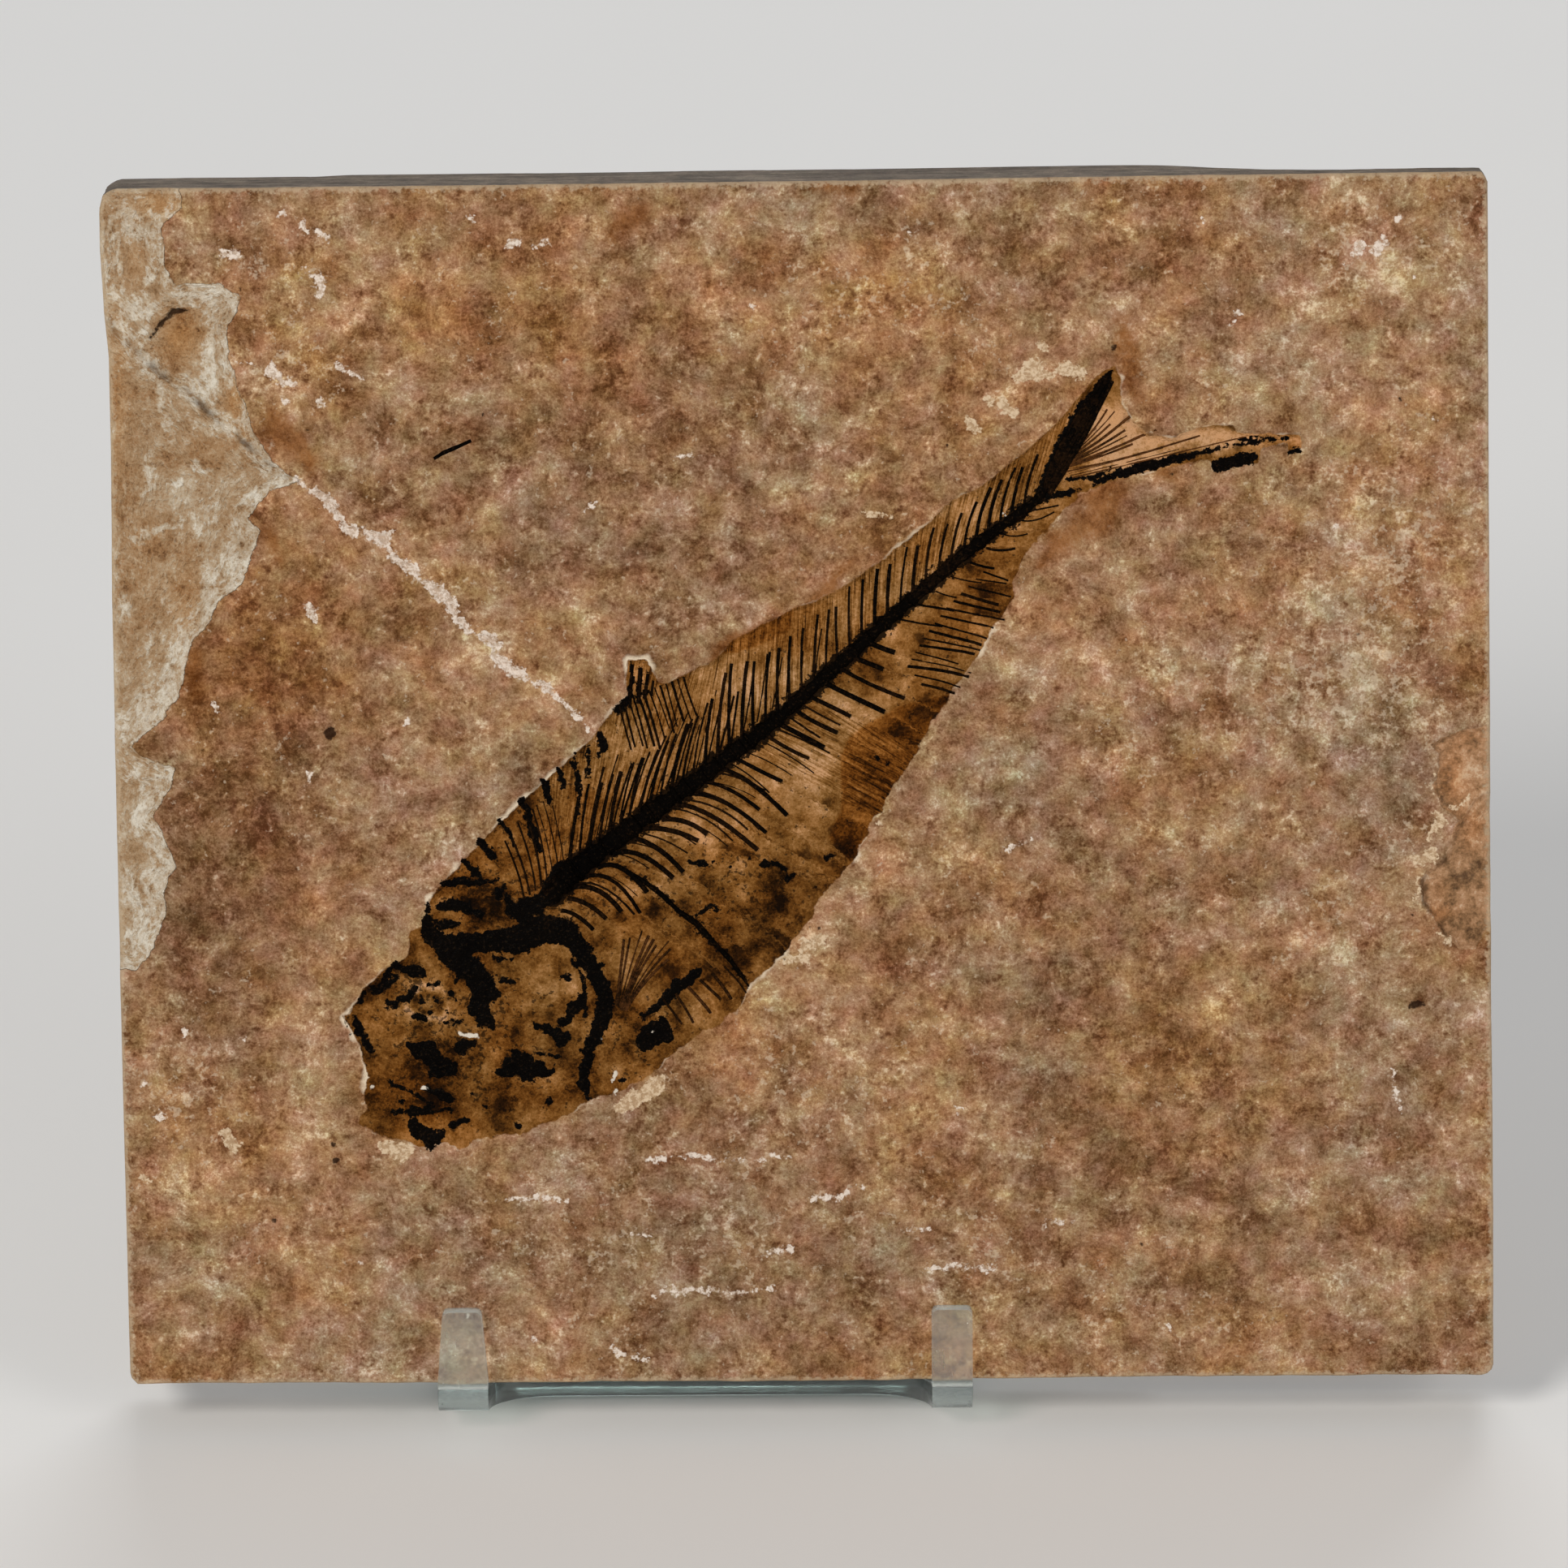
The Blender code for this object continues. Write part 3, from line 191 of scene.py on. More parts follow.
DARK_DOTS = [
    (-38.7, 54.8, 0.55), (-49.2, 53.6, 0.2), (49.8, 82.2, 0.18), (-43.8, 13.6, 0.2), (28.5, 11.1, 0.15),
    (-38.6, 18.7, 0.28), (-38.8, 20.0, 0.2), (1.0, 38.2, 0.12), (1.7, 38.1, 0.14), (-1.2, 35.6, 0.12),
    (0.0, 35.1, 0.12), (26.3, 86.6, 0.25), (51.0, 39.0, 0.14), (-45.6, 91.9, 0.1), (-46.4, 92.9, 0.15),
    (-36.2, 90.1, 0.14), (-25.7, 81.4, 0.14), (-33.9, 79.3, 0.1), (-40.2, 80.2, 0.1), (12.5, 78.6, 0.1),
    (36.5, 75.3, 0.12), (31.0, 76.0, 0.16), (-27.4, 44.4, 0.1), (50.7, 17.9, 0.12), (39.4, 5.4, 0.12),
    (33.8, 60.6, 0.1), (-44.1, 92.0, 0.1), (46.4, 62.6, 0.12),
]

# The fish
FISH_OUTLINE = [
    (-37.9, 30.6), (-37.2, 29.8), (-36.3, 27.9), (-35.8, 25.6), (-36.2, 23.3), (-36.7, 21.7), (-35.0, 20.8),
    (-32.2, 20.1), (-31.2, 19.6), (-30.2, 20.0), (-28.3, 19.6), (-27.0, 20.4), (-23.5, 20.7), (-20.5, 21.9),
    (-17.9, 23.4), (-15.2, 24.1), (-12.5, 25.6), (-10.3, 27.6), (-8.0, 29.2), (-5.4, 31.0), (-3.9, 33.3),
    (-1.5, 35.8), (0.5, 38.3), (2.3, 40.9), (4.9, 44.4), (6.3, 47.2), (8.0, 49.9), (9.8, 52.6), (11.2, 55.2),
    (13.0, 58.0), (15.0, 60.8), (16.6, 63.6), (17.8, 65.8), (18.2, 68.0), (19.6, 70.2), (21.4, 72.2),
    (23.4, 74.4), (26.4, 75.6), (28.5, 76.0), (31.0, 76.6), (33.8, 77.2), (34.2, 77.0), (34.3, 76.3),
    (38.2, 76.9), (38.4, 78.1), (40.5, 78.6), (40.7, 77.8), (41.8, 78.1), (41.7, 79.2), (36.4, 79.5),
    (35.9, 80.1), (33.2, 79.9), (31.0, 79.1), (29.2, 79.3), (27.8, 80.5), (26.9, 82.0), (26.8, 84.0),
    (26.3, 85.1), (25.3, 84.7), (23.5, 82.7), (21.3, 80.1), (19.0, 78.1), (16.0, 75.6), (12.4, 73.6),
    (11.2, 72.3), (7.8, 69.6), (4.8, 67.4), (1.8, 65.7), (-0.4, 64.9), (-3.2, 63.5), (-5.3, 62.4),
    (-6.6, 60.9), (-8.5, 59.9), (-10.6, 58.9), (-11.4, 58.9), (-12.4, 60.9), (-14.0, 60.8), (-14.1, 57.7),
    (-15.6, 56.2), (-17.0, 54.2), (-20.0, 51.5), (-23.2, 48.7), (-26.2, 45.7), (-28.8, 42.9), (-30.5, 41.0),
    (-31.2, 38.6), (-32.4, 37.4), (-32.6, 36.0), (-34.6, 34.8), (-36.3, 33.1),
]
BED_DEPTH = 0.38
BED_WALLS = (0.25, 0.9)
BELLY_RISE = 0.18
BELLY_RISE_WIDTH = 5.0
GILL_PLATE = ((-21.4, 33.5), (3.7, 3.5))
EYE = ((-30.8, 32.0), (1.9, 1.6))
RIBBING = 0.62
DARK_BELLY_OUTLINE = [
    (12.4, 57.6), (8.5, 56.7), (5.5, 55.1), (4.2, 54.0), (3.7, 52.6), (3.7, 48.1), (2.6, 45.8), (4.4, 43.6),
    (6.3, 47.2), (9.8, 52.6), (13.0, 58.0),
]
DARK_BACK_OUTLINE = [
    (-6.5, 61.2), (-5.3, 62.6), (-3.2, 63.7), (-0.2, 65.2), (-0.6, 63.1), (-3.2, 61.9), (-5.0, 61.3),
]
BACKBONE = [
    (-20.4, 41.0, 0.95), (-18.9, 42.9, 1.1), (-16.7, 44.5, 1.0), (-13.1, 47.2, 0.95), (-10.6, 49.0, 0.9),
    (-8.1, 50.8, 0.88), (-5.8, 52.6, 0.82), (-3.5, 54.2, 0.8), (-1.3, 56.0, 0.75), (1.0, 58.1, 0.72),
    (3.3, 60.1, 0.7), (5.5, 62.1, 0.68), (9.1, 65.3, 0.64), (11.4, 67.3, 0.62), (13.6, 69.2, 0.6),
    (15.9, 71.0, 0.56), (18.2, 72.6, 0.5), (20.2, 74.2, 0.5), (20.9, 75.2, 0.35),
]
VERTEBRAE = 36

# Dark bone in the skull, round the gill cover, along the nape and in the tail
SKULL_STROKES = [
    [(-31.0, 40.3, 0.25), (-30.9, 38.9, 0.45), (-30.6, 37.6, 0.65), (-29.5, 36.8, 0.85), (-27.6, 36.9, 0.85),
     (-25.7, 37.1, 0.95), (-23.5, 37.4, 1.1), (-20.9, 38.1, 1.2), (-19.6, 38.1, 1.0), (-18.5, 36.9, 0.8)],
    [(-22.9, 40.0, 0.55), (-21.6, 40.0, 0.8), (-20.6, 41.2, 0.9), (-19.4, 42.8, 1.0)],
    [(-24.2, 40.7, 0.35), (-23.9, 39.8, 0.5), (-22.6, 39.4, 0.65)],
    [(-18.5, 36.9, 0.8), (-17.3, 35.2, 0.65), (-16.5, 33.6, 0.72), (-16.1, 32.2, 0.75), (-16.4, 30.6, 0.6),
     (-16.9, 29.2, 0.45), (-17.6, 27.3, 0.42), (-17.9, 25.8, 0.6), (-17.8, 24.5, 0.3), (-17.6, 23.8, 0.2)],
    [(-18.7, 35.6, 0.1), (-17.9, 33.9, 0.14), (-17.7, 32.2, 0.16), (-17.9, 30.4, 0.1)],
    [(-29.6, 36.7, 0.8), (-28.1, 35.5, 1.05), (-26.5, 34.1, 1.05), (-25.9, 32.8, 0.9), (-26.7, 31.5, 0.9),
     (-26.2, 30.7, 0.7), (-25.6, 30.1, 0.35)],
    [(-33.4, 35.0, 0.35), (-32.6, 34.7, 0.45), (-31.5, 34.5, 0.35)],
    [(-36.6, 32.0, 0.1), (-35.0, 33.5, 0.16), (-33.4, 35.0, 0.22)],
    [(-35.4, 32.9, 0.2), (-34.2, 33.5, 0.24), (-33.2, 34.1, 0.14)],
    [(-37.0, 31.0, 0.14), (-36.5, 29.5, 0.28), (-35.6, 27.9, 0.28)],
    [(-37.7, 30.3, 0.15), (-37.4, 29.5, 0.12)], [(-34.2, 32.0, 0.2), (-33.6, 31.6, 0.3)],
    [(-33.1, 32.2, 0.35), (-32.4, 32.7, 0.25), (-31.8, 33.1, 0.15)],
    [(-32.0, 31.0, 0.25), (-31.3, 30.7, 0.38)], [(-30.1, 32.0, 0.3)],
    [(-28.8, 32.7, 0.22), (-28.4, 32.0, 0.15)], [(-30.8, 33.5, 0.22), (-30.0, 33.6, 0.14)],
    [(-29.2, 31.0, 0.2)], [(-31.3, 32.2, 0.2)], [(-30.6, 31.2, 0.14)],
    [(-29.6, 30.3, 0.12), (-28.2, 30.2, 0.15)], [(-28.6, 33.9, 0.2)],
    [(-32.4, 28.4, 0.4), (-31.6, 28.0, 0.7), (-30.8, 27.7, 0.85), (-30.1, 26.7, 0.85), (-29.0, 26.5, 0.5)],
    [(-28.2, 28.1, 0.45), (-27.2, 28.5, 0.4)],
    [(-24.6, 26.2, 0.5), (-23.9, 26.6, 0.95), (-23.2, 26.8, 1.05), (-22.3, 26.1, 0.9), (-21.2, 26.1, 0.5),
     (-20.4, 26.4, 0.15)],
    [(-22.0, 27.9, 0.12), (-21.0, 27.4, 0.2), (-20.0, 27.2, 0.16)],
    [(-31.0, 24.8, 0.3), (-29.9, 24.2, 0.48), (-28.9, 23.6, 0.25)],
    [(-32.2, 21.8, 0.45), (-31.4, 21.0, 0.6), (-30.8, 20.3, 0.65), (-29.8, 20.9, 0.35)],
    [(-33.8, 22.8, 0.12), (-31.2, 22.7, 0.22), (-28.6, 22.9, 0.12)],
    [(-28.8, 21.7, 0.35), (-27.9, 22.0, 0.35)], [(-23.4, 21.6, 0.34)], [(-20.9, 23.5, 0.28)],
    [(-34.0, 22.8, 0.3)], [(-26.9, 24.2, 0.2)], [(-33.2, 23.6, 0.2)],
    [(-34.2, 25.3, 0.08), (-32.2, 24.5, 0.1), (-30.4, 23.0, 0.08)], [(-26.0, 23.0, 0.16)],
    [(-19.4, 24.6, 0.18)],
    [(-21.9, 30.1, 0.25), (-20.7, 29.4, 0.45), (-19.4, 29.2, 0.45), (-19.8, 28.5, 0.4)],
    [(-19.6, 30.1, 0.3), (-18.7, 31.5, 0.55), (-18.0, 32.4, 0.4)], [(-19.4, 34.1, 0.42)],
    [(-25.2, 35.7, 0.1), (-23.9, 35.6, 0.18)], [(-24.8, 34.0, 0.1), (-23.6, 33.8, 0.18)],
    [(-12.9, 28.4, 0.6), (-12.2, 29.2, 0.95), (-11.2, 29.2, 0.85), (-11.4, 30.1, 0.45)],
    [(-14.9, 25.0, 0.2), (-14.5, 25.4, 0.28)],
    [(-13.0, 30.8, 0.25), (-11.6, 31.7, 0.4), (-10.3, 32.9, 0.45), (-9.0, 33.9, 0.45), (-8.3, 34.8, 0.2)],
]
NAPE_STROKES = [
    [(-29.5, 42.2, 0.3), (-28.2, 42.1, 0.38), (-26.6, 42.2, 0.28), (-24.9, 42.3, 0.12)],
    [(-29.7, 40.2, 0.4), (-28.6, 40.3, 0.42), (-27.4, 40.0, 0.38), (-26.4, 39.5, 0.25)],
    [(-27.8, 44.2, 0.2), (-26.9, 43.1, 0.26), (-26.2, 42.6, 0.14)],
    [(-29.9, 38.6, 0.35), (-28.4, 38.5, 0.3)],
    [(-26.2, 45.6, 0.34), (-25.4, 44.6, 0.32), (-24.8, 43.9, 0.12)],
    [(-25.0, 41.2, 0.3), (-24.3, 41.8, 0.2)],
    [(-24.6, 47.2, 0.28), (-24.0, 46.2, 0.26), (-23.5, 45.2, 0.12)],
    [(-22.8, 49.2, 0.24), (-22.3, 47.4, 0.26), (-21.7, 45.6, 0.24), (-21.4, 44.6, 0.1)],
    [(-21.0, 50.5, 0.3), (-20.7, 49.4, 0.28), (-20.4, 48.4, 0.12)], [(-19.7, 51.4, 0.3), (-19.5, 50.3, 0.2)],
    [(-18.4, 52.7, 0.2), (-18.2, 50.2, 0.2), (-18.2, 48.0, 0.16)],
    [(-17.3, 53.4, 0.18), (-17.3, 51.0, 0.16)],
    [(-16.4, 54.5, 0.22), (-16.0, 53.8, 0.36), (-16.3, 52.8, 0.14)],
]
TAIL_STROKES = [
    [(20.5, 74.6, 0.55), (21.4, 76.6, 0.75), (22.7, 79.0, 0.95), (23.9, 81.1, 0.9), (25.1, 83.0, 0.55),
     (26.0, 84.5, 0.18)],
    [(24.6, 75.3, 0.14), (26.6, 76.1, 0.34), (28.5, 76.55, 0.38), (30.2, 77.0, 0.36), (32.1, 77.45, 0.3),
     (33.6, 77.8, 0.16), (36.0, 78.3, 0.1), (40.6, 79.0, 0.12)],
    [(34.8, 76.7, 0.5), (37.5, 77.3, 0.48)], [(40.5, 77.5, 0.24), (41.3, 77.8, 0.3)], [(28.4, 75.2, 0.28)],
    [(22.4, 75.6, 0.1), (24.6, 75.8, 0.14), (26.0, 76.4, 0.12)],
    [(20.6, 74.2, 0.3), (22.2, 74.4, 0.22), (23.4, 74.8, 0.12)], [(36.4, 78.8, 0.08), (40.8, 79.0, 0.08)],
]
DORSAL_FIN_STROKES = [
    [(-13.6, 60.5, 0.1), (-13.7, 58.6, 0.16), (-14.0, 57.3, 0.26), (-14.7, 56.6, 0.4)],
    [(-12.85, 60.4, 0.08), (-13.0, 58.6, 0.14), (-13.3, 57.6, 0.18)],
    [(-12.3, 59.8, 0.07), (-12.5, 58.4, 0.13), (-12.7, 57.6, 0.14)],
    [(-11.9, 58.6, 0.06), (-11.9, 57.9, 0.1)],
]
BODY_SPOTS = [
    [(-8.9, 43.8, 0.12), (-8.1, 43.5, 0.22), (-7.5, 43.6, 0.12)], [(-6.9, 43.7, 0.1)], [(-5.7, 43.2, 0.1)],
    [(-2.9, 43.6, 0.25), (-1.8, 43.4, 0.2), (-1.1, 43.0, 0.2)], [(-0.9, 42.3, 0.3), (-0.4, 42.5, 0.2)],
    [(2.7, 44.1, 0.3), (3.2, 44.4, 0.2)], [(-8.5, 38.9, 0.15), (-7.6, 39.7, 0.18), (-6.6, 40.0, 0.18)],
    [(6.6, 52.5, 0.2)], [(7.2, 51.9, 0.12)], [(-10.4, 46.0, 0.1)], [(-4.2, 43.8, 0.15)],
]

# Rows of bones: root, middle and tip of each bone, or of the first and last of a run with their numbers
RIBS = [
    ((-19.4, 39.7), (-18.2, 39.2), (-16.9, 38.1)), ((-18.8, 40.7), (-17.4, 40.1), (-16.0, 38.9)),
    ((-18.4, 41.7), (-16.5, 41.3), (-14.7, 39.6)), ((-17.4, 42.6), (-15.1, 42.1), (-12.9, 39.3)),
    ((-16.2, 43.5), (-14.4, 43.2), (-12.4, 41.2)), ((-14.9, 44.6), (-12.8, 44.2), (-10.4, 42.3)),
    ((-13.5, 45.8), (-11.3, 44.7), (-9.2, 42.6)), ((-12.5, 46.6), (-10.4, 46.3), (-8.2, 45.3)),
    ((-10.8, 47.4), (-8.9, 47.1), (-7.1, 46.0)), ((-9.6, 48.6), (-6.7, 47.4), (-3.1, 44.6)),
    ((-8.8, 49.5), (-5.8, 48.5), (-2.3, 45.6)), ((-7.2, 50.4), (-5.2, 49.5), (-3.0, 47.8)),
    ((-5.6, 51.4), (-3.1, 49.9), (-0.4, 47.4)), ((-4.6, 52.2), (-2.9, 51.2), (-1.2, 50.3)),
    ((-2.4, 54.3), (-0.8, 53.2), (0.9, 52.3)), ((-1.2, 55.2), (0.7, 54.2), (2.5, 53.2)),
    ((0.0, 56.4), (1.7, 55.4), (3.4, 54.6)), ((1.3, 57.5), (2.9, 56.7), (4.6, 55.8)),
    ((2.6, 58.6), (4.8, 57.4), (7.1, 56.2)), ((3.9, 59.8), (6.6, 58.4), (9.4, 57.3)),
    ((4.9, 60.8), (6.1, 60.3), (7.3, 59.8)), ((6.2, 62.0), (7.2, 61.6), (8.1, 61.3)),
]
LONG_RIB = [[
    (-14.9, 43.5, 0.1), (-13.1, 42.4, 0.2), (-11.3, 41.0, 0.24), (-9.9, 39.6, 0.22), (-8.5, 38.6, 0.28),
    (-7.2, 37.1, 0.26), (-5.8, 35.6, 0.24), (-4.8, 34.2, 0.2), (-4.1, 33.2, 0.08),
]]
NAPE_SPINES = [
    (0, (-22.8, 41.2), (-23.3, 43.4), (-24.2, 45.8)), (7, (-19.4, 43.9), (-19.8, 46.8), (-20.4, 49.6)),
]
NEURAL_SPINES = [
    (0, (-18.9, 44.4), (-18.6, 46.9), (-18.2, 49.3)), (8, (-12.2, 48.9), (-11.5, 51.6), (-10.6, 54.0)),
    (12, (-8.6, 51.6), (-8.1, 54.6), (-7.4, 57.2)), (15, (-5.6, 53.8), (-5.5, 57.5), (-5.2, 60.6)),
    (18, (-2.6, 55.9), (-2.5, 59.0), (-2.2, 61.5)), (26, (5.4, 62.6), (5.4, 65.0), (5.5, 67.4)),
    (34, (13.9, 70.2), (14.3, 72.2), (15.0, 74.0)), (39, (18.9, 74.0), (19.3, 75.9), (20.0, 77.9)),
]
BETWEEN_SPINES = [
    (0, (-18.0, 45.4), (-17.5, 48.4), (-16.8, 51.6)), (8, (-12.4, 49.2), (-11.4, 52.0), (-10.0, 55.2)),
    (13, (-8.2, 52.2), (-7.4, 55.0), (-6.3, 58.6)), (17, (-4.4, 55.0), (-4.0, 57.4), (-3.7, 60.0)),
    (22, (1.6, 60.0), (1.7, 61.5), (1.9, 63.0)),
]
HAEMAL_SPINES = [
    (0, (8.6, 64.0), (10.4, 63.6), (12.1, 63.3)), (1, (10.3, 65.2), (11.9, 64.9), (13.4, 64.6)),
    (2, (11.7, 66.3), (12.5, 66.1), (13.3, 66.0)), (3, (13.1, 67.5), (14.5, 67.2), (15.8, 67.1)),
    (4, (14.6, 68.7), (15.5, 68.5), (16.4, 68.4)), (7, (18.6, 72.2), (19.8, 72.2), (21.2, 72.8)),
    (8, (19.4, 73.0), (20.6, 73.2), (21.8, 73.4)),
]
BETWEEN_RIBS = [
    (0, (-18.1, 42.0), (-16.2, 41.6), (-14.2, 39.9)), (5, (-13.0, 46.2), (-10.9, 45.5), (-8.8, 44.2)),
    (9, (-9.2, 49.0), (-6.2, 48.0), (-3.6, 45.8)), (13, (-5.0, 51.8), (-3.2, 50.8), (-1.4, 49.4)),
    (18, (0.6, 56.9), (2.4, 56.0), (4.2, 55.2)),
]
ANAL_FIN_SUPPORTS = [
    (0, (10.6, 58.5), (11.8, 58.2), (12.9, 57.9)), (2, (9.7, 60.0), (11.8, 59.6), (13.8, 59.1)),
    (6, (11.0, 62.3), (13.1, 61.8), (15.2, 61.3)), (10, (12.9, 64.8), (14.9, 64.3), (16.7, 63.9)),
    (15, (15.7, 67.9), (16.8, 67.6), (18.0, 67.3)),
]
DORSAL_FIN_SUPPORTS = [
    (0, (-14.6, 56.6), (-14.2, 55.0), (-13.7, 53.2)), (5, (-12.6, 57.7), (-12.0, 55.9), (-11.4, 53.6)),
    (12, (-9.3, 59.0), (-8.9, 57.6), (-8.4, 56.2)),
]
DORSAL_FIN_RAYS = [
    (0, (-13.8, 57.2), (-13.65, 59.0), (-13.5, 60.6)), (1, (-13.1, 57.5), (-12.95, 59.0), (-12.8, 60.4)),
    (3, (-12.0, 57.9), (-11.9, 58.6), (-11.75, 59.2)),
]
UPPER_TAIL_RAYS = [
    (0, (20.7, 75.6), (22.2, 78.9), (25.4, 84.3)), (7, (21.5, 75.2), (23.8, 79.1), (26.1, 83.8)),
]
TAIL_RAYS = [
    (0, (23.6, 78.6), (25.1, 80.4), (26.5, 82.6)), (4, (23.2, 77.4), (25.4, 78.6), (27.6, 80.0)),
    (8, (23.0, 76.6), (26.4, 77.4), (30.4, 78.6)), (12, (24.0, 76.0), (29.4, 77.2), (35.6, 78.6)),
]
PECTORAL_FIN_RAYS = [
    (0, (-15.1, 32.2), (-14.8, 34.6), (-14.5, 37.4)), (3, (-14.6, 32.0), (-13.6, 35.0), (-12.4, 37.9)),
    (8, (-14.0, 31.8), (-12.2, 34.2), (-9.8, 36.4)),
]
BELLY_SPINES = [
    (0, (-11.0, 31.8), (-10.1, 30.6), (-9.4, 29.6)), (5, (-5.9, 34.6), (-5.0, 33.6), (-4.4, 32.8)),
]
PLANT_FRAGMENT = [[(-29.8, 77.7, 0.18), (-29.0, 78.2, 0.26), (-27.8, 78.7, 0.25), (-26.7, 79.2, 0.18)]]

# How the brown film and the stone change in tone: middle, reach across and up, and amount
FILM_TONES = [
    (-21.4, 33.4, 3.4, 3.3, 0.03), (-30.6, 31.9, 2.2, 1.7, 0.12), (-24.5, 44.5, 3.0, 3.0, 0.1),
    (-13.0, 51.5, 3.5, 3.0, 0.14), (-4.0, 58.5, 5.0, 3.0, 0.2), (7.0, 66.0, 6.0, 3.0, 0.16),
    (15.0, 73.0, 4.0, 2.5, 0.3), (-13.2, 59.4, 1.2, 1.6, 0.3), (-8.0, 46.0, 4.0, 2.5, 0.22),
    (0.0, 51.0, 4.0, 3.0, 0.3), (-28.0, 26.0, 8.0, 5.0, -0.16), (-30.0, 35.0, 5.0, 3.0, -0.1),
    (-26.5, 41.5, 4.5, 3.5, -0.22), (27.5, 78.4, 3.0, 2.4, 0.5), (5.5, 57.0, 3.0, 2.0, 0.26),
    (-13.5, 41.5, 3.0, 2.0, 0.14), (27.0, 78.6, 3.4, 2.2, 0.55), (33.0, 79.0, 5.0, 1.2, 0.5),
    (25.0, 80.0, 2.0, 2.0, 0.3), (-4.0, 36.5, 4.5, 3.5, -0.16), (-1.0, 39.5, 4.0, 3.0, -0.12),
    (-33.0, 22.5, 4.0, 2.0, -0.06), (-15.0, 31.0, 2.0, 2.0, -0.2), (-26.5, 27.5, 3.0, 2.0, 0.06),
    (-20.6, 25.2, 1.6, 1.8, 0.14), (-29.0, 38.5, 2.0, 1.6, 0.1), (12.0, 61.5, 3.0, 3.0, 0.1),
    (-34.0, 26.5, 2.0, 2.0, 0.06), (-14.5, 27.0, 2.0, 1.2, 0.08), (39.4, 79.0, 3.0, 1.0, 0.5),
    (1.8, 51.0, 1.6, 4.0, 0.1),
]
TAN_TONES = [
    (-50.4, 88.0, 1.7, 2.0, 1.0), (-46.2, 82.6, 0.9, 1.7, 0.9), (-52.2, 98.8, 2.2, 1.2, 0.8),
    (-55.9, 83.0, 1.0, 8.0, 0.6), (-53.9, 94.0, 1.1, 2.2, 0.4), (-50.6, 66.0, 1.6, 4.0, 0.45),
    (-54.0, 70.0, 1.4, 4.0, 0.3), (-45.2, 79.6, 0.9, 1.4, 0.4), (-48.6, 78.6, 2.2, 1.6, 0.3),
    (54.2, 50.2, 1.3, 2.6, 1.0), (55.9, 46.2, 1.0, 2.0, 0.9), (53.4, 38.7, 1.2, 0.9, 1.0),
    (53.2, 41.0, 0.8, 1.2, 0.4), (55.6, 53.8, 1.4, 1.2, 0.5),
]
RUST_TONES = [
    (-32.0, 24.0, 5.0, 5.0, 0.3), (-24.0, 46.0, 5.0, 5.0, 0.3), (0.0, 52.0, 5.0, 4.0, -0.3),
    (-5.0, 59.0, 6.0, 3.0, -0.15), (30.0, 78.5, 6.0, 2.5, -0.3), (18.0, 70.0, 4.0, 4.0, 0.3),
]
# Where the rim's paleness, partly painted highlight, is stronger or weaker
RIM_AND_HIGHLIGHT_TONES = [
    (-30.0, 44.0, 4.0, 4.0, 0.2), (-12.0, 61.0, 3.0, 2.0, 0.6), (15.0, 61.0, 2.5, 4.0, 0.5),
    (31.0, 80.0, 6.0, 1.5, 0.1), (16.0, 76.5, 6.0, 3.0, -0.2), (-36.5, 25.0, 2.0, 5.0, 0.3),
    (26.0, 75.0, 3.0, 1.5, -0.6), (-13.2, 60.5, 1.6, 2.0, 1.1), (-19.0, 53.0, 4.5, 4.5, 0.5),
    (-37.2, 30.0, 1.6, 3.0, 0.7), (-31.6, 38.0, 1.6, 3.0, 0.4), (-3.4, 63.2, 3.4, 2.0, -1.2),
    (21.5, 72.4, 4.0, 3.6, -1.4), (37.5, 78.4, 4.0, 2.4, -0.7), (27.0, 81.6, 2.2, 2.0, -0.4),
]
ORANGE_STROKES = [
    [(-6.8, 60.7, 0.3), (-5.0, 62.1, 0.7), (-2.8, 63.1, 0.8), (-0.8, 63.9, 0.5), (0.4, 65.0, 0.4),
     (3.0, 67.2, 0.5), (5.0, 68.9, 0.3)],
    [(24.8, 74.4, 0.8), (26.4, 74.2, 1.0), (24.6, 72.2, 1.4), (21.8, 70.2, 1.0), (20.2, 68.6, 0.5)],
    [(27.0, 88.0, 0.8), (27.3, 86.2, 0.9), (27.6, 84.0, 0.6), (28.2, 82.0, 0.4)],
    [(-42.8, 80.8, 1.0), (-41.2, 79.0, 0.9), (-40.2, 77.4, 0.6)], [(30.8, 75.9, 0.6)],
    [(-15.0, 96.0, 0.6), (-12.6, 98.2, 0.8)], [(1.4, 100.0, 0.5), (4.6, 100.0, 0.4)],
    [(-43.6, 71.8, 0.5), (-43.2, 70.0, 0.4)], [(-49.6, 61.0, 0.5), (-50.2, 58.0, 0.5)],
]
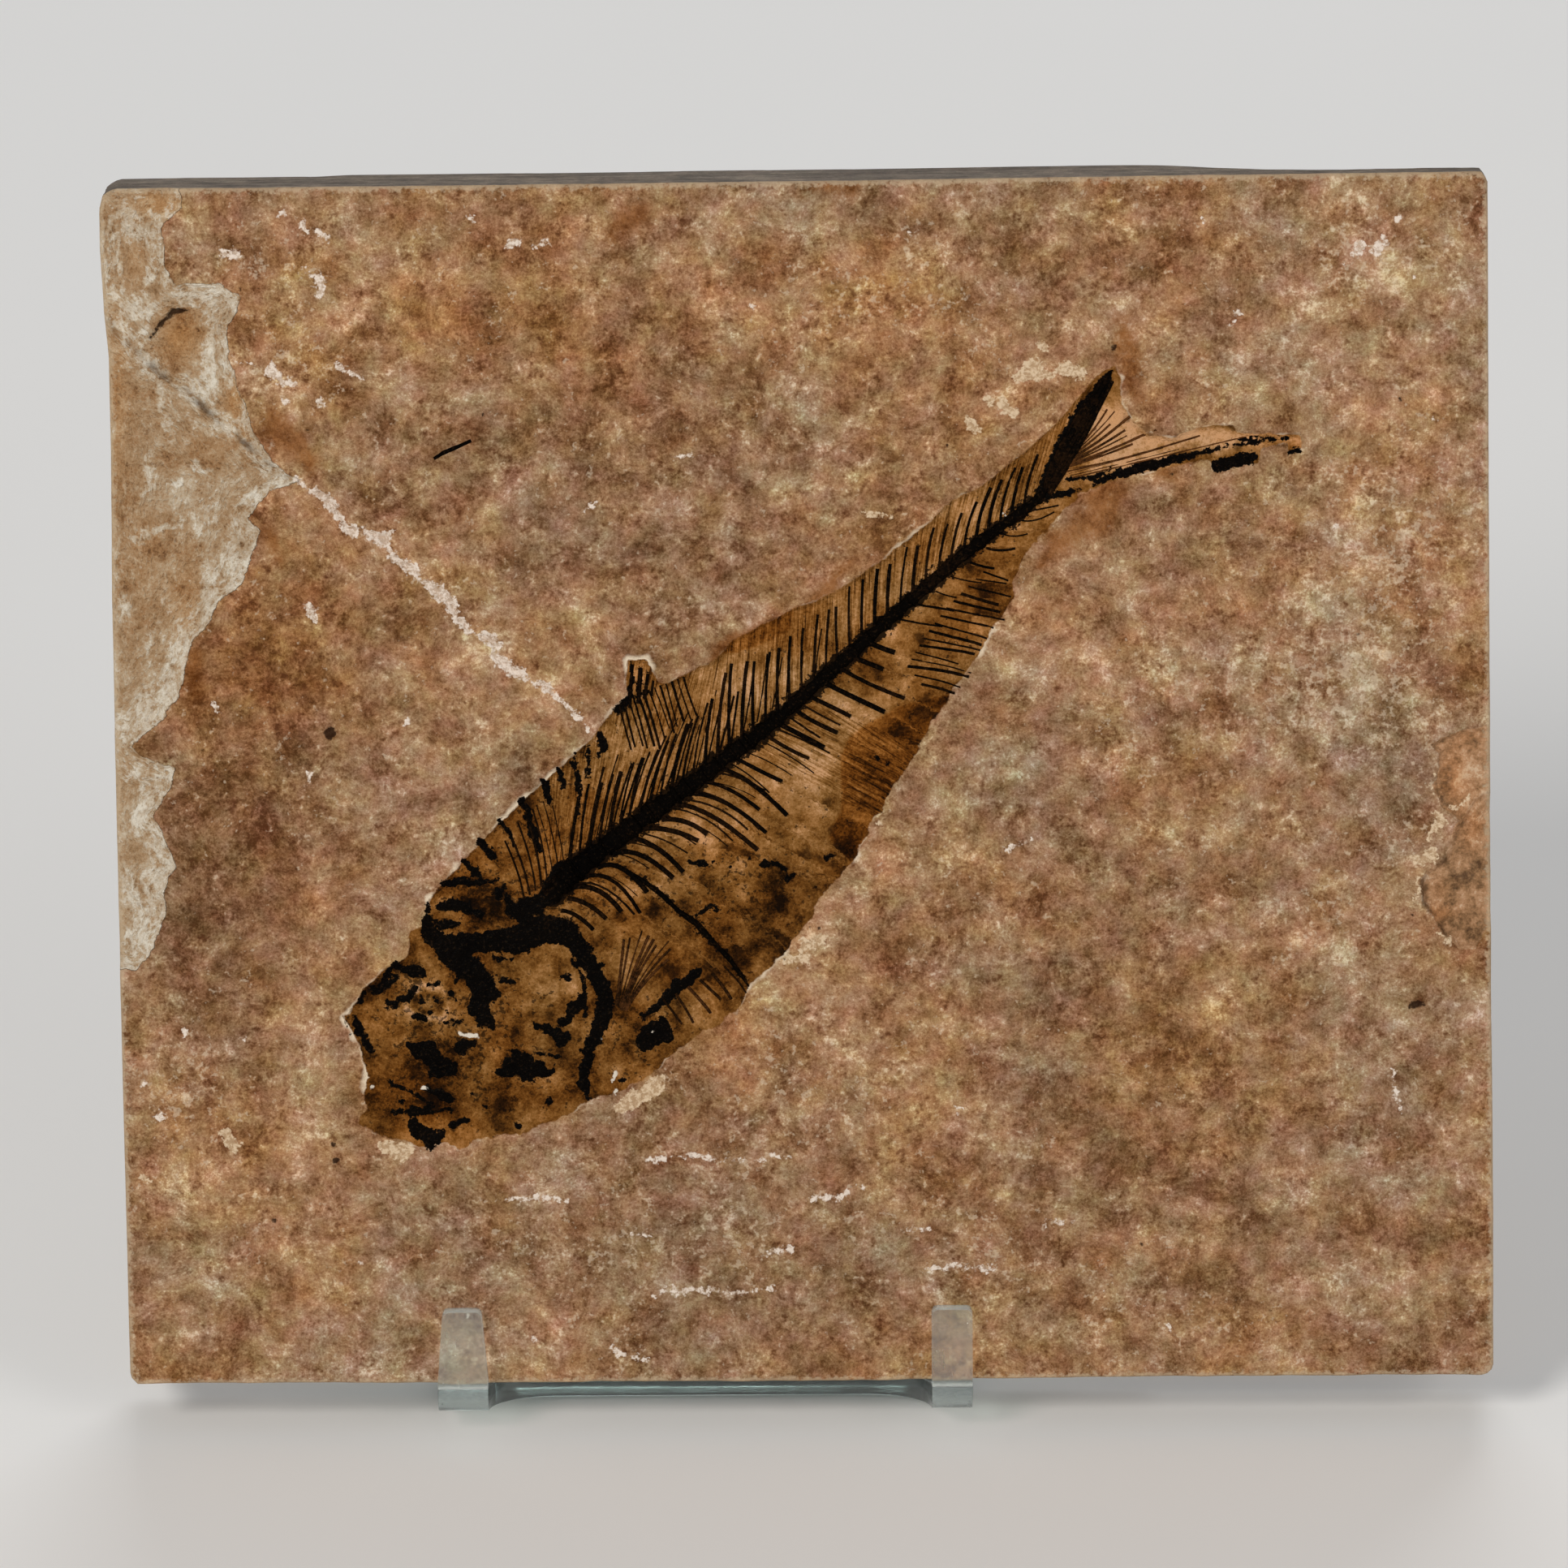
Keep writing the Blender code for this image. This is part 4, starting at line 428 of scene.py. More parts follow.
STONE_TONES = [
    (-47.0, 45.0, 8.0, 16.0, -0.7), (-46.0, 68.0, 5.0, 8.0, -0.5), (-20.0, 88.0, 9.0, 9.0, -0.3),
    (-5.0, 82.0, 10.0, 6.0, -0.3), (8.0, 92.0, 8.0, 5.0, 0.3), (46.0, 62.0, 8.0, 12.0, 1.1),
    (36.0, 52.0, 9.0, 7.0, 0.4), (20.0, 60.0, 5.0, 6.0, 0.3), (5.0, 30.0, 9.0, 6.0, 0.25),
    (-50.0, 22.0, 6.0, 8.0, 0.35), (-12.0, 14.0, 16.0, 5.0, 0.25), (26.0, 26.0, 7.0, 7.0, -0.45),
    (46.0, 14.0, 8.0, 6.0, -0.3), (-36.0, 8.0, 8.0, 5.0, 0.1), (15.0, 6.0, 12.0, 4.0, -0.1),
    (33.0, 90.0, 7.0, 6.0, -0.1), (47.0, 90.0, 10.0, 9.0, 1.4), (-32.0, 66.0, 4.0, 4.0, -0.3),
    (-46.0, 50.0, 8.0, 20.0, -0.9), (-16.0, 88.0, 20.0, 12.0, -0.3), (-35.0, 92.0, 6.0, 5.0, 0.1),
    (-30.0, 50.0, 6.0, 6.0, 0.1), (52.0, 44.0, 3.0, 4.0, 0.2), (-24.0, 72.0, 6.0, 6.0, -0.1),
    (38.0, 35.0, 8.0, 6.0, 0.15), (12.0, 45.0, 6.0, 6.0, 0.15),
]
STONE_HUES = [
    (-47.0, 55.0, 8.0, 20.0, 0.8), (-15.0, 86.0, 16.0, 10.0, 0.8), (30.0, 22.0, 12.0, 10.0, 0.4),
    (46.0, 55.0, 8.0, 14.0, -0.7), (8.0, 92.0, 8.0, 5.0, 0.4), (-10.0, 10.0, 20.0, 8.0, -0.6),
    (5.0, 35.0, 10.0, 8.0, -0.3), (40.0, 92.0, 12.0, 6.0, 0.3), (-44.0, 8.0, 8.0, 8.0, -0.5),
]
FLECK_TONES = [
    (-42.0, 90.0, 6.0, 8.0, 0.4), (48.0, 94.0, 6.0, 5.0, 0.5), (48.0, 62.0, 7.0, 13.0, 0.7),
    (34.0, 56.0, 7.0, 5.0, 0.4), (-51.0, 25.0, 5.0, 6.0, 0.5), (-10.0, 13.0, 18.0, 5.0, 0.5),
    (18.0, 10.0, 10.0, 5.0, 0.35), (-16.0, 3.0, 6.0, 3.0, 0.4), (45.0, 38.0, 6.0, 5.0, 0.3),
    (8.0, 92.0, 8.0, 4.0, 0.3), (-36.0, 8.0, 6.0, 5.0, 0.25), (0.0, 24.0, 8.0, 5.0, 0.2),
]
CRUMB_TONES = [
    (-29.0, 28.0, 8.0, 7.0, 0.8), (-25.0, 40.5, 5.0, 2.5, 0.9), (-17.0, 41.0, 4.0, 4.0, 0.5),
    (-13.0, 29.0, 4.0, 3.0, 0.8), (-4.0, 41.0, 7.0, 4.0, 0.5), (-33.0, 34.0, 3.0, 2.0, 0.6),
    (-8.0, 47.0, 9.0, 9.0, 0.25), (8.0, 58.0, 9.0, 9.0, 0.2), (-22.0, 47.0, 5.0, 4.0, 0.4),
]
ROCK_TONES = [
    (-50.4, 88.0, 1.5, 1.8, -0.3), (-46.2, 82.6, 0.7, 1.4, -0.35), (-52.0, 99.0, 1.8, 1.4, -0.25),
    (-49.0, 81.6, 1.0, 0.6, -0.4), (-54.7, 94.4, 1.1, 1.8, -0.2), (-52.8, 91.9, 0.7, 0.4, -0.9),
    (-56.0, 82.0, 1.2, 8.0, -0.15), (-53.0, 73.2, 1.2, 0.8, -0.3), (-54.0, 62.0, 2.0, 4.0, -0.1),
    (-54.6, 44.6, 1.0, 1.6, -0.3), (-55.0, 53.0, 1.4, 0.8, -0.25), (-54.9, 96.4, 0.7, 0.7, 0.5),
]
CHIP_TONES = [
    (55.2, 41.8, 1.0, 1.0, -0.35), (56.5, 43.0, 0.9, 0.6, -0.35), (53.4, 41.6, 0.9, 1.2, 0.05),
    (53.8, 38.4, 0.9, 0.7, -0.12), (56.0, 37.3, 1.0, 0.6, -0.4), (55.8, 39.9, 0.7, 0.7, 0.35),
    (56.4, 45.6, 1.0, 1.8, 0.2), (55.4, 44.2, 0.6, 1.0, -0.1), (53.6, 49.4, 0.9, 1.4, -0.3),
    (55.6, 51.0, 1.4, 2.0, 0.1), (54.6, 47.8, 1.0, 0.8, -0.05),
]
# Where the painted shadow along the foot of the broken left side is stronger
CREASE_SHADE_TONES = [(-48.6, 81.8, 2.0, 1.4, 0.8)]

# The split back, as (outline, how far it steps in, width of the slope)
BACK_STEPS = [
    ([(22.0, 110.0), (26.0, 100.5), (33.0, 96.0), (41.0, 92.5), (48.0, 90.0), (70.0, 86.0), (70.0, 110.0)],
     5.4, 10.0),
    ([(-62.0, 60.0), (-50.0, 62.0), (-43.0, 71.0), (-40.0, 84.0), (-36.0, 104.0), (-62.0, 104.0)], 0.8, 3.0),
    ([(28.0, -4.0), (31.0, 10.0), (38.0, 22.0), (50.0, 30.0), (62.0, 32.0), (62.0, -4.0)], 0.7, 2.5),
]

# Rows of bones: name, bones, root radius in mm, share of it at the tip, how fast the taper goes, unevenness
# of length and of radius, sway in mm, wear, and seed
BONE_ROWS = (
    ("neural_spines", NEURAL_SPINES, 0.3, 0.2, 0.5, 0.15, 0.3, 0.25, 0.0, 5),
    ("nape_spines", NAPE_SPINES, 0.15, 0.3, 0.7, 0.2, 0.4, 0.3, 0.8, 11),
    ("fine_spines", BETWEEN_SPINES, 0.13, 0.35, 0.6, 0.3, 0.5, 0.4, 0.0, 17),
    ("ribs", RIBS, 0.28, 0.2, 1.5, 0.08, 0.18, 0.14, 0.0, 29),
    ("fine_ribs", BETWEEN_RIBS, 0.12, 0.3, 0.7, 0.35, 0.5, 0.35, 0.6, 37),
    ("haemal_spines", HAEMAL_SPINES, 0.18, 0.22, 0.6, 0.2, 0.35, 0.2, 0.0, 41),
    ("anal_fin_supports", ANAL_FIN_SUPPORTS, 0.17, 0.4, 0.8, 0.25, 0.45, 0.25, 0.0, 53),
    ("dorsal_fin_supports", DORSAL_FIN_SUPPORTS, 0.15, 0.35, 0.8, 0.18, 0.35, 0.15, 0.0, 61),
    ("dorsal_fin_rays", DORSAL_FIN_RAYS, 0.21, 0.5, 1.0, 0.15, 0.3, 0.12, 0.4, 73),
    ("upper_tail_rays", UPPER_TAIL_RAYS, 0.24, 0.3, 1.4, 0.2, 0.4, 0.35, 0.0, 79),
    ("tail_rays", TAIL_RAYS, 0.11, 0.5, 1.0, 0.4, 0.6, 0.4, 3.5, 83),
    ("pectoral_fin_rays", PECTORAL_FIN_RAYS, 0.16, 0.35, 0.8, 0.14, 0.45, 0.35, 2.4, 97),
    ("belly_spines", BELLY_SPINES, 0.18, 0.3, 0.8, 0.25, 0.4, 0.35, 1.8, 103),
)
ROW_INPUTS = (
    "Root Radius", "Tip Share", "Taper Power", "Uneven Length", "Uneven Radius", "Sway", "Wear", "Seed")
BACKBONE_SWELL = 1.15
BACKBONE_STAIN = 0.12

# Strands: name, strokes, share sunk in the stone, unevenness of radius, size of its lumps in mm, joints, how
# deep their waists are, points along the strand and sides round it
STRANDS = (
    ("backbone", [[(u, v, radius * BACKBONE_SWELL) for u, v, radius in BACKBONE]],
     0.5, 0.32, 0.7, float(VERTEBRAE), 0.2, VERTEBRAE * 10 + 1, 20),
    ("long_rib", LONG_RIB, 0.35, 0.25, 1.2, 0.0, 0.0, 40, 10),
    ("plant_fragment", PLANT_FRAGMENT, 0.6, 0.2, 0.6, 0.0, 0.0, 24, 8),
)
STRAND_INPUTS = ("Sunk Share", "Uneven Radius", "Lump Size", "Joints", "Waist", "Points", "Sides")
INPUTS_IN_MM = ("Root Radius", "Sway", "Lump Size")
STEPS_ALONG_BONE = 8
REACH_BACK = 0.12
ROW_SUNK_SHARE = 0.3
RAY_START = 5.0
RAY_LENGTH = 20.0

# Mesh spacing in mm, and how far strokes are felt
COARSE = 0.86
FINE_PER_COARSE = 4
FINE_MARGIN = 0.35
MEDIUM_MARGIN = 1.4
GRID_JITTER = 0.16
BORDER_SPACING = 0.5
BORDER_INSETS = (0.1, 0.22, 0.42)
BACK_SPACING = 1.7
BACK_JITTER = 0.3
BACK_INSET = 0.35
SAWN_RINGS = 11
SAW_PITCH = 7.0
MERGE_DISTANCE = 0.02
REACH = 1.6
LATTICE = 256

# The easel's sheet
SHEET = 2.0
LOWER_BEND_RADIUS = 0.6
FOLD_RADIUS = 2.0
FOLD_TOP = 70.0
LEG_REACH = 52.0
LIP_TOP = 6.1
STRIP_SIDES = (-30.3, 14.35)
LIP_INNER_SIDES = (-26.1, 10.95)
LEFT_LIP_TOP = (-29.9, -26.6)
LIP_CORNER = 0.5
NOTCH_W = -5.1
NOTCH_RADIUS = 5.5
LINE_OVERHANG = 0.5
BEND_STEPS = 10
FOLD_STEPS = 20
POLISHED_EDGE = 0.22
FLAT_ANGLE = math.radians(0.5)
CUT_EDGE_ANGLE = math.radians(50)
SHADED_SHARP_ANGLE = math.radians(32)

# Camera: the photograph's viewing angle, from 10 degrees above the face's own direction
AIM = (-1.1, 50.3, 0.0)
CAMERA_DISTANCE = 900.0
CAMERA_RISE = math.radians(10.0)
CAMERA_ROLL = math.radians(0.35)
PIXELS_PER_MM = 14.87
PHOTO_SIDE = 1932
SENSOR = 36.0
CAMERA_CLIP = (0.05, 20.0)

# Soft round lamps, all turned to the slab: name, place and size in metres, watts and colour
LAMPS = (
    ("key_lamp", (-0.62, -0.75, 0.72), 0.42, 7.6, (1.0, 0.97, 0.93)),
    ("fill_lamp", (0.75, -0.6, 0.42), 0.6, 3.2, (1.0, 0.98, 0.95)),
    ("back_lamp", (0.1, 0.75, 0.7), 0.6, 3.0, (0.96, 0.98, 1.0)),
)
LAMP_TARGET = (0.0, 45.0, 0.0)
ROOM_LIGHT = (0.95, 0.96, 1.0, 1.0)
ROOM_STRENGTH = 0.24
FLOOR_SIZE = 6.0

# Node trees: the types of sockets, and how far apart the places of two noises lie
FLOAT, INT, VECTOR = "NodeSocketFloat", "NodeSocketInt", "NodeSocketVector"
NOISE_SHIFT = (31.7, 17.3, 53.1)


def find_face_origin():
    """The face's own origin in the world, in mm, from the box of the CAD slab."""
    low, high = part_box("fossil_slab")
    sides = [u for u, _ in SLAB_OUTLINE]
    x = (low.x + high.x) / 2 / MM - (min(sides) + max(sides)) / 2
    y = low.y / MM - (BOTTOM_V + EDGE_ROUND) * math.sin(LEAN)
    z = low.z / MM - BOTTOM_V * math.cos(LEAN) + (THICKNESS - EDGE_ROUND) * math.sin(LEAN)
    return np.array((x, y, z))


FACE_ORIGIN = find_face_origin()


def to_world(points, w):
    """World places in metres of points (u, v) at height w over the face, all in mm."""
    heights = np.broadcast_to(w, len(points))[:, None]
    return (FACE_ORIGIN + points[:, 0:1] * RIGHT + points[:, 1:2] * UP + heights * OUT) * MM


def one_to_world(u, v, w):
    return Vector(to_world(np.array([(u, v)]), w)[0])


def put(name, data):
    """A new object of the scene, at the origin."""
    thing = bpy.data.objects.new(name, data)
    bpy.context.scene.collection.objects.link(thing)
    return thing


def smooth(value):
    """An even S-shaped rise from 0 to 1."""
    t = np.clip(value, 0.0, 1.0)
    return t * t * (3 - 2 * t)


def bell(value, middle, width):
    """1 at the middle, falling smoothly to 0 on both sides of it."""
    return np.exp(-((value - middle) / width) ** 2)


def stairs(value, steps):
    """A rise from 0 to 1 in thin steps."""
    t = np.clip(value, 0, 1) * steps
    return (np.floor(t) + smooth((t - np.floor(t)) * 2.2)) / (steps + 1)


def arris_drop(edge, radius):
    """How far a rounded arris has dropped, at a distance in from the edge."""
    t = np.clip(edge / radius, 0, 1)
    return radius * (1 - np.sqrt(1 - (1 - t) ** 2))


def value_noise(points, size, seed):
    """Smooth unevenness between -1 and 1 over the face, with lumps of about the given size in mm."""
    lattice = np.random.default_rng(seed).uniform(-1, 1, (LATTICE, LATTICE))
    place = points / size + LATTICE / 2
    cell = np.floor(place).astype(int)
    t = place - cell
    t = t * t * t * (t * (t * 6 - 15) + 10)
    (x0, y0), (x1, y1) = (cell % LATTICE).T, ((cell + 1) % LATTICE).T
    low = lattice[x0, y0] * (1 - t[:, 0]) + lattice[x1, y0] * t[:, 0]
    high = lattice[x0, y1] * (1 - t[:, 0]) + lattice[x1, y1] * t[:, 0]
    return low * (1 - t[:, 1]) + high * t[:, 1]


def fractal(points, size, seed, octaves=3):
    """Noise with smaller and smaller lumps added."""
    total = np.zeros(len(points))
    for k in range(octaves):
        total += value_noise(points, size / 2 ** k, seed + k) / 2 ** k
    return total / 1.6


def ragged(points, amount, size, seed):
    """The same points shifted a little, so that an outline read with them comes out ragged."""
    return points + amount * np.stack([fractal(points, size, seed), fractal(points, size, seed + 50)], 1)


def depth_inside(outline, points):
    """How far each point lies inside a closed outline, negative outside it."""
    a = np.array(outline, float)
    ab = np.roll(a, -1, axis=0) - a
    distance = np.full(len(points), 1e9)
    crossings = np.zeros(len(points), int)
    for start, side in zip(a, ab):
        ap = points - start
        along = np.clip(ap @ side / (side @ side), 0, 1)
        distance = np.minimum(distance, np.hypot(ap[:, 0] - along * side[0], ap[:, 1] - along * side[1]))
        rise = side[1] if side[1] else 1.0
        spans = (start[1] > points[:, 1]) != (start[1] + side[1] > points[:, 1])
        crossings += spans & (points[:, 0] < start[0] + ap[:, 1] * side[0] / rise)
    return np.where(crossings % 2 == 1, distance, -distance)


def depth_in_strokes(strokes, points):
    """How far each point lies inside the nearest brush stroke, negative outside, and no less than -REACH."""
    depth = np.full(len(points), -REACH)
    for stroke in strokes:
        for first, last in zip(stroke, stroke[1:] or stroke):
            a, b = np.array(first), np.array(last)
            low = np.minimum(a, b)[:2] - REACH - max(a[2], b[2])
            high = np.maximum(a, b)[:2] + REACH + max(a[2], b[2])
            near = np.nonzero(((points > low) & (points < high)).all(1))[0]
            ab = (b - a)[:2]
            t = np.clip((points[near] - a[:2]) @ ab / max(ab @ ab, 1e-9), 0, 1)
            distance = np.linalg.norm(points[near] - a[:2] - t[:, None] * ab, axis=1)
            depth[near] = np.maximum(depth[near], a[2] * (1 - t) + b[2] * t - distance)
    return depth


def soft_spots(spots, points):
    """The sum of soft round changes of tone."""
    total = np.zeros(len(points))
    for u, v, across, up, amount in spots:
        total += amount * np.exp(-((points[:, 0] - u) / across) ** 2 - ((points[:, 1] - v) / up) ** 2)
    return total


def share_of_oval(oval, points):
    """0 in the middle of an oval and 1 on its rim."""
    (u, v), (across, up) = oval
    return np.hypot((points[:, 0] - u) / across, (points[:, 1] - v) / up)


def dome(oval, points):
    """1 in the middle of an oval and 0 on its rim and outside it."""
    return np.clip(1 - share_of_oval(oval, points) ** 2, 0, 1)


def row_of_bones(stations):
    """Root, middle and tip of each bone, evenly between the numbered stations if the row has them."""
    if len(stations[0]) == 3:
        return stations
    numbers = [s[0] for s in stations]
    return [[tuple(np.interp(n, numbers, [s[k][axis] for s in stations]) for axis in (0, 1))
             for k in (1, 2, 3)] for n in range(numbers[-1] + 1)]


def run_of_streaks(points, rows):
    """How far along the backbone the bone through each point starts, in mm. Bones are taken as straight."""
    roots = np.array([bone[0] for bone in rows])
    way = np.array([bone[2] for bone in rows]) - roots
    normal = np.stack([way[:, 1], -way[:, 0]], 1) / np.linalg.norm(way, axis=1)[:, None]
    side = ((points[:, None, :] - roots[None]) * normal[None]).sum(2)
    passed = np.concatenate([[0], np.cumsum(np.linalg.norm(np.diff(roots, axis=0), axis=1))])
    last = np.clip((side > 0).sum(1) - 1, 0, len(roots) - 2)
    each = np.arange(len(points))
    before, after = side[each, last], side[each, last + 1]
    share = before / np.where(np.abs(before - after) < 1e-6, 1e-6, before - after)
    return passed[last] + np.clip(share, -3, 4) * (passed[last + 1] - passed[last])


class Face:
    """What the worked face has at each of some points: which zone each lies in, and how deep."""

    def __init__(self, points):
        def in_strokes(strokes, *raggedness):
            return depth_in_strokes(strokes, ragged(points, *raggedness))

        torn = ragged(points, 0.3, 1.6, 11)
        line = np.array(BACKBONE)
        over = points[:, 1] - np.interp(points[:, 0], line[:, 0], line[:, 1])
        self.points = points
        self.above = smooth(over / 2.0 + 0.5)
        worked = ragged(points, (0.34 - 0.22 * self.above)[:, None], 1.0, 23)
        self.flaked = depth_inside(FLAKED_OUTLINE, torn)
        self.lower_layer = depth_inside(LOWER_LAYER_OUTLINE, torn)
        self.spall = depth_inside(RIGHT_SPALL_OUTLINE, torn)
        self.chip = depth_inside(RIGHT_CHIP_OUTLINE, ragged(points, 0.2, 1.2, 13))
        self.pale = in_strokes(PALE_STROKES, 0.7, 1.3, 17)
        self.crack = in_strokes(CRACK, 0.2, 0.8, 31)
        self.chips = in_strokes(CHIP_STROKES, 0.18, 0.7, 37)
        self.white = in_strokes(WHITE_STROKES + [[dot] for dot in WHITE_DOTS], 0.4, 0.8, 41)
        self.cream = in_strokes(CREAM_STROKES + CREST_STROKES, 0.5, 1.0, 43)
        self.spots = in_strokes([[dot] for dot in DARK_DOTS] + OVAL_PIT, 0.08, 0.5, 47)
        self.undercut = in_strokes(UNDERCUT, 0.15, 0.8, 49)
        self.fish = depth_inside(FISH_OUTLINE, worked)
        torn_bone = in_strokes(SKULL_STROKES + NAPE_STROKES + BODY_SPOTS, 0.36, 0.8, 53)
        self.bone = np.maximum(torn_bone, in_strokes(TAIL_STROKES + DORSAL_FIN_STROKES, 0.12, 0.9, 54))
        stained = [[(u, v, radius + BACKBONE_STAIN) for u, v, radius in BACKBONE]]
        self.stain = in_strokes(stained + LONG_RIB, 0.12, 0.6, 57)
        self.orange = in_strokes(ORANGE_STROKES, 0.8, 2.0, 59)
        self.edge = depth_inside(SLAB_OUTLINE, points)

    def detail(self):
        """How far inside any finely worked zone each point lies."""
        return np.max((self.flaked, self.spall, self.chip, self.fish, self.crack, self.chips, self.white,
                       self.cream, self.spots), axis=0)

    def height(self):
        """w of the face in mm."""
        p = self.points
        height = 0.07 * value_noise(p, 19.0, 3) + 0.07 * fractal(p, 5.0, 5)
        height += self.flaked_relief()
        height -= 0.34 * smooth(self.spall / 0.4) * (1 + 0.5 * fractal(p, 1.6, 7))
        chip_depth = 0.5 * smooth(self.chip / 0.4) + 0.35 * smooth(self.chip / 2.2)
        height -= chip_depth * (1 + 0.4 * fractal(p, 1.7, 8))
        height -= 0.16 * smooth(self.crack / 0.12 + 1) + 0.22 * smooth(self.chips / 0.15 + 0.4)
        height += 0.05 * smooth(self.white / 0.2 + 0.5) - 0.08 * smooth(self.cream / 0.3)
        height -= 0.12 * smooth(self.spots / 0.2 + 0.3) + 0.35 * smooth(self.undercut / 0.15 + 0.8)
        height += self.fish_relief()
        return height - arris_drop(self.edge, EDGE_ROUND * np.clip(1 + 0.7 * fractal(p, 2.4, 9), 0.35, 1.8))

    def torn_layers(self):
        """Distance in from the torn edges of the broken left side, uneven, in mm."""
        p = self.points
        from_edges = np.minimum(self.flaked, np.abs(self.lower_layer) + 0.35)
        return from_edges + 0.4 * fractal(p, 1.7, 61) + 0.12 * fractal(p, 0.6, 64)

    def torn_width(self):
        """How wide the band of torn thin layers is, in mm: wider below the crack than above it."""
        p = self.points
        return np.where(p[:, 1] < 75.5, 2.7, 1.7) * (1 + 0.45 * fractal(p, 4.0, 84))

    def spall_ring(self, width):
        """1 along the ring round the oval spall."""
        return bell(share_of_oval(OVAL_SPALL, ragged(self.points, 0.35, 1.5, 67)), 1.15, width)

    def flaked_relief(self):
        """The broken left side: a band of torn thin layers, a deeper layer below it, and hollows."""
        p = self.points
        inside = smooth(self.flaked / 0.2)
        depth = inside * (0.12 + 0.4 * stairs(self.torn_layers() / self.torn_width(), 6))
        depth += 0.4 * stairs((self.lower_layer + 0.15 * fractal(p, 1.0, 66)) / 0.9, 3)
        depth += 0.5 * dome(OVAL_SPALL, p) * inside
        depth -= 0.14 * self.spall_ring(0.18) * inside
        depth += 0.35 * dome(HOLLOW, p)
        depth += inside * (0.16 * fractal(p, 4.5, 63) + 0.06 * fractal(p, 1.2, 65))
        depth += 0.45 * inside * smooth((-53.6 - p[:, 0]) / 3.5)
        return -depth + 0.1 * inside * smooth(self.pale / 0.4 + 0.3)

    def fish_relief(self):
        """The fish's bed with its film, skull plates and the low ribbing of its flanks."""
        p = self.points
        bed = smooth(self.fish / (BED_WALLS[1] + (BED_WALLS[0] - BED_WALLS[1]) * self.above))
        depth = BED_DEPTH * bed - BELLY_RISE * smooth(self.fish / BELLY_RISE_WIDTH)
        relief = 0.09 * smooth(self.bone / 0.3 + 0.4) * (1 + 1.2 * fractal(p, 0.7, 71))
        relief += 0.28 * dome(GILL_PLATE, p)
        ring = share_of_oval(EYE, ragged(p, 0.2, 1.0, 75))
        relief += 0.14 * bell(ring, 0.9, 0.22) - 0.08 * bell(ring, 0.45, 0.2)
        relief += 0.06 * fractal(p, 1.5, 73) + 0.03 * value_noise(p, 0.5, 74)
        relief += 0.03 * np.sin(self.streaks() * 2 * math.pi / RIBBING) * (0.7 + 0.3 * self.above)
        return -depth + relief * bed

    def streaks(self):
        """How far along the backbone the bone through each point starts, in mm."""
        above_run = run_of_streaks(self.points, row_of_bones(NEURAL_SPINES))
        below_run = run_of_streaks(self.points, RIBS + row_of_bones(HAEMAL_SPINES))
        return np.where(self.above > 0.5, above_run, below_run)

    def dark_patches(self, points):
        """Where the film is dark and rusty: behind the belly and along the back, from 0 to 1."""
        patches = [depth_inside(outline, points) for outline in (DARK_BELLY_OUTLINE, DARK_BACK_OUTLINE)]
        return smooth(np.maximum(*patches) / 0.14 + 0.5)

    def film_tone(self):
        """How pale the brown film over the fish is, from 0 to 1."""
        p = self.points
        tone = 0.48 + 0.04 * self.above + soft_spots(FILM_TONES, p)
        tone -= 0.14 * self.dark_patches(ragged(p, 0.16, 1.0, 81))
        tone -= 0.06 * np.exp(-np.clip(self.fish, 0, 9) / 0.3)
        ring = share_of_oval(EYE, ragged(p, 0.3, 0.9, 75))
        tone += 0.4 * bell(ring, 0.9, 0.2) - 0.2 * bell(ring, 0.5, 0.16)
        return np.clip(tone + 0.12 * fractal(p, 2.4, 82) + 0.1 * fractal(p, 0.9, 86), 0, 1)

    def film_orange(self):
        """How rusty the film over the fish is, from 0 to 1."""
        p = self.points
        rust = 0.35 + 0.5 * fractal(p, 3.5, 83) + 0.9 * self.dark_patches(p)
        return np.clip(rust + soft_spots(RUST_TONES, p), 0, 1)

    def rock_tone(self):
        """How pale the broken rock of the left side and of the right chips is, from 0 to 1."""
        p = self.points
        band = smooth(1.35 - 1.15 * self.torn_layers() / self.torn_width())
        strokes = smooth((self.pale + 0.35 * fractal(p, 0.9, 87)) / 0.35 + 0.5)
        streaky = 0.5 + 0.5 * fractal(p * np.array((2.0, 0.8)), 1.6, 85)
        floor = 0.22 + 0.6 * streaky ** 2 * smooth(fractal(p, 3.0, 91) + 0.6)
        tone = np.max((band * (0.4 + 0.6 * streaky), strokes * (0.45 + 0.55 * streaky),
                       0.75 * self.spall_ring(0.22), floor), axis=0)
        tone += soft_spots(ROCK_TONES, p)
        return np.clip(np.where(self.flaked > -0.5, tone, 0.9 * strokes), 0, 1)

    def rim(self):
        """Where the scarp round the fish is pale: freshly broken stone, with a painted highlight that is
        stronger on the wall along the back, from 0 to 1.
        """
        p = self.points
        # Stronger above the backbone, as a painted highlight on the wall along the back
        amount = 0.4 * self.above - 0.3 + 1.5 * fractal(p, 1.7, 88) + soft_spots(RIM_AND_HIGHLIGHT_TONES, p)
        return np.clip(amount, 0, 1)

    def painted_crease_shade(self):
        """Where a line of painted shadow and dirt lies along the foot of a broken edge, from 0 to 1."""
        p = self.points
        diagonal = 0.8 * bell(self.lower_layer, 0.1, 0.3) * smooth((p[:, 1] - 75.5) / 1.5)
        chip = 1.1 * bell(self.chip, 0.05, 0.16)
        spall = 0.4 * bell(self.spall, 0.05, 0.1)
        broken = 0.55 + 1.5 * fractal(p, 1.8, 90) + soft_spots(CREASE_SHADE_TONES, p)
        return np.clip(np.max((diagonal, chip, spall), axis=0) * broken, 0, 1)

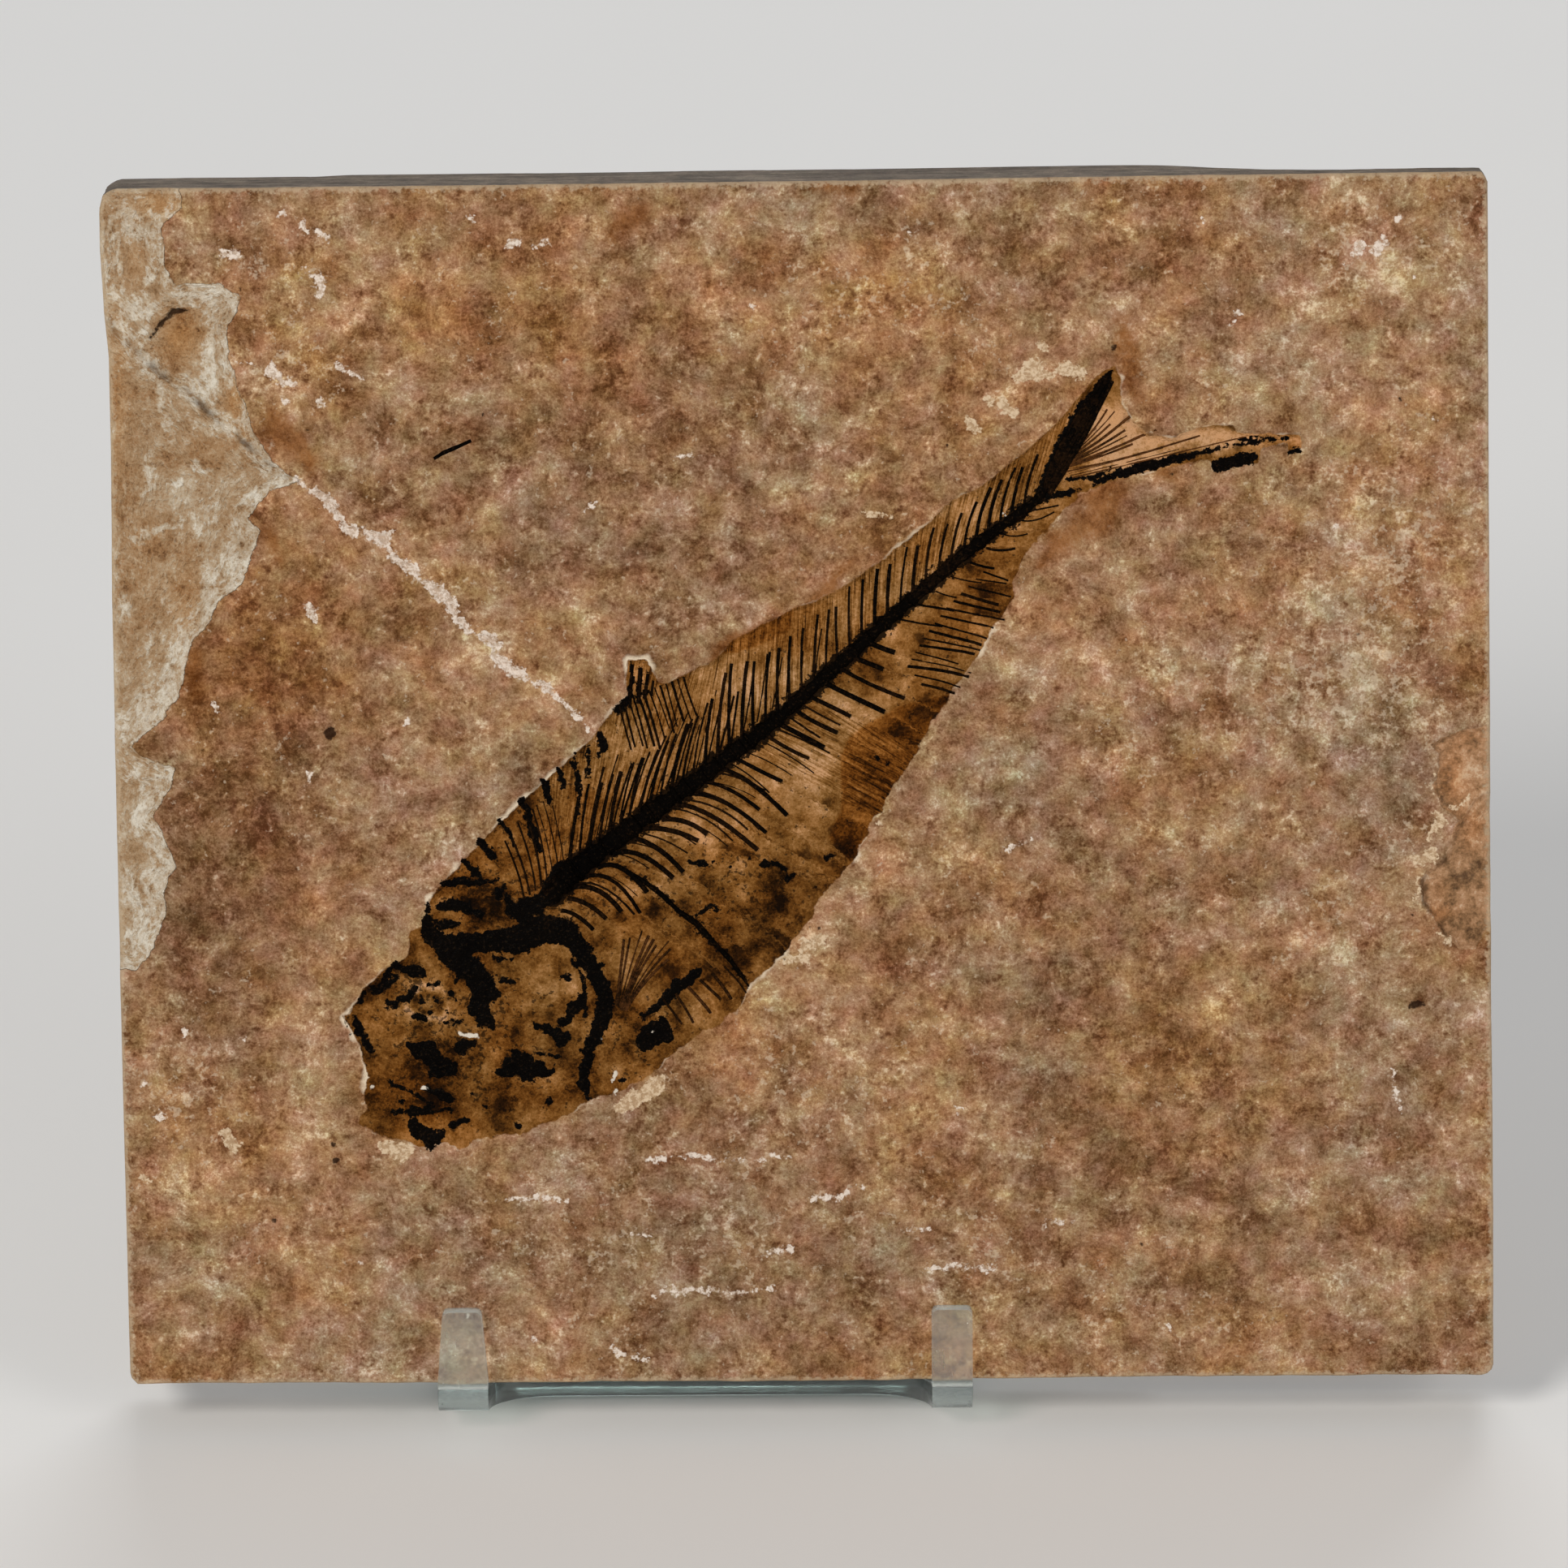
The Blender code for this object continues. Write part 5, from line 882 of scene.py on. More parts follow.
    def masks(self):
        """Named values for the material to read: depths in mm, and tones from 0 to 1."""
        p = self.points
        return {
            "flaked": np.clip(self.flaked, -2, 6),
            "torn_layers": self.torn_layers(),
            "chipped": np.clip(np.maximum(self.spall, self.chip), -2, 6),
            "painted_crease_shade": self.painted_crease_shade(),
            "tan": np.clip(soft_spots(TAN_TONES, ragged(p, 0.5, 1.6, 24)), 0, 1),
            "chip_tone": np.clip(0.5 + soft_spots(CHIP_TONES, p) + 0.3 * fractal(p, 1.0, 89), 0, 1),
            "fish": np.clip(self.fish, -2, 6),
            "rim": self.rim(),
            "white": np.max((self.white, self.chips + 0.16, self.crack + 0.06), axis=0),
            "cream": self.cream,
            "bone": np.minimum(self.bone + 0.05, self.fish + 0.3),
            "stain": self.stain,
            # The undercut's line joins the dark spots, to be painted near-black as painted shadow
            "spots": np.maximum(self.spots, self.undercut),
            "orange": smooth(self.orange / 0.9 + 0.6),
            "film_tone": self.film_tone(),
            "film_orange": self.film_orange(),
            "rock_tone": self.rock_tone(),
            "stone_tone": soft_spots(STONE_TONES, p) + 0.8 * fractal(p, 12.0, 15),
            "stone_hue": 0.8 * soft_spots(STONE_HUES, p) + 1.2 * fractal(p, 10.0, 19),
            "flecks": np.clip(0.15 + soft_spots(FLECK_TONES, p) + 0.35 * fractal(p, 5.0, 21), 0, 1),
            "crumbs": np.clip(soft_spots(CRUMB_TONES, p) + 0.2 * fractal(p, 2.0, 22), 0, 1),
            "streak_run": self.streaks(),
            "arris": np.clip(self.edge, 0, 3),
        }


def resampled(outline, spacing):
    """A closed outline with evenly spaced points, its corners softened a little."""
    a = np.array(outline + outline[:1], float)
    passed = np.concatenate([[0], np.cumsum(np.linalg.norm(np.diff(a, axis=0), axis=1))])
    stops = np.arange(0, passed[-1], spacing)
    return np.stack([np.interp(stops, passed, a[:, k]) for k in (0, 1)], 1)


def outward(loop):
    """The outward direction at each point of an anticlockwise loop."""
    along = np.roll(loop, -1, axis=0) - np.roll(loop, 1, axis=0)
    return np.stack([along[:, 1], -along[:, 0]], 1) / np.linalg.norm(along, axis=1)[:, None]


def loop_edges(sizes):
    """The edges of closed loops whose points follow one another, from each loop's number of points."""
    edges, first = [], 0
    for size in sizes:
        edges += [(first + i, first + (i + 1) % size) for i in range(size)]
        first += size
    return edges


def triangles_of(points, edges):
    """Corners and triangles of the area inside the edges."""
    found = delaunay_2d_cdt([Vector(p) for p in points], edges, [], 1, MERGE_DISTANCE)
    return np.array([tuple(p) for p in found[0]]), [tuple(f) for f in found[2]]


def grid_over_slab(spacing):
    low, high = np.min(SLAB_OUTLINE, axis=0), np.max(SLAB_OUTLINE, axis=0)
    across, up = np.meshgrid(*(np.arange(low[k], high[k], spacing) for k in (0, 1)))
    return np.stack([across.ravel(), up.ravel()], 1)


def graded_points():
    """Points over the face, close together where it is finely worked and further apart elsewhere."""
    cells = grid_over_slab(COARSE)
    detail = Face(cells + COARSE / 2).detail()
    random = np.random.default_rng(101)
    points = []
    for per_side, chosen in (
        (1, detail < -MEDIUM_MARGIN),
        (2, (detail >= -MEDIUM_MARGIN) & (detail < -FINE_MARGIN)),
        (FINE_PER_COARSE, detail >= -FINE_MARGIN),
    ):
        step = COARSE / per_side
        offsets = [(i * step, j * step) for i in range(per_side) for j in range(per_side)]
        spread = (cells[chosen][:, None, :] + np.array(offsets)[None]).reshape(-1, 2)
        points.append(spread + random.uniform(-GRID_JITTER, GRID_JITTER, spread.shape) * step)
    points = np.concatenate(points)
    return points[depth_inside(SLAB_OUTLINE, points) > BORDER_INSETS[-1] + 0.2]


def boundary_loop(triangles):
    """The corners round the outside of a patch of triangles, in order."""
    seen = set()
    for a, b, c in triangles:
        seen.update([(a, b), (b, c), (c, a)])
    following = {a: b for a, b in seen if (b, a) not in seen}
    start = min(following)
    loop = [start]
    while following[loop[-1]] != start:
        loop.append(following[loop[-1]])
    return loop


def back_height(points):
    """w of the split back in mm: bedding steps, shallow shells and a rounded arris."""
    height = np.full(len(points), -THICKNESS)
    for outline, rise, width in BACK_STEPS:
        height += rise * smooth(depth_inside(outline, ragged(points, 1.2, 6.0, 91)) / width)
    shells = fractal(points, 14.0, 92)
    for level in (-0.25, 0.05, 0.3):
        height += 0.16 * smooth((shells - level) / 0.05)
    height += 0.06 * (1 + fractal(points, 3.0, 93))
    return height + arris_drop(depth_inside(SLAB_OUTLINE, points), EDGE_ROUND)


def make_stone():
    """The slab with the fish in relief, in one closed skin: face, sawn edges and split back."""
    border = resampled(SLAB_OUTLINE, BORDER_SPACING)
    normal = outward(border)
    loops = [border] + [border - normal * inset for inset in BORDER_INSETS]
    face, face_triangles = triangles_of(
        np.concatenate(loops + [graded_points()]), loop_edges([len(border)] * len(loops)))
    zones = Face(face)
    face_w = zones.height()
    rim = boundary_loop(face_triangles)
    edge_loop = face[rim]
    out = outward(edge_loop)

    grid = grid_over_slab(BACK_SPACING)
    grid += np.random.default_rng(102).uniform(-BACK_JITTER, BACK_JITTER, grid.shape)
    grid = grid[depth_inside(SLAB_OUTLINE, grid) > 1.0]
    back, back_triangles = triangles_of(
        np.concatenate([edge_loop, edge_loop - out * BACK_INSET, grid]), loop_edges([len(rim)] * 2))
    back_w = back_height(back)
    matched = [int(np.argmin(((back - p) ** 2).sum(1))) for p in edge_loop]

    # The sawn edges: rings of points from the face's rim to the back's, joined by quads
    places = [to_world(face, face_w), to_world(back, back_w)]
    faces = face_triangles + [tuple(len(face) + i for i in (c, b, a)) for a, b, c in back_triangles]
    kinds = [0] * len(face_triangles) + [2] * len(back_triangles)
    rings = [list(rim)]
    passed = np.arange(len(rim)) * BORDER_SPACING
    total = len(face) + len(back)
    for k in range(1, SAWN_RINGS):
        share = k / SAWN_RINGS
        w = face_w[rim] * (1 - share) + back_w[matched] * share
        sample = np.stack([passed, np.full(len(passed), SAW_PITCH * k)], 1)
        saw = 0.03 * fractal(sample, 2.5, 94) + 0.025 * value_noise(np.stack([w * 3, w * 0], 1), 1.0, 95)
        places.append(to_world(edge_loop + out * (saw - 0.02)[:, None], w))
        rings.append(list(range(total, total + len(rim))))
        total += len(rim)
    rings.append([len(face) + i for i in matched])
    for upper, lower in zip(rings, rings[1:]):
        for k in range(len(rim)):
            n = (k + 1) % len(rim)
            faces.append((upper[n], upper[k], lower[k], lower[n]))
            kinds.append(1)

    mesh = bpy.data.meshes.new("fossil_stone")
    mesh.from_pydata(np.concatenate(places).tolist(), [], faces)
    mesh.polygons.foreach_set("material_index", kinds)
    for name, values in zones.masks().items():
        attribute = mesh.attributes.new(name, "FLOAT", "POINT")
        attribute.data.foreach_set("value", np.concatenate([values, np.zeros(total - len(face))]))
    mesh.shade_smooth()
    mesh.validate()
    return put("fossil_stone", mesh)


class Wiring:
    """Places nodes in a tree and joins them, in short calls."""

    def __init__(self, tree):
        self.tree = tree

    def fill(self, node, inputs):
        """Sets inputs of a node, or joins them to the outputs of other nodes."""
        for key, value in inputs.items():
            if isinstance(value, bpy.types.NodeSocket):
                self.tree.links.new(value, node.inputs[key])
            else:
                node.inputs[key].default_value = value

    def node(self, kind, inputs=None, **settings):
        node = self.tree.nodes.new(kind)
        for name, value in settings.items():
            setattr(node, name, value)
        self.fill(node, inputs or {})
        return node

    def take(self, kind, inputs=None, **settings):
        """The first output of a new node."""
        return self.node(kind, inputs, **settings).outputs[0]

    def calc(self, operation, first, second=0.0, third=0.0):
        return self.take("ShaderNodeMath", {0: first, 1: second, 2: third}, operation=operation)

    def chain(self, operation, first, *others):
        """The same operation carried on through all the values, from the left."""
        for other in others:
            first = self.calc(operation, first, other)
        return first

    def plus(self, *values):
        return self.chain("ADD", *values)

    def times(self, *values):
        return self.chain("MULTIPLY", *values)

    def minus(self, first, second):
        return self.calc("SUBTRACT", first, second)

    def times_plus(self, value, factor, more):
        return self.calc("MULTIPLY_ADD", value, factor, more)

    def vector_plus(self, first, second):
        return self.take("ShaderNodeVectorMath", {0: first, 1: second}, operation="ADD")

    def vector_times(self, vector, scale):
        return self.take("ShaderNodeVectorMath", {0: vector, "Scale": scale}, operation="SCALE")

    def apart(self, vector):
        """The X, Y and Z of a vector."""
        return self.node("ShaderNodeSeparateXYZ", {0: vector}).outputs

    def together(self, x, y, z):
        return self.take("ShaderNodeCombineXYZ", {0: x, 1: y, 2: z})


class Paint(Wiring):
    """Wiring with the calls that materials need."""

    def noise(self, place, size, detail=2.0, roughness=0.6, shift=0, distortion=0.0, output="Fac"):
        """Noise with lumps of the given size, from 0 to 1 about 0.5. Another shift gives another noise."""
        moved = self.vector_plus(place, tuple(way * shift for way in NOISE_SHIFT)) if shift else place
        return self.node("ShaderNodeTexNoise", {
            "Vector": moved, "Scale": 1.0 / size, "Detail": detail, "Roughness": roughness,
            "Distortion": distortion}).outputs[output]

    def centred(self, value, amount=1.0):
        """A value about 0.5 turned into one about 0, times an amount."""
        return self.times_plus(value, amount, -0.5 * amount)

    def mask(self, value, low, high):
        """0 below low, 1 above high and a smooth rise between."""
        return self.take("ShaderNodeMapRange", {"Value": value, "From Min": low, "From Max": high},
                         interpolation_type="SMOOTHSTEP")

    def mix(self, share, first, second, blend="MIX"):
        return self.node("ShaderNodeMix", {0: share, 6: first, 7: second}, data_type="RGBA",
                         blend_type=blend).outputs[2]

    def cover(self, colour, share, amount, other, blend="MIX"):
        """The colour with another laid over it, by a share of an amount."""
        return self.mix(self.times(share, amount), colour, other, blend)

    def tinted(self, colour, warm, green):
        """The colour shifted towards red and away from blue by warm, and towards green by green."""
        off_green = self.times(green, -0.2)
        red = self.plus(self.times_plus(warm, 0.3, 1.0), off_green)
        blue = self.plus(self.times_plus(warm, -0.5, 1.0), off_green)
        factors = self.together(red, self.times_plus(green, 0.26, 1.0), blue)
        return self.mix(1.0, colour, factors, "MULTIPLY")

    def ramp(self, value, *stops):
        """A colour ramp over stops, each one a place and a colour as it looks on a screen."""
        ramp = self.node("ShaderNodeValToRGB", {"Fac": value})
        elements = ramp.color_ramp.elements
        for k, (place, *colour) in enumerate((stops[0], stops[-1], *stops[1:-1])):
            element = elements[k] if k < 2 else elements.new(place)
            element.position, element.color = place, rgb(*colour)
        return ramp.outputs["Color"]

    def attribute(self, name):
        return self.node("ShaderNodeAttribute", attribute_name=name).outputs["Fac"]


def rgb(red, green, blue):
    """A colour given as it looks on a screen, from 0 to 255, as the linear values that Blender takes."""
    parts = [c / 255 for c in (red, green, blue)]
    return tuple(c / 12.92 if c <= 0.04045 else ((c + 0.055) / 1.055) ** 2.4 for c in parts) + (1.0,)


def new_tree(kind, name, inputs, outputs, wiring):
    """An empty node group with named inputs, as (name, type, value), and named outputs, as (name, type)."""
    tree = bpy.data.node_groups.new(name, kind)
    for socket_name, socket_type, value in inputs:
        socket = tree.interface.new_socket(socket_name, in_out="INPUT", socket_type=socket_type)
        if value is not None:
            socket.default_value = value
    for socket_name, socket_type in outputs:
        tree.interface.new_socket(socket_name, in_out="OUTPUT", socket_type=socket_type)
    wire = wiring(tree)
    return wire, wire.node("NodeGroupInput").outputs, wire.node("NodeGroupOutput")


def bone_tree(name, lines, inputs):
    """An empty geometry tree that turns lines into bones on the stone."""
    return new_tree("GeometryNodeTree", name, [
        (lines, "NodeSocketGeometry", None), ("Stone", "NodeSocketObject", None), *inputs,
        ("Material", "NodeSocketMaterial", None)], [("Bones", "NodeSocketGeometry")], Wiring)


def lay_and_sweep_tree():
    """Lays curves on the stone's face, sinks them a little and gives them a round section."""
    wire, given, end = bone_tree("lay on the stone", "Curve", [
        ("Radius", FLOAT, 0.0002), ("Sunk Share", FLOAT, 0.3), ("Sides", INT, 8)])
    stone = wire.node("GeometryNodeObjectInfo", {"Object": given["Stone"]}).outputs["Geometry"]
    lifted = wire.vector_plus(wire.take("GeometryNodeInputPosition"), tuple(OUT * RAY_START * MM))
    hit = wire.node("GeometryNodeRaycast", {
        "Target Geometry": stone, "Source Position": lifted, "Ray Direction": tuple(-OUT),
        "Ray Length": RAY_LENGTH * MM}).outputs["Hit Position"]
    sunk = wire.vector_times(tuple(-OUT), wire.times(given["Radius"], given["Sunk Share"]))
    laid = wire.take("GeometryNodeSetPosition", {
        "Geometry": given["Curve"], "Position": wire.vector_plus(hit, sunk)})
    section = wire.take("GeometryNodeCurvePrimitiveCircle", {"Resolution": given["Sides"], "Radius": 1.0})
    made = wire.take("GeometryNodeCurveToMesh", {
        "Curve": laid, "Profile Curve": section, "Scale": given["Radius"], "Fill Caps": True})
    made = wire.take("GeometryNodeSetShadeSmooth", {"Geometry": made})
    made = wire.take("GeometryNodeRealizeInstances", {"Geometry": made})
    made = wire.take("GeometryNodeSetMaterial", {"Geometry": made, "Material": given["Material"]})
    wire.fill(end, {0: made})
    return wire.tree


def lay_and_sweep(wire, given, end, tree, curves, more):
    """Ends a tree by laying its curves on the stone, with the radius that is stored on them."""
    made = wire.take("GeometryNodeGroup", {
        "Curve": curves, "Stone": given["Stone"], "Radius": stored_radius(wire),
        "Sunk Share": given["Sunk Share"], "Material": given["Material"], **more}, node_tree=tree)
    wire.fill(end, {0: made})
    return wire.tree


def store(wire, geometry, name, value):
    return wire.take("GeometryNodeStoreNamedAttribute", {"Geometry": geometry, "Name": name, "Value": value},
                     data_type="FLOAT", domain="POINT")


def stored_radius(wire):
    return wire.take("GeometryNodeInputNamedAttribute", {"Name": "bone_radius"}, data_type="FLOAT")


def bone_row_tree(sweep_tree):
    """A row of tapered bones. Its mesh gives all the roots, then all the middles, then all the tips."""
    wire, given, end = bone_tree("row of bones", "Roots Middles Tips", [
        ("Bones", INT, 10), ("Root Radius", FLOAT, 0.0002), ("Tip Share", FLOAT, 0.35),
        ("Taper Power", FLOAT, 1.0), ("Reach Back", FLOAT, 0.1), ("Sunk Share", FLOAT, 0.3),
        ("Uneven Length", FLOAT, 0.1), ("Uneven Radius", FLOAT, 0.2), ("Sway", FLOAT, 0.0002),
        ("Wear", FLOAT, 0.0), ("Seed", INT, 1)])
    grid = wire.take("GeometryNodeMeshGrid", {
        "Size X": 1.0, "Size Y": 1.0, "Vertices X": given["Bones"], "Vertices Y": STEPS_ALONG_BONE})
    position = wire.take("GeometryNodeInputPosition")
    along = wire.plus(wire.apart(position)["Y"], 0.5)

    def bone_of(index):
        return wire.calc("FLOOR", wire.calc("DIVIDE", index, STEPS_ALONG_BONE))

    number = bone_of(wire.take("GeometryNodeInputIndex"))

    def random(low, high, shift):
        """A random value for each bone, another one for each shift of the seed."""
        seed = wire.plus(given["Seed"], shift) if shift else given["Seed"]
        return wire.node("FunctionNodeRandomValue", {2: low, 3: high, "ID": number, "Seed": seed}).outputs[1]

    longest = wire.plus(1.0, wire.times(given["Uneven Length"], 0.5))
    s = wire.times(along, random(wire.minus(1.0, given["Uneven Length"]), longest, 0.0))
    s = wire.times_plus(wire.minus(along, 1.0), given["Reach Back"], s)

    # The curve through root, middle and tip, as the share that each has in a place along the bone
    squared = wire.times(s, s)
    shares = (
        wire.plus(wire.times_plus(squared, 2.0, 1.0), wire.times(s, -3.0)),
        wire.times(wire.minus(s, squared), 4.0),
        wire.times_plus(squared, 2.0, wire.times(s, -1.0)),
    )
    parts = []
    for k, share in enumerate(shares):
        which = wire.times_plus(given["Bones"], float(k), number)
        stop = wire.take("GeometryNodeSampleIndex", {
            "Geometry": given["Roots Middles Tips"], "Index": which, "Value": position},
            data_type="FLOAT_VECTOR", domain="POINT")
        parts.append(wire.vector_times(stop, share))
    sway = wire.times(random(-1.0, 1.0, 7.0), along, given["Sway"])
    bent = wire.vector_plus(wire.vector_plus(wire.vector_plus(parts[0], parts[1]), parts[2]),
                            wire.vector_times(tuple(RIGHT + UP), sway))

    row = wire.take("GeometryNodeSetPosition", {"Geometry": grid, "Position": bent})
    row = store(wire, row, "along", along)
    row = store(wire, row, "shade", wire.plus(random(0.0, 1.0, 13.0), given["Wear"]))
    taper = wire.times(wire.calc("POWER", along, given["Taper Power"]), wire.minus(given["Tip Share"], 1.0))
    uneven = given["Uneven Radius"]
    thick = random(wire.minus(1.0, uneven), wire.plus(1.0, uneven), 21.0)
    row = store(wire, row, "bone_radius", wire.times(given["Root Radius"], wire.plus(1.0, taper), thick))
    ends = wire.node("GeometryNodeInputMeshEdgeVertices").outputs
    lengthwise = wire.calc("COMPARE", bone_of(ends[0]), bone_of(ends[1]), 0.5)
    curves = wire.take("GeometryNodeMeshToCurve", {"Mesh": row, "Selection": lengthwise})
    return lay_and_sweep(wire, given, end, sweep_tree, curves, {})


def strand_tree(sweep_tree):
    """Single bones or shreds along lines, uneven in thickness, with a waist at each joint."""
    wire, given, end = bone_tree("laid strands", "Lines", [
        ("Sunk Share", FLOAT, 0.3), ("Uneven Radius", FLOAT, 0.2), ("Lump Size", FLOAT, 0.001),
        ("Joints", FLOAT, 0.0), ("Waist", FLOAT, 0.0), ("Points", INT, 40), ("Sides", INT, 8)])
    lines = wire.take("GeometryNodeMeshToCurve", {"Mesh": given["Lines"]})
    lines = wire.take("GeometryNodeResampleCurve", {"Curve": lines, "Count": given["Points"]})
    factor = wire.node("GeometryNodeSplineParameter").outputs["Factor"]
    lumpy = wire.node("ShaderNodeTexNoise", {
        "Vector": wire.take("GeometryNodeInputPosition"), "Detail": 2.0,
        "Scale": wire.calc("DIVIDE", 1.0, given["Lump Size"])}).outputs["Fac"]
    uneven = wire.times_plus(wire.minus(lumpy, 0.5), wire.times(given["Uneven Radius"], 4.0), 1.0)
    turn = wire.times(factor, wire.times(given["Joints"], math.pi))
    beat = wire.calc("POWER", wire.calc("ABSOLUTE", wire.calc("SINE", turn)), 0.8)
    waist = wire.minus(1.0, wire.times(given["Waist"], beat))
    radius = wire.times(stored_radius(wire), uneven, waist)
    lines = store(wire, lines, "along", wire.times(factor, 0.3))
    lines = store(wire, lines, "shade", lumpy)
    lines = store(wire, lines, "bone_radius", radius)
    return lay_and_sweep(wire, given, end, sweep_tree, lines, {"Sides": given["Sides"]})


def grow(name, source_mesh, tree, values):
    """Runs a geometry tree on a mesh and keeps what it makes as a plain piece."""
    source = put(name + "_lines", source_mesh)
    modifier = source.modifiers.new("growth", "NODES")
    modifier.node_group = tree
    for item in tree.interface.items_tree:
        if item.item_type == "SOCKET" and item.in_out == "INPUT" and item.name in values:
            value = values[item.name]
            modifier[item.identifier] = value * MM if item.name in INPUTS_IN_MM else value
    graph = bpy.context.evaluated_depsgraph_get()
    mesh = bpy.data.meshes.new_from_object(
        source.evaluated_get(graph), preserve_all_data_layers=True, depsgraph=graph)
    source.modifiers.remove(modifier)
    bpy.data.objects.remove(source)
    mesh.name = name
    return put(name, mesh)


def line_mesh(name, points, edges):
    """A mesh of points on the face, as (u, v) or (u, v, radius), joined by edges."""
    points = np.array(points, float)
    mesh = bpy.data.meshes.new(name)
    mesh.from_pydata(to_world(points[:, :2], 0.0).tolist(), edges, [])
    if points.shape[1] == 3:
        radius = mesh.attributes.new("bone_radius", "FLOAT", "POINT")
        radius.data.foreach_set("value", points[:, 2] * MM)
    return mesh


def make_bones(stone, material):
    """All the separate bones that lie on the stone."""
    sweep_tree = lay_and_sweep_tree()
    row_tree, strands = bone_row_tree(sweep_tree), strand_tree(sweep_tree)
    shared = {"Stone": stone, "Material": material}
    pieces = []
    for name, stations, *values in BONE_ROWS:
        bones = row_of_bones(stations)
        in_turn = [bone[k] for k in range(3) for bone in bones]
        pieces.append(grow(name, line_mesh(name, in_turn, []), row_tree, {
            "Bones": len(bones), "Reach Back": REACH_BACK, "Sunk Share": ROW_SUNK_SHARE,
            **dict(zip(ROW_INPUTS, values)), **shared}))
    for name, strokes, *values in STRANDS:
        points = [point for stroke in strokes for point in stroke]
        edges = [(i, i + 1) for i in range(len(points) - 1)]
        pieces.append(grow(name, line_mesh(name, points, edges), strands, {
            **dict(zip(STRAND_INPUTS, values)), **shared}))
    return pieces


def face_millimetres_group():
    """Object coordinates turned to the slab's face: u, v and w in mm."""
    paint, _, end = new_tree("ShaderNodeTree", "face millimetres", [], [("Place", VECTOR)], Paint)
    turn = LEAN - math.pi / 2
    x, y, z = FACE_ORIGIN
    turned = (x, y * math.cos(turn) - z * math.sin(turn), y * math.sin(turn) + z * math.cos(turn))
    mapped = paint.take("ShaderNodeMapping", {
        "Vector": paint.node("ShaderNodeTexCoord").outputs["Object"], "Location": tuple(-c for c in turned),
        "Rotation": (turn, 0.0, 0.0), "Scale": (1000.0, 1000.0, 1000.0)})
    paint.fill(end, {"Place": mapped})
    return paint.tree


def grain_group():
    """The unevenness that every rock finish shares: mottle from 5 mm down to 0.1 mm, and a fine grain."""
    paint, given, end = new_tree("ShaderNodeTree", "rock grain", [("Place", VECTOR, None)], [
        ("Mottle", FLOAT), ("Grain", FLOAT)], Paint)
    paint.fill(end, {"Mottle": paint.noise(given["Place"], 4.8, 6.0, 0.88, 0, 0.2),
                     "Grain": paint.noise(given["Place"], 0.24, 1.0, 0.7, 1)})
    return paint.tree


def limestone_group():
    """The mottled tan of the limestone: reddish and yellowish patches, rusty grains and pale specks."""
    paint, given, end = new_tree("ShaderNodeTree", "limestone mottling", [
        ("Place", VECTOR, None), ("Mottle", FLOAT, 0.5), ("Grain", FLOAT, 0.5), ("Tone", FLOAT, 0.0),
        ("Hue", FLOAT, 0.0), ("Flecks", FLOAT, 0.2)], [("Color", "NodeSocketColor")], Paint)
    place = given["Place"]
    warm, green, spread = paint.apart(paint.noise(place, 3.0, 2.0, 0.7, output="Color"))
    busy = paint.mask(spread, 0.42, 0.64)
    dots = paint.noise(place, 0.7, 2.0, 0.75, 3)
    value = paint.plus(paint.centred(given["Mottle"], 1.95), paint.centred(given["Grain"], 0.42))
    crumbly = paint.times(paint.centred(dots), busy)
    value = paint.plus(paint.times_plus(given["Tone"], 0.12, value), crumbly, 0.5)
    colour = paint.ramp(value, (0.1, 82, 51, 27), (0.3, 117, 81, 52), (0.5, 150, 113, 81),
                        (0.7, 178, 144, 110), (0.92, 224, 200, 167))
    warm = paint.times_plus(given["Hue"], 0.3, paint.centred(warm))
    colour = paint.tinted(colour, warm, paint.centred(green, 1.05))
    rusty = paint.times(paint.mask(dots, 0.42, 0.34), busy)
    colour = paint.cover(colour, rusty, 0.35, rgb(98, 58, 38))
    pale = paint.mask(paint.times_plus(given["Flecks"], 0.2, dots), 0.66, 0.78)
    paint.fill(end, {"Color": paint.cover(colour, pale, 0.42, rgb(212, 192, 166))})
    return paint.tree


def bone_group():
    """Black-brown fossil bone, rusty towards thin and worn parts."""
    paint, given, end = new_tree("ShaderNodeTree", "fossil bone", [
        ("Mottle", FLOAT, 0.5), ("Grain", FLOAT, 0.5), ("Worn", FLOAT, 0.0)],
        [("Color", "NodeSocketColor")], Paint)
    value = paint.plus(paint.centred(given["Mottle"]), paint.centred(given["Grain"], 0.5))
    value = paint.plus(paint.times_plus(given["Worn"], 0.4, value), 0.26)
    colour = paint.ramp(value, (0.1, 3, 2, 2), (0.4, 9, 6, 4), (0.66, 34, 20, 9), (1.0, 96, 58, 28))
    flecks = paint.mask(given["Grain"], 0.6, 0.72)
    paint.fill(end, {"Color": paint.cover(colour, flecks, 0.15, rgb(66, 48, 30))})
    return paint.tree


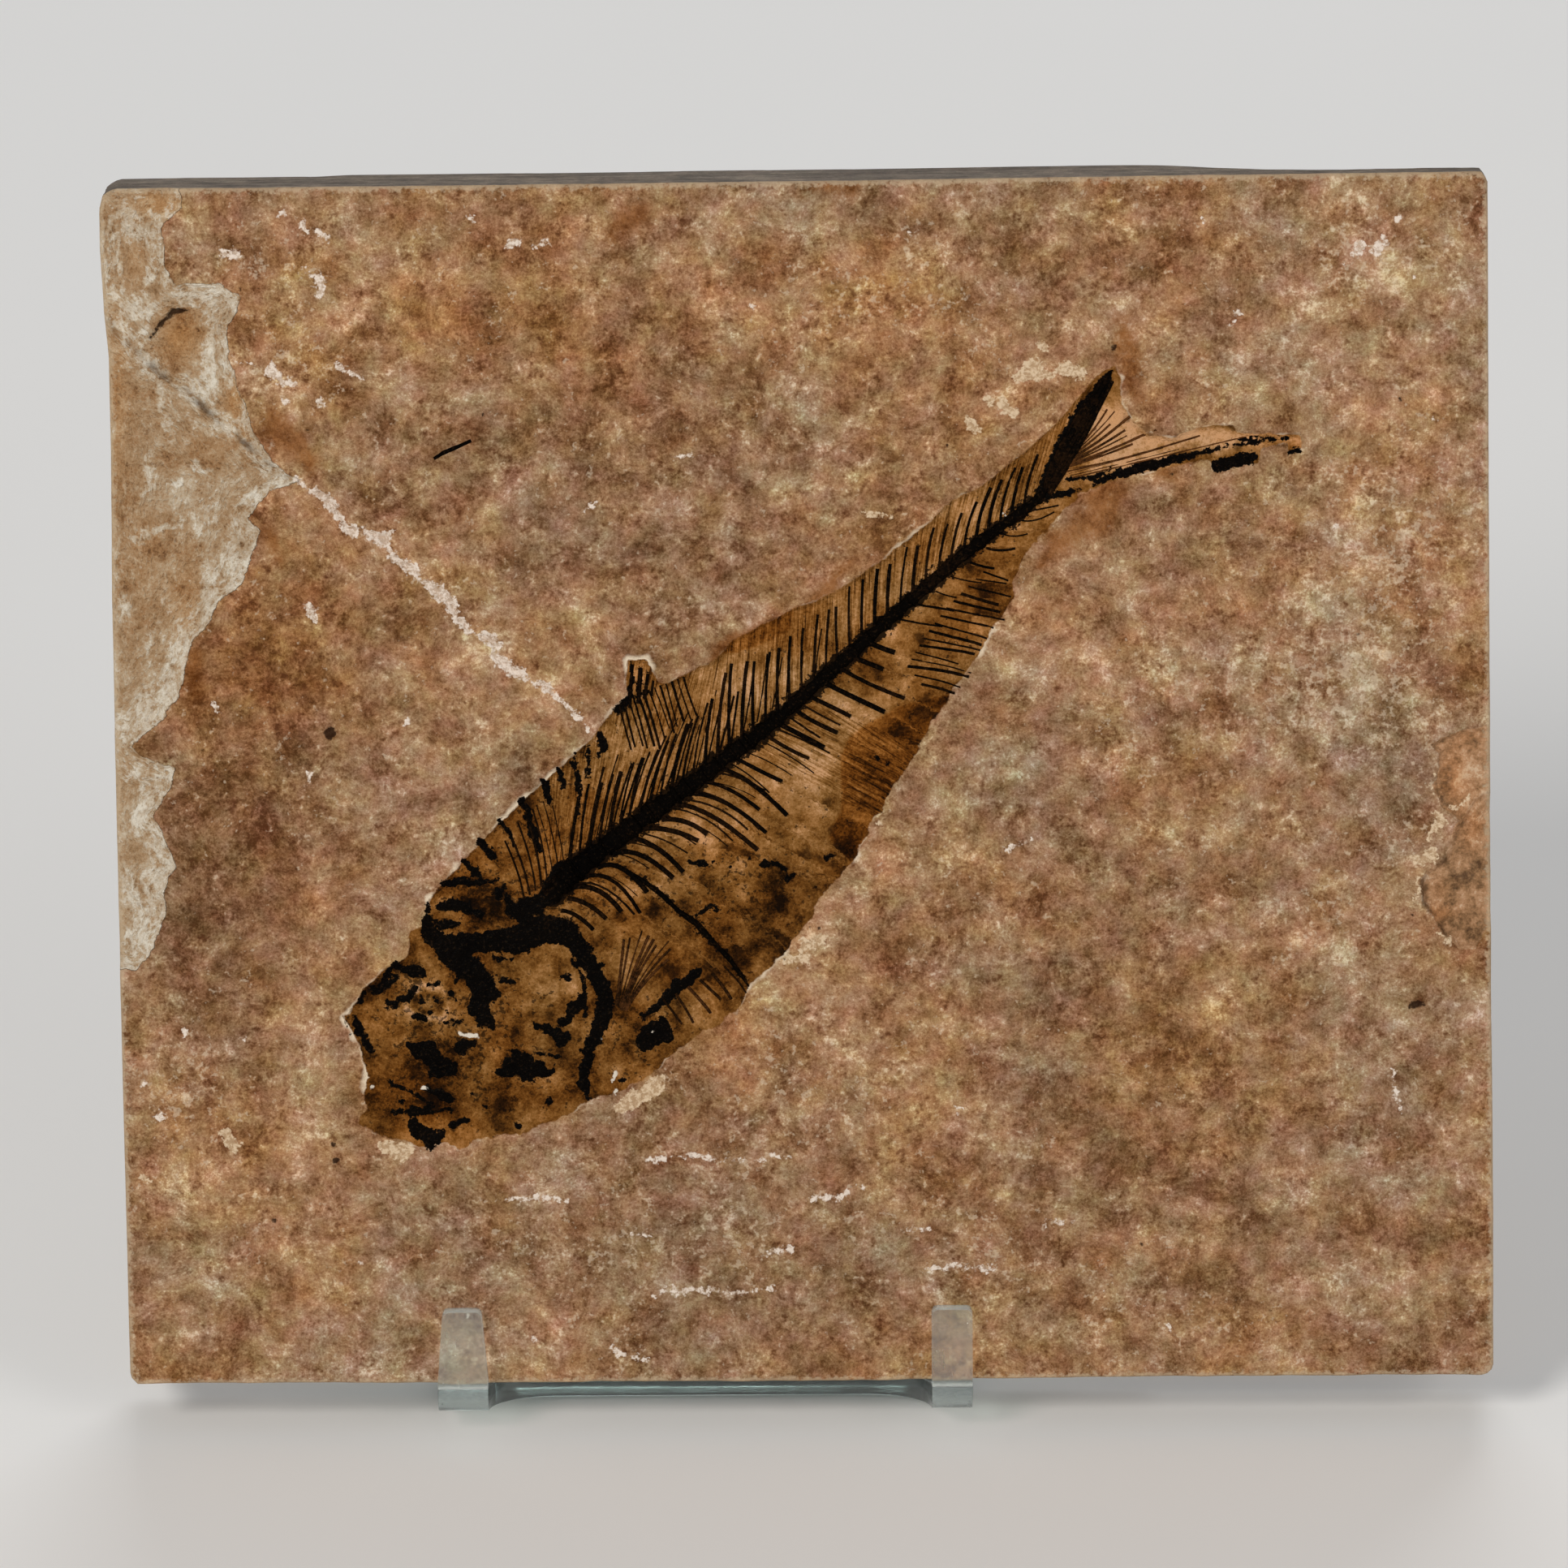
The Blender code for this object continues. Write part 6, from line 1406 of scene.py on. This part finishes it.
class Finish(Paint):
    """A material in the making: its shader, and the place, mottle and grain at each point."""

    def __init__(self, name, groups):
        self.material = bpy.data.materials.new(name)
        self.material.use_nodes = True
        super().__init__(self.material.node_tree)
        self.groups = groups
        self.shader = self.tree.nodes["Principled BSDF"]
        self.place = self.group("place", {})["Place"]
        shared = self.group("grain", {"Place": self.place})
        self.mottle, self.grain = shared["Mottle"], shared["Grain"]

    def group(self, name, inputs):
        return self.node("ShaderNodeGroup", inputs, node_tree=self.groups[name]).outputs

    def limestone(self, inputs):
        return self.group("limestone", {
            "Place": self.place, "Mottle": self.mottle, "Grain": self.grain, **inputs})["Color"]

    def bone(self, worn):
        return self.group("bone", {"Mottle": self.mottle, "Grain": self.grain, "Worn": worn})["Color"]

    def finished(self, colour, rough, specular, *relief):
        """The material, with a bump from the relief's (value, metres) pairs."""
        height = self.plus(*[self.times(value, metres) for value, metres in relief])
        bump = self.take("ShaderNodeBump", {"Height": height, "Distance": 1.0, "Strength": 1.0})
        self.fill(self.shader, {
            "Base Color": colour, "Roughness": rough, "Specular IOR Level": specular, "Normal": bump})
        return self.material


class FaceFinish(Finish):
    """The worked face: limestone, broken rock, white calcite, and the fish's film and painted bone."""

    def __init__(self, groups):
        super().__init__("limestone_face", groups)
        self.across, self.up, _ = self.apart(self.place)
        self.torn = self.noise(self.place, 0.55, 2.0, 0.75, 4)
        self.uneven = self.centred(self.torn)
        self.flaked = self.zone("flaked", 0.05, 0.35)
        self.layers = self.streaks("torn_layers", 2.4, 0.9, 0.75, 5)
        self.fish_depth = self.depth("fish", 0.35)
        self.in_fish = self.mask(self.fish_depth, -0.06, 0.1)
        self.in_bone = self.zone("bone", 0.05, 0.9)
        self.stain = self.times(self.mask(self.depth("stain", 1.7), -0.08, 0.06), self.in_fish)

    def depth(self, name, raggedness):
        """How far inside a zone of the face a point lies, in mm, unevenly."""
        return self.times_plus(self.uneven, raggedness, self.attribute(name))

    def zone(self, name, softness, raggedness):
        """1 inside a zone of the face, with a ragged edge."""
        return self.mask(self.depth(name, raggedness), -softness, softness)

    def streaks(self, name, fineness, spread, roughness, shift):
        """Noise in streaks: fine along a distance stored in mm, and drawn out over the face."""
        place = self.together(self.times(self.attribute(name), fineness), self.times(self.across, spread),
                              self.times(self.up, spread))
        return self.noise(place, 1.0, 2.0, roughness, shift)

    def bare_stone(self):
        """The limestone with its orange stains."""
        colour = self.limestone({"Tone": self.attribute("stone_tone"), "Hue": self.attribute("stone_hue"),
                                 "Flecks": self.attribute("flecks")})
        orange = self.mix(self.mask(self.mottle, 0.36, 0.62), rgb(88, 46, 14), rgb(146, 94, 50))
        return self.cover(colour, self.attribute("orange"), 0.82, orange)

    def broken_rock(self, tan):
        """The flaked left side: pale torn layers and tan floors."""
        pale = self.attribute("rock_tone")
        layered = self.times(self.centred(self.layers), self.times_plus(pale, 1.3, 0.3))
        rock = self.ramp(
            self.plus(self.times(pale, 0.42), layered, self.centred(self.mottle, 1.8),
                      self.centred(self.grain, 0.4), 0.32),
            (0.0, 92, 66, 44), (0.22, 146, 115, 82), (0.44, 166, 137, 105), (0.7, 186, 168, 143),
            (0.98, 214, 204, 186))
        rock = self.cover(rock, tan, 0.8, (1.12, 0.86, 0.56, 1.0), "MULTIPLY")
        creamy = self.plus(pale, self.centred(self.torn, 1.8), layered)
        cream = self.mix(self.mask(self.mottle, 0.38, 0.6), rgb(170, 150, 124), rgb(222, 215, 200))
        rock = self.cover(rock, self.mask(creamy, 0.5, 0.74), 0.5, cream)
        rusted = self.times(self.mask(self.torn, 0.42, 0.34), self.mask(self.mottle, 0.56, 0.44))
        rock = self.cover(rock, rusted, 0.55, rgb(112, 82, 56))
        pinkish = self.times(self.mask(self.mottle, 0.46, 0.4), self.mask(pale, 0.6, 0.4))
        return self.cover(rock, pinkish, 0.5, (1.02, 0.86, 0.74, 1.0), "MULTIPLY")

    def chip_rock(self, tan):
        """The chips in the right edge."""
        value = self.plus(self.attribute("chip_tone"), self.centred(self.torn, 1.3),
                          self.centred(self.mottle, 1.3))
        rock = self.ramp(value, (0.0, 82, 60, 42), (0.25, 122, 92, 64), (0.5, 158, 120, 86),
                         (0.72, 182, 142, 108), (0.95, 206, 178, 148))
        return self.cover(rock, tan, 0.9, (1.0, 0.78, 0.58, 1.0), "MULTIPLY")

    def with_marks(self, colour):
        """The colour with the pale marks, dark spots, painted shadow along the undercut, and pale worn
        arris.
        """
        speckled = self.mask(self.plus(self.torn, self.centred(self.grain, 0.5)), 0.38, 0.64)
        cream = self.mix(speckled, rgb(180, 150, 116), rgb(222, 198, 166))
        white = self.mix(speckled, rgb(194, 172, 152), rgb(236, 222, 208))
        colour = self.cover(colour, self.zone("cream", 0.09, 1.2), 0.88, cream)
        colour = self.cover(colour, self.zone("white", 0.12, 1.35), 0.9, white)
        # Near-black: the dark spots, and painted shadow along the undercut
        colour = self.cover(colour, self.zone("spots", 0.08, 0.5), 0.9, rgb(34, 19, 12))
        arris = self.mask(self.depth("arris", 1.6), 0.55, 0.1)
        return self.cover(colour, arris, 0.6, rgb(196, 174, 144))

    def film(self):
        """The brown film over the fish, streaked along its bones."""
        streak = self.streaks("streak_run", 4.4, 0.3, 0.7, 6)
        tone = self.plus(self.attribute("film_tone"), self.centred(streak, 1.2),
                         self.centred(self.mottle, 1.3), self.centred(self.grain, 0.5))
        film = self.ramp(tone, (0.0, 18, 9, 3), (0.2, 56, 32, 9), (0.4, 98, 62, 23), (0.58, 127, 88, 43),
                         (0.8, 160, 118, 73), (1.0, 196, 152, 112))
        film = self.cover(film, self.attribute("film_orange"), 0.75, (1.1, 0.8, 0.42, 1.0), "MULTIPLY")
        return self.cover(film, self.mask(streak, 0.4, 0.33), 0.5, rgb(28, 15, 6))

    def with_fish(self, colour):
        """The colour with the fish's pale worn rim and its painted highlight, its film, and its dark stain,
        crumbs and bone.
        """
        # The pale rim: broken stone, with painted highlight along the wall of the back
        rim = self.attribute("rim")
        reach = self.times_plus(rim, -0.45, -0.1)
        rim = self.times(self.mask(self.fish_depth, reach, -0.05), rim)
        colour = self.cover(colour, rim, 1.0, rgb(222, 204, 178))
        colour = self.mix(self.in_fish, colour, self.film())
        colour = self.cover(colour, self.stain, 0.95, rgb(8, 5, 3))
        crumbs = self.mask(self.times_plus(self.attribute("crumbs"), -0.2, self.torn), 0.35, 0.25)
        colour = self.cover(colour, self.times(crumbs, self.in_fish), 0.75, rgb(16, 9, 5))
        colour = self.mix(self.in_bone, colour, self.bone(0.1))
        calcite = self.times(self.zone("white", 0.06, 0.4), self.in_fish)
        return self.mix(calcite, colour, rgb(216, 206, 190))

    def made(self):
        """The material, with all its layers laid on in turn."""
        tan = self.attribute("tan")
        colour = self.mix(self.flaked, self.bare_stone(), self.broken_rock(tan))
        colour = self.cover(colour, self.zone("chipped", 0.05, 0.4), 0.9, self.chip_rock(tan))
        # Painted shadow, with dirt, along the foot of the broken edges
        colour = self.cover(colour, self.attribute("painted_crease_shade"), 0.75, rgb(64, 42, 26))
        colour = self.with_fish(self.with_marks(colour))
        dark = self.calc("MAXIMUM", self.in_bone, self.stain)
        rough = self.minus(self.minus(0.9, self.times(self.in_fish, 0.15)), self.times(dark, 0.25))
        return self.finished(colour, rough, 0.02, (self.torn, 0.00016), (self.grain, 0.00009),
                             (self.times(self.flaked, self.layers), 0.00035))


def sawn_material(groups):
    """The sawn edges: grey limestone, kept dark as painted shade, with fine bedding lines and faint saw
    marks.
    """
    paint = Finish("limestone_sawn", groups)
    bedding = paint.take("ShaderNodeMapping", {"Vector": paint.place, "Scale": (0.05, 0.05, 1.0)})
    lines = paint.noise(bedding, 0.5, 3.0, 0.8, 7)
    # The grey is the sawn stone's own, made darker as painted shade
    grey = paint.ramp(paint.plus(lines, paint.centred(paint.mottle, 0.9)), (0.25, 76, 72, 66),
                      (0.45, 104, 99, 91), (0.6, 128, 121, 110), (0.8, 160, 152, 138))
    colour = paint.mix(0.18, grey, paint.limestone({"Tone": -1.0}))
    arris = paint.plus(paint.centred(paint.mottle, 2.4), paint.apart(paint.place)["Z"])
    colour = paint.cover(colour, paint.mask(arris, -0.8, -0.2), 0.7, rgb(158, 138, 112))
    return paint.finished(colour, 0.85, 0.2, (lines, 0.0002), (paint.grain, 0.00008))


def split_material(groups):
    """The split back: paler, dusty limestone with the edges of thin layers."""
    paint = Finish("limestone_split", groups)
    layers = paint.noise(paint.place, 3.4, 5.0, 0.72, 8)
    dusted = paint.mask(paint.plus(layers, paint.centred(paint.mottle, 0.8)), 0.3, 0.72)
    stone = paint.limestone({"Tone": 0.6, "Flecks": 0.5})
    colour = paint.cover(stone, dusted, 0.7, rgb(196, 172, 140))
    return paint.finished(colour, 0.9, 0.2, (layers, 0.0012), (paint.grain, 0.0001))


def bone_material(groups):
    """The separate bones, darkest at the root and rusty towards the tip."""
    paint = Finish("fossil_bone", groups)
    worn = paint.times_plus(paint.attribute("shade"), 0.3, paint.times(paint.attribute("along"), 0.7))
    rough = paint.times_plus(paint.mottle, 0.3, 0.45)
    return paint.finished(paint.bone(worn), rough, 0.01, (paint.mottle, 0.0003), (paint.grain, 0.00012))


def plastic_material(groups):
    """Clear acrylic sheet: polished, faintly green through its length, dusty, and hazy at the lips."""
    paint = Finish("clear_acrylic", groups)
    long_way = paint.take("ShaderNodeMapping", {
        "Vector": paint.place, "Scale": (1.0, 0.12, 1.0), "Rotation": (0.0, 0.0, 0.2)})
    scratches = paint.mask(paint.noise(long_way, 0.35, 1.0, 0.5, 9), 0.6, 0.7)
    at_lips = paint.mask(paint.apart(paint.place)["Z"], -0.5, 1.0)
    rough = paint.times_plus(at_lips, paint.times_plus(paint.mottle, 0.16, 0.08), 0.03)
    rough = paint.times_plus(scratches, 0.08, rough)
    dust = paint.mask(paint.noise(paint.place, 0.5, 2.0, 0.7, 10), 0.64, 0.8)
    colour = paint.cover(rgb(232, 236, 234), dust, 0.3, rgb(206, 204, 196))
    material = paint.finished(colour, rough, 0.5, (paint.mottle, 0.00004))
    paint.fill(paint.shader, {"Transmission Weight": 0.93, "IOR": 1.49})
    lamp_light = paint.take("ShaderNodeBsdfTransparent", {"Color": (0.7, 0.74, 0.73, 1.0)})
    shadow_ray = paint.node("ShaderNodeLightPath").outputs["Is Shadow Ray"]
    surface = paint.take("ShaderNodeMixShader", {0: shadow_ray, 1: paint.shader.outputs[0], 2: lamp_light})
    tint = paint.take("ShaderNodeVolumeAbsorption", {"Color": (0.72, 0.9, 0.86, 1.0), "Density": 22.0})
    paint.fill(paint.tree.nodes["Material Output"], {"Surface": surface, "Volume": tint})
    return material


def floor_material():
    """A plain pale studio floor."""
    material = bpy.data.materials.new("studio_floor")
    material.use_nodes = True
    paint = Paint(material.node_tree)
    where = paint.node("ShaderNodeTexCoord").outputs["Object"]
    mottle = paint.node("ShaderNodeTexNoise", {"Vector": where, "Scale": 9.0, "Detail": 4.0}).outputs["Fac"]
    colour = paint.mix(mottle, (0.84, 0.83, 0.81, 1.0), (0.87, 0.86, 0.84, 1.0))
    paint.fill(paint.tree.nodes["Principled BSDF"], {
        "Base Color": colour, "Roughness": 0.75, "Specular IOR Level": 0.2})
    return material


def lean_back(v, w):
    """(y, z) in mm, from the face's own origin, of a point of the face's coordinates."""
    return np.array((v * math.sin(LEAN) - w * math.cos(LEAN), v * math.cos(LEAN) + w * math.sin(LEAN)))


def direction(angle):
    return np.array((math.cos(angle), math.sin(angle)))


class SheetPath:
    """The middle line of the bent sheet in side view, from the lips' tops to the end of the leg.

    A stop is kept at each end of a straight run and along the arcs: how far it has come, where it is as
    (y, z) from the face's own origin, and which way it heads.
    """

    def __init__(self):
        half = SHEET / 2
        bend = LOWER_BEND_RADIUS + half
        fold = FOLD_RADIUS + half
        seat_v = BOTTOM_V - CONTACT_GAP
        back_w = -THICKNESS - CONTACT_GAP
        bend_v = seat_v + LOWER_BEND_RADIUS
        bend_w = (CONTACT_GAP - LOWER_BEND_RADIUS, back_w + LOWER_BEND_RADIUS)
        self.table = lean_back(bend_v, bend_w[1])[1] - LOWER_BEND_RADIUS - SHEET
        self.position = lean_back(LIP_TOP, CONTACT_GAP + half)
        self.heading = -math.pi / 2 - LEAN
        self.travelled = 0.0
        self.stops = []
        self.stop()
        self.straight(LIP_TOP - bend_v)
        self.turn(bend, math.pi / 2, BEND_STEPS)
        self.seat_start = self.travelled
        self.straight(bend_w[0] - bend_w[1])
        self.turn(bend, math.pi / 2, BEND_STEPS)
        self.straight(FOLD_TOP - SHEET - FOLD_RADIUS - bend_v)
        fold_centre = self.position - fold * self.left()
        to_end = np.array((LEG_REACH, self.table)) - fold_centre
        away = float(np.linalg.norm(to_end))
        leg_heading = math.atan2(to_end[1], to_end[0]) - math.asin(fold / away)
        self.turn(fold, leg_heading - self.heading, FOLD_STEPS)
        self.straight(math.sqrt(away ** 2 - fold ** 2))

    def left(self):
        """The direction to the left of the way it heads: towards the slab, then out of the leg."""
        return direction(self.heading + math.pi / 2)

    def stop(self):
        self.stops.append((self.travelled, self.position, self.heading))

    def straight(self, length):
        self.position = self.position + length * direction(self.heading)
        self.travelled += length
        self.stop()

    def turn(self, radius, angle, steps):
        """An arc to the left, or to the right if the angle is negative."""
        side = math.copysign(1.0, angle)
        for _ in range(steps):
            centre = self.position + side * radius * self.left()
            self.heading += angle / steps
            self.position = centre - side * radius * self.left()
            self.travelled += radius * abs(angle) / steps
            self.stop()

    def place(self, travelled, offset):
        """(y, z) of a point of the sheet, offset to the left of the middle line, with the leg cut level."""
        distances = [s[0] for s in self.stops]
        y = np.interp(travelled, distances, [s[1][0] for s in self.stops])
        z = np.interp(travelled, distances, [s[1][1] for s in self.stops])
        heading = np.interp(travelled, distances, [s[2] for s in self.stops])
        point = np.array((y, z)) + offset * direction(heading + math.pi / 2)
        if travelled >= distances[-1] - MERGE_DISTANCE:
            point = point + direction(heading) * (self.table - point[1]) / math.sin(heading)
        return point


def notched_pattern(notch_depth, length):
    """The flat sheet's outline as (u, distance from the lips' tops), from the left lip's top."""
    left, right = STRIP_SIDES
    inner_left, inner_right = LIP_INNER_SIDES
    arc = [math.pi / 2 * i / BEND_STEPS for i in range(BEND_STEPS + 1)]
    start = notch_depth - NOTCH_RADIUS
    inwards = [NOTCH_RADIUS * (1 - math.cos(a)) for a in arc]
    depths = [start + NOTCH_RADIUS * math.sin(a) for a in arc]
    left_arc = [(inner_left + i, d) for i, d in zip(inwards, depths)]
    right_arc = [(inner_right - i, d) for i, d in zip(inwards, depths)]

    def corner(u, d, turn_u, turn_d):
        """A rounded corner at (u, d), from the side that runs along d to the side that runs along u."""
        return [(u + turn_u * LIP_CORNER * (1 - math.cos(a)), d + turn_d * LIP_CORNER * (1 - math.sin(a)))
                for a in (0.0, math.pi / 6, math.pi / 3, math.pi / 2)]

    left_top, inner_top = LEFT_LIP_TOP
    return (
        corner(left_top, 0.0, 1, 1)[::-1] + [(left, LIP_TOP), (left, length), (right, length)]
        + corner(right, 0.0, -1, 1) + corner(inner_right, 0.0, 1, 1)[::-1]
        + right_arc + left_arc[::-1] + [(inner_left, LIP_TOP)] + corner(inner_top, 0.0, -1, 1)
    )


def make_easel(material):
    """The flat pattern cut along the stops of the bends, bent, and given softly polished edges."""
    path = SheetPath()
    notch_depth = path.seat_start + CONTACT_GAP - LOWER_BEND_RADIUS - NOTCH_W
    points = notched_pattern(notch_depth, path.travelled)
    edges = loop_edges([len(points)])
    left, right = STRIP_SIDES[0] - LINE_OVERHANG, STRIP_SIDES[1] + LINE_OVERHANG
    for stop, _, _ in path.stops[1:-1]:
        lines = [(left, right)]
        if stop < notch_depth:
            lines = [(left, LIP_INNER_SIDES[0] + LINE_OVERHANG), (LIP_INNER_SIDES[1] - LINE_OVERHANG, right)]
        for start, end in lines:
            points += [(start, stop), (end, stop)]
            edges.append((len(points) - 2, len(points) - 1))
    flat, triangles = triangles_of(points, edges)
    x0, y0, z0 = FACE_ORIGIN
    bm = bmesh.new()
    front, rear = {}, {}
    for side, offset in ((front, SHEET / 2), (rear, -SHEET / 2)):
        for i in sorted({i for t in triangles for i in t}):
            y, z = path.place(flat[i][1], offset)
            side[i] = bm.verts.new(Vector((x0 + flat[i][0], y0 + y, z0 + z)) * MM)
    for a, b, c in triangles:
        bm.faces.new((front[a], front[b], front[c]))
        bm.faces.new((rear[c], rear[b], rear[a]))
    loop = boundary_loop(triangles)
    for a, b in zip(loop, loop[1:] + loop[:1]):
        bm.faces.new((front[b], front[a], rear[a], rear[b]))
    bmesh.ops.recalc_face_normals(bm, faces=bm.faces)
    bmesh.ops.dissolve_limit(bm, angle_limit=FLAT_ANGLE, verts=bm.verts, edges=bm.edges)
    sharp = [e for e in bm.edges if len(e.link_faces) == 2 and e.calc_face_angle() > CUT_EDGE_ANGLE]
    bmesh.ops.bevel(bm, geom=sharp, offset=POLISHED_EDGE * MM, segments=3, profile=0.5, affect="EDGES",
                    clamp_overlap=True)
    bmesh.ops.triangulate(bm, faces=[f for f in bm.faces if len(f.verts) > 4])
    mesh = bpy.data.meshes.new("easel_sheet")
    bm.to_mesh(mesh)
    bm.free()
    mesh.shade_smooth()
    mesh.set_sharp_from_angle(angle=SHADED_SHARP_ANGLE)
    mesh.materials.append(material)
    return put("easel_sheet", mesh)


def make_stage():
    """The floor, the lamps and the room's own light."""
    bpy.ops.mesh.primitive_plane_add(size=FLOOR_SIZE)
    floor = bpy.context.object
    floor.name = "studio_floor"
    floor.data.materials.append(floor_material())
    target = one_to_world(*LAMP_TARGET)
    for name, place, size, watts, colour in LAMPS:
        light = bpy.data.lights.new(name, "AREA")
        light.shape, light.size, light.energy, light.color = "DISK", size, watts, colour
        lamp = put(name, light)
        lamp.location = place
        lamp.rotation_euler = (target - Vector(place)).to_track_quat("-Z", "Y").to_euler()
    world = bpy.data.worlds.new("pale_room")
    world.use_nodes = True
    Wiring(world.node_tree).fill(world.node_tree.nodes["Background"], {
        "Color": ROOM_LIGHT, "Strength": ROOM_STRENGTH})
    bpy.context.scene.world = world
    bpy.context.scene.view_settings.view_transform = "Standard"


def make_camera():
    back = math.sin(CAMERA_RISE) * UP + math.cos(CAMERA_RISE) * OUT
    level_up = np.cross(back, RIGHT)
    right = math.cos(CAMERA_ROLL) * RIGHT - math.sin(CAMERA_ROLL) * level_up
    up = math.sin(CAMERA_ROLL) * RIGHT + math.cos(CAMERA_ROLL) * level_up
    place = one_to_world(*AIM) + Vector(back) * CAMERA_DISTANCE * MM
    lens = bpy.data.cameras.new("camera")
    lens.sensor_width = SENSOR
    lens.lens = SENSOR * PIXELS_PER_MM * CAMERA_DISTANCE / PHOTO_SIDE
    lens.clip_start, lens.clip_end = CAMERA_CLIP
    camera = put("camera", lens)
    camera.matrix_world = Matrix.Translation(place) @ Matrix((right, up, back)).transposed().to_4x4()
    bpy.context.scene.camera = camera


def main():
    groups = {"place": face_millimetres_group(), "grain": grain_group(), "limestone": limestone_group(),
              "bone": bone_group()}
    stone = make_stone()
    for material in (FaceFinish(groups).made(), sawn_material(groups), split_material(groups)):
        stone.data.materials.append(material)
    bones = make_bones(stone, bone_material(groups))
    easel = make_easel(plastic_material(groups))
    for piece in [stone] + bones:
        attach(piece, "root")
        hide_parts("fossil_slab")
    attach(easel, "root")
    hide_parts("display_easel")
    make_stage()
    make_camera()


main()
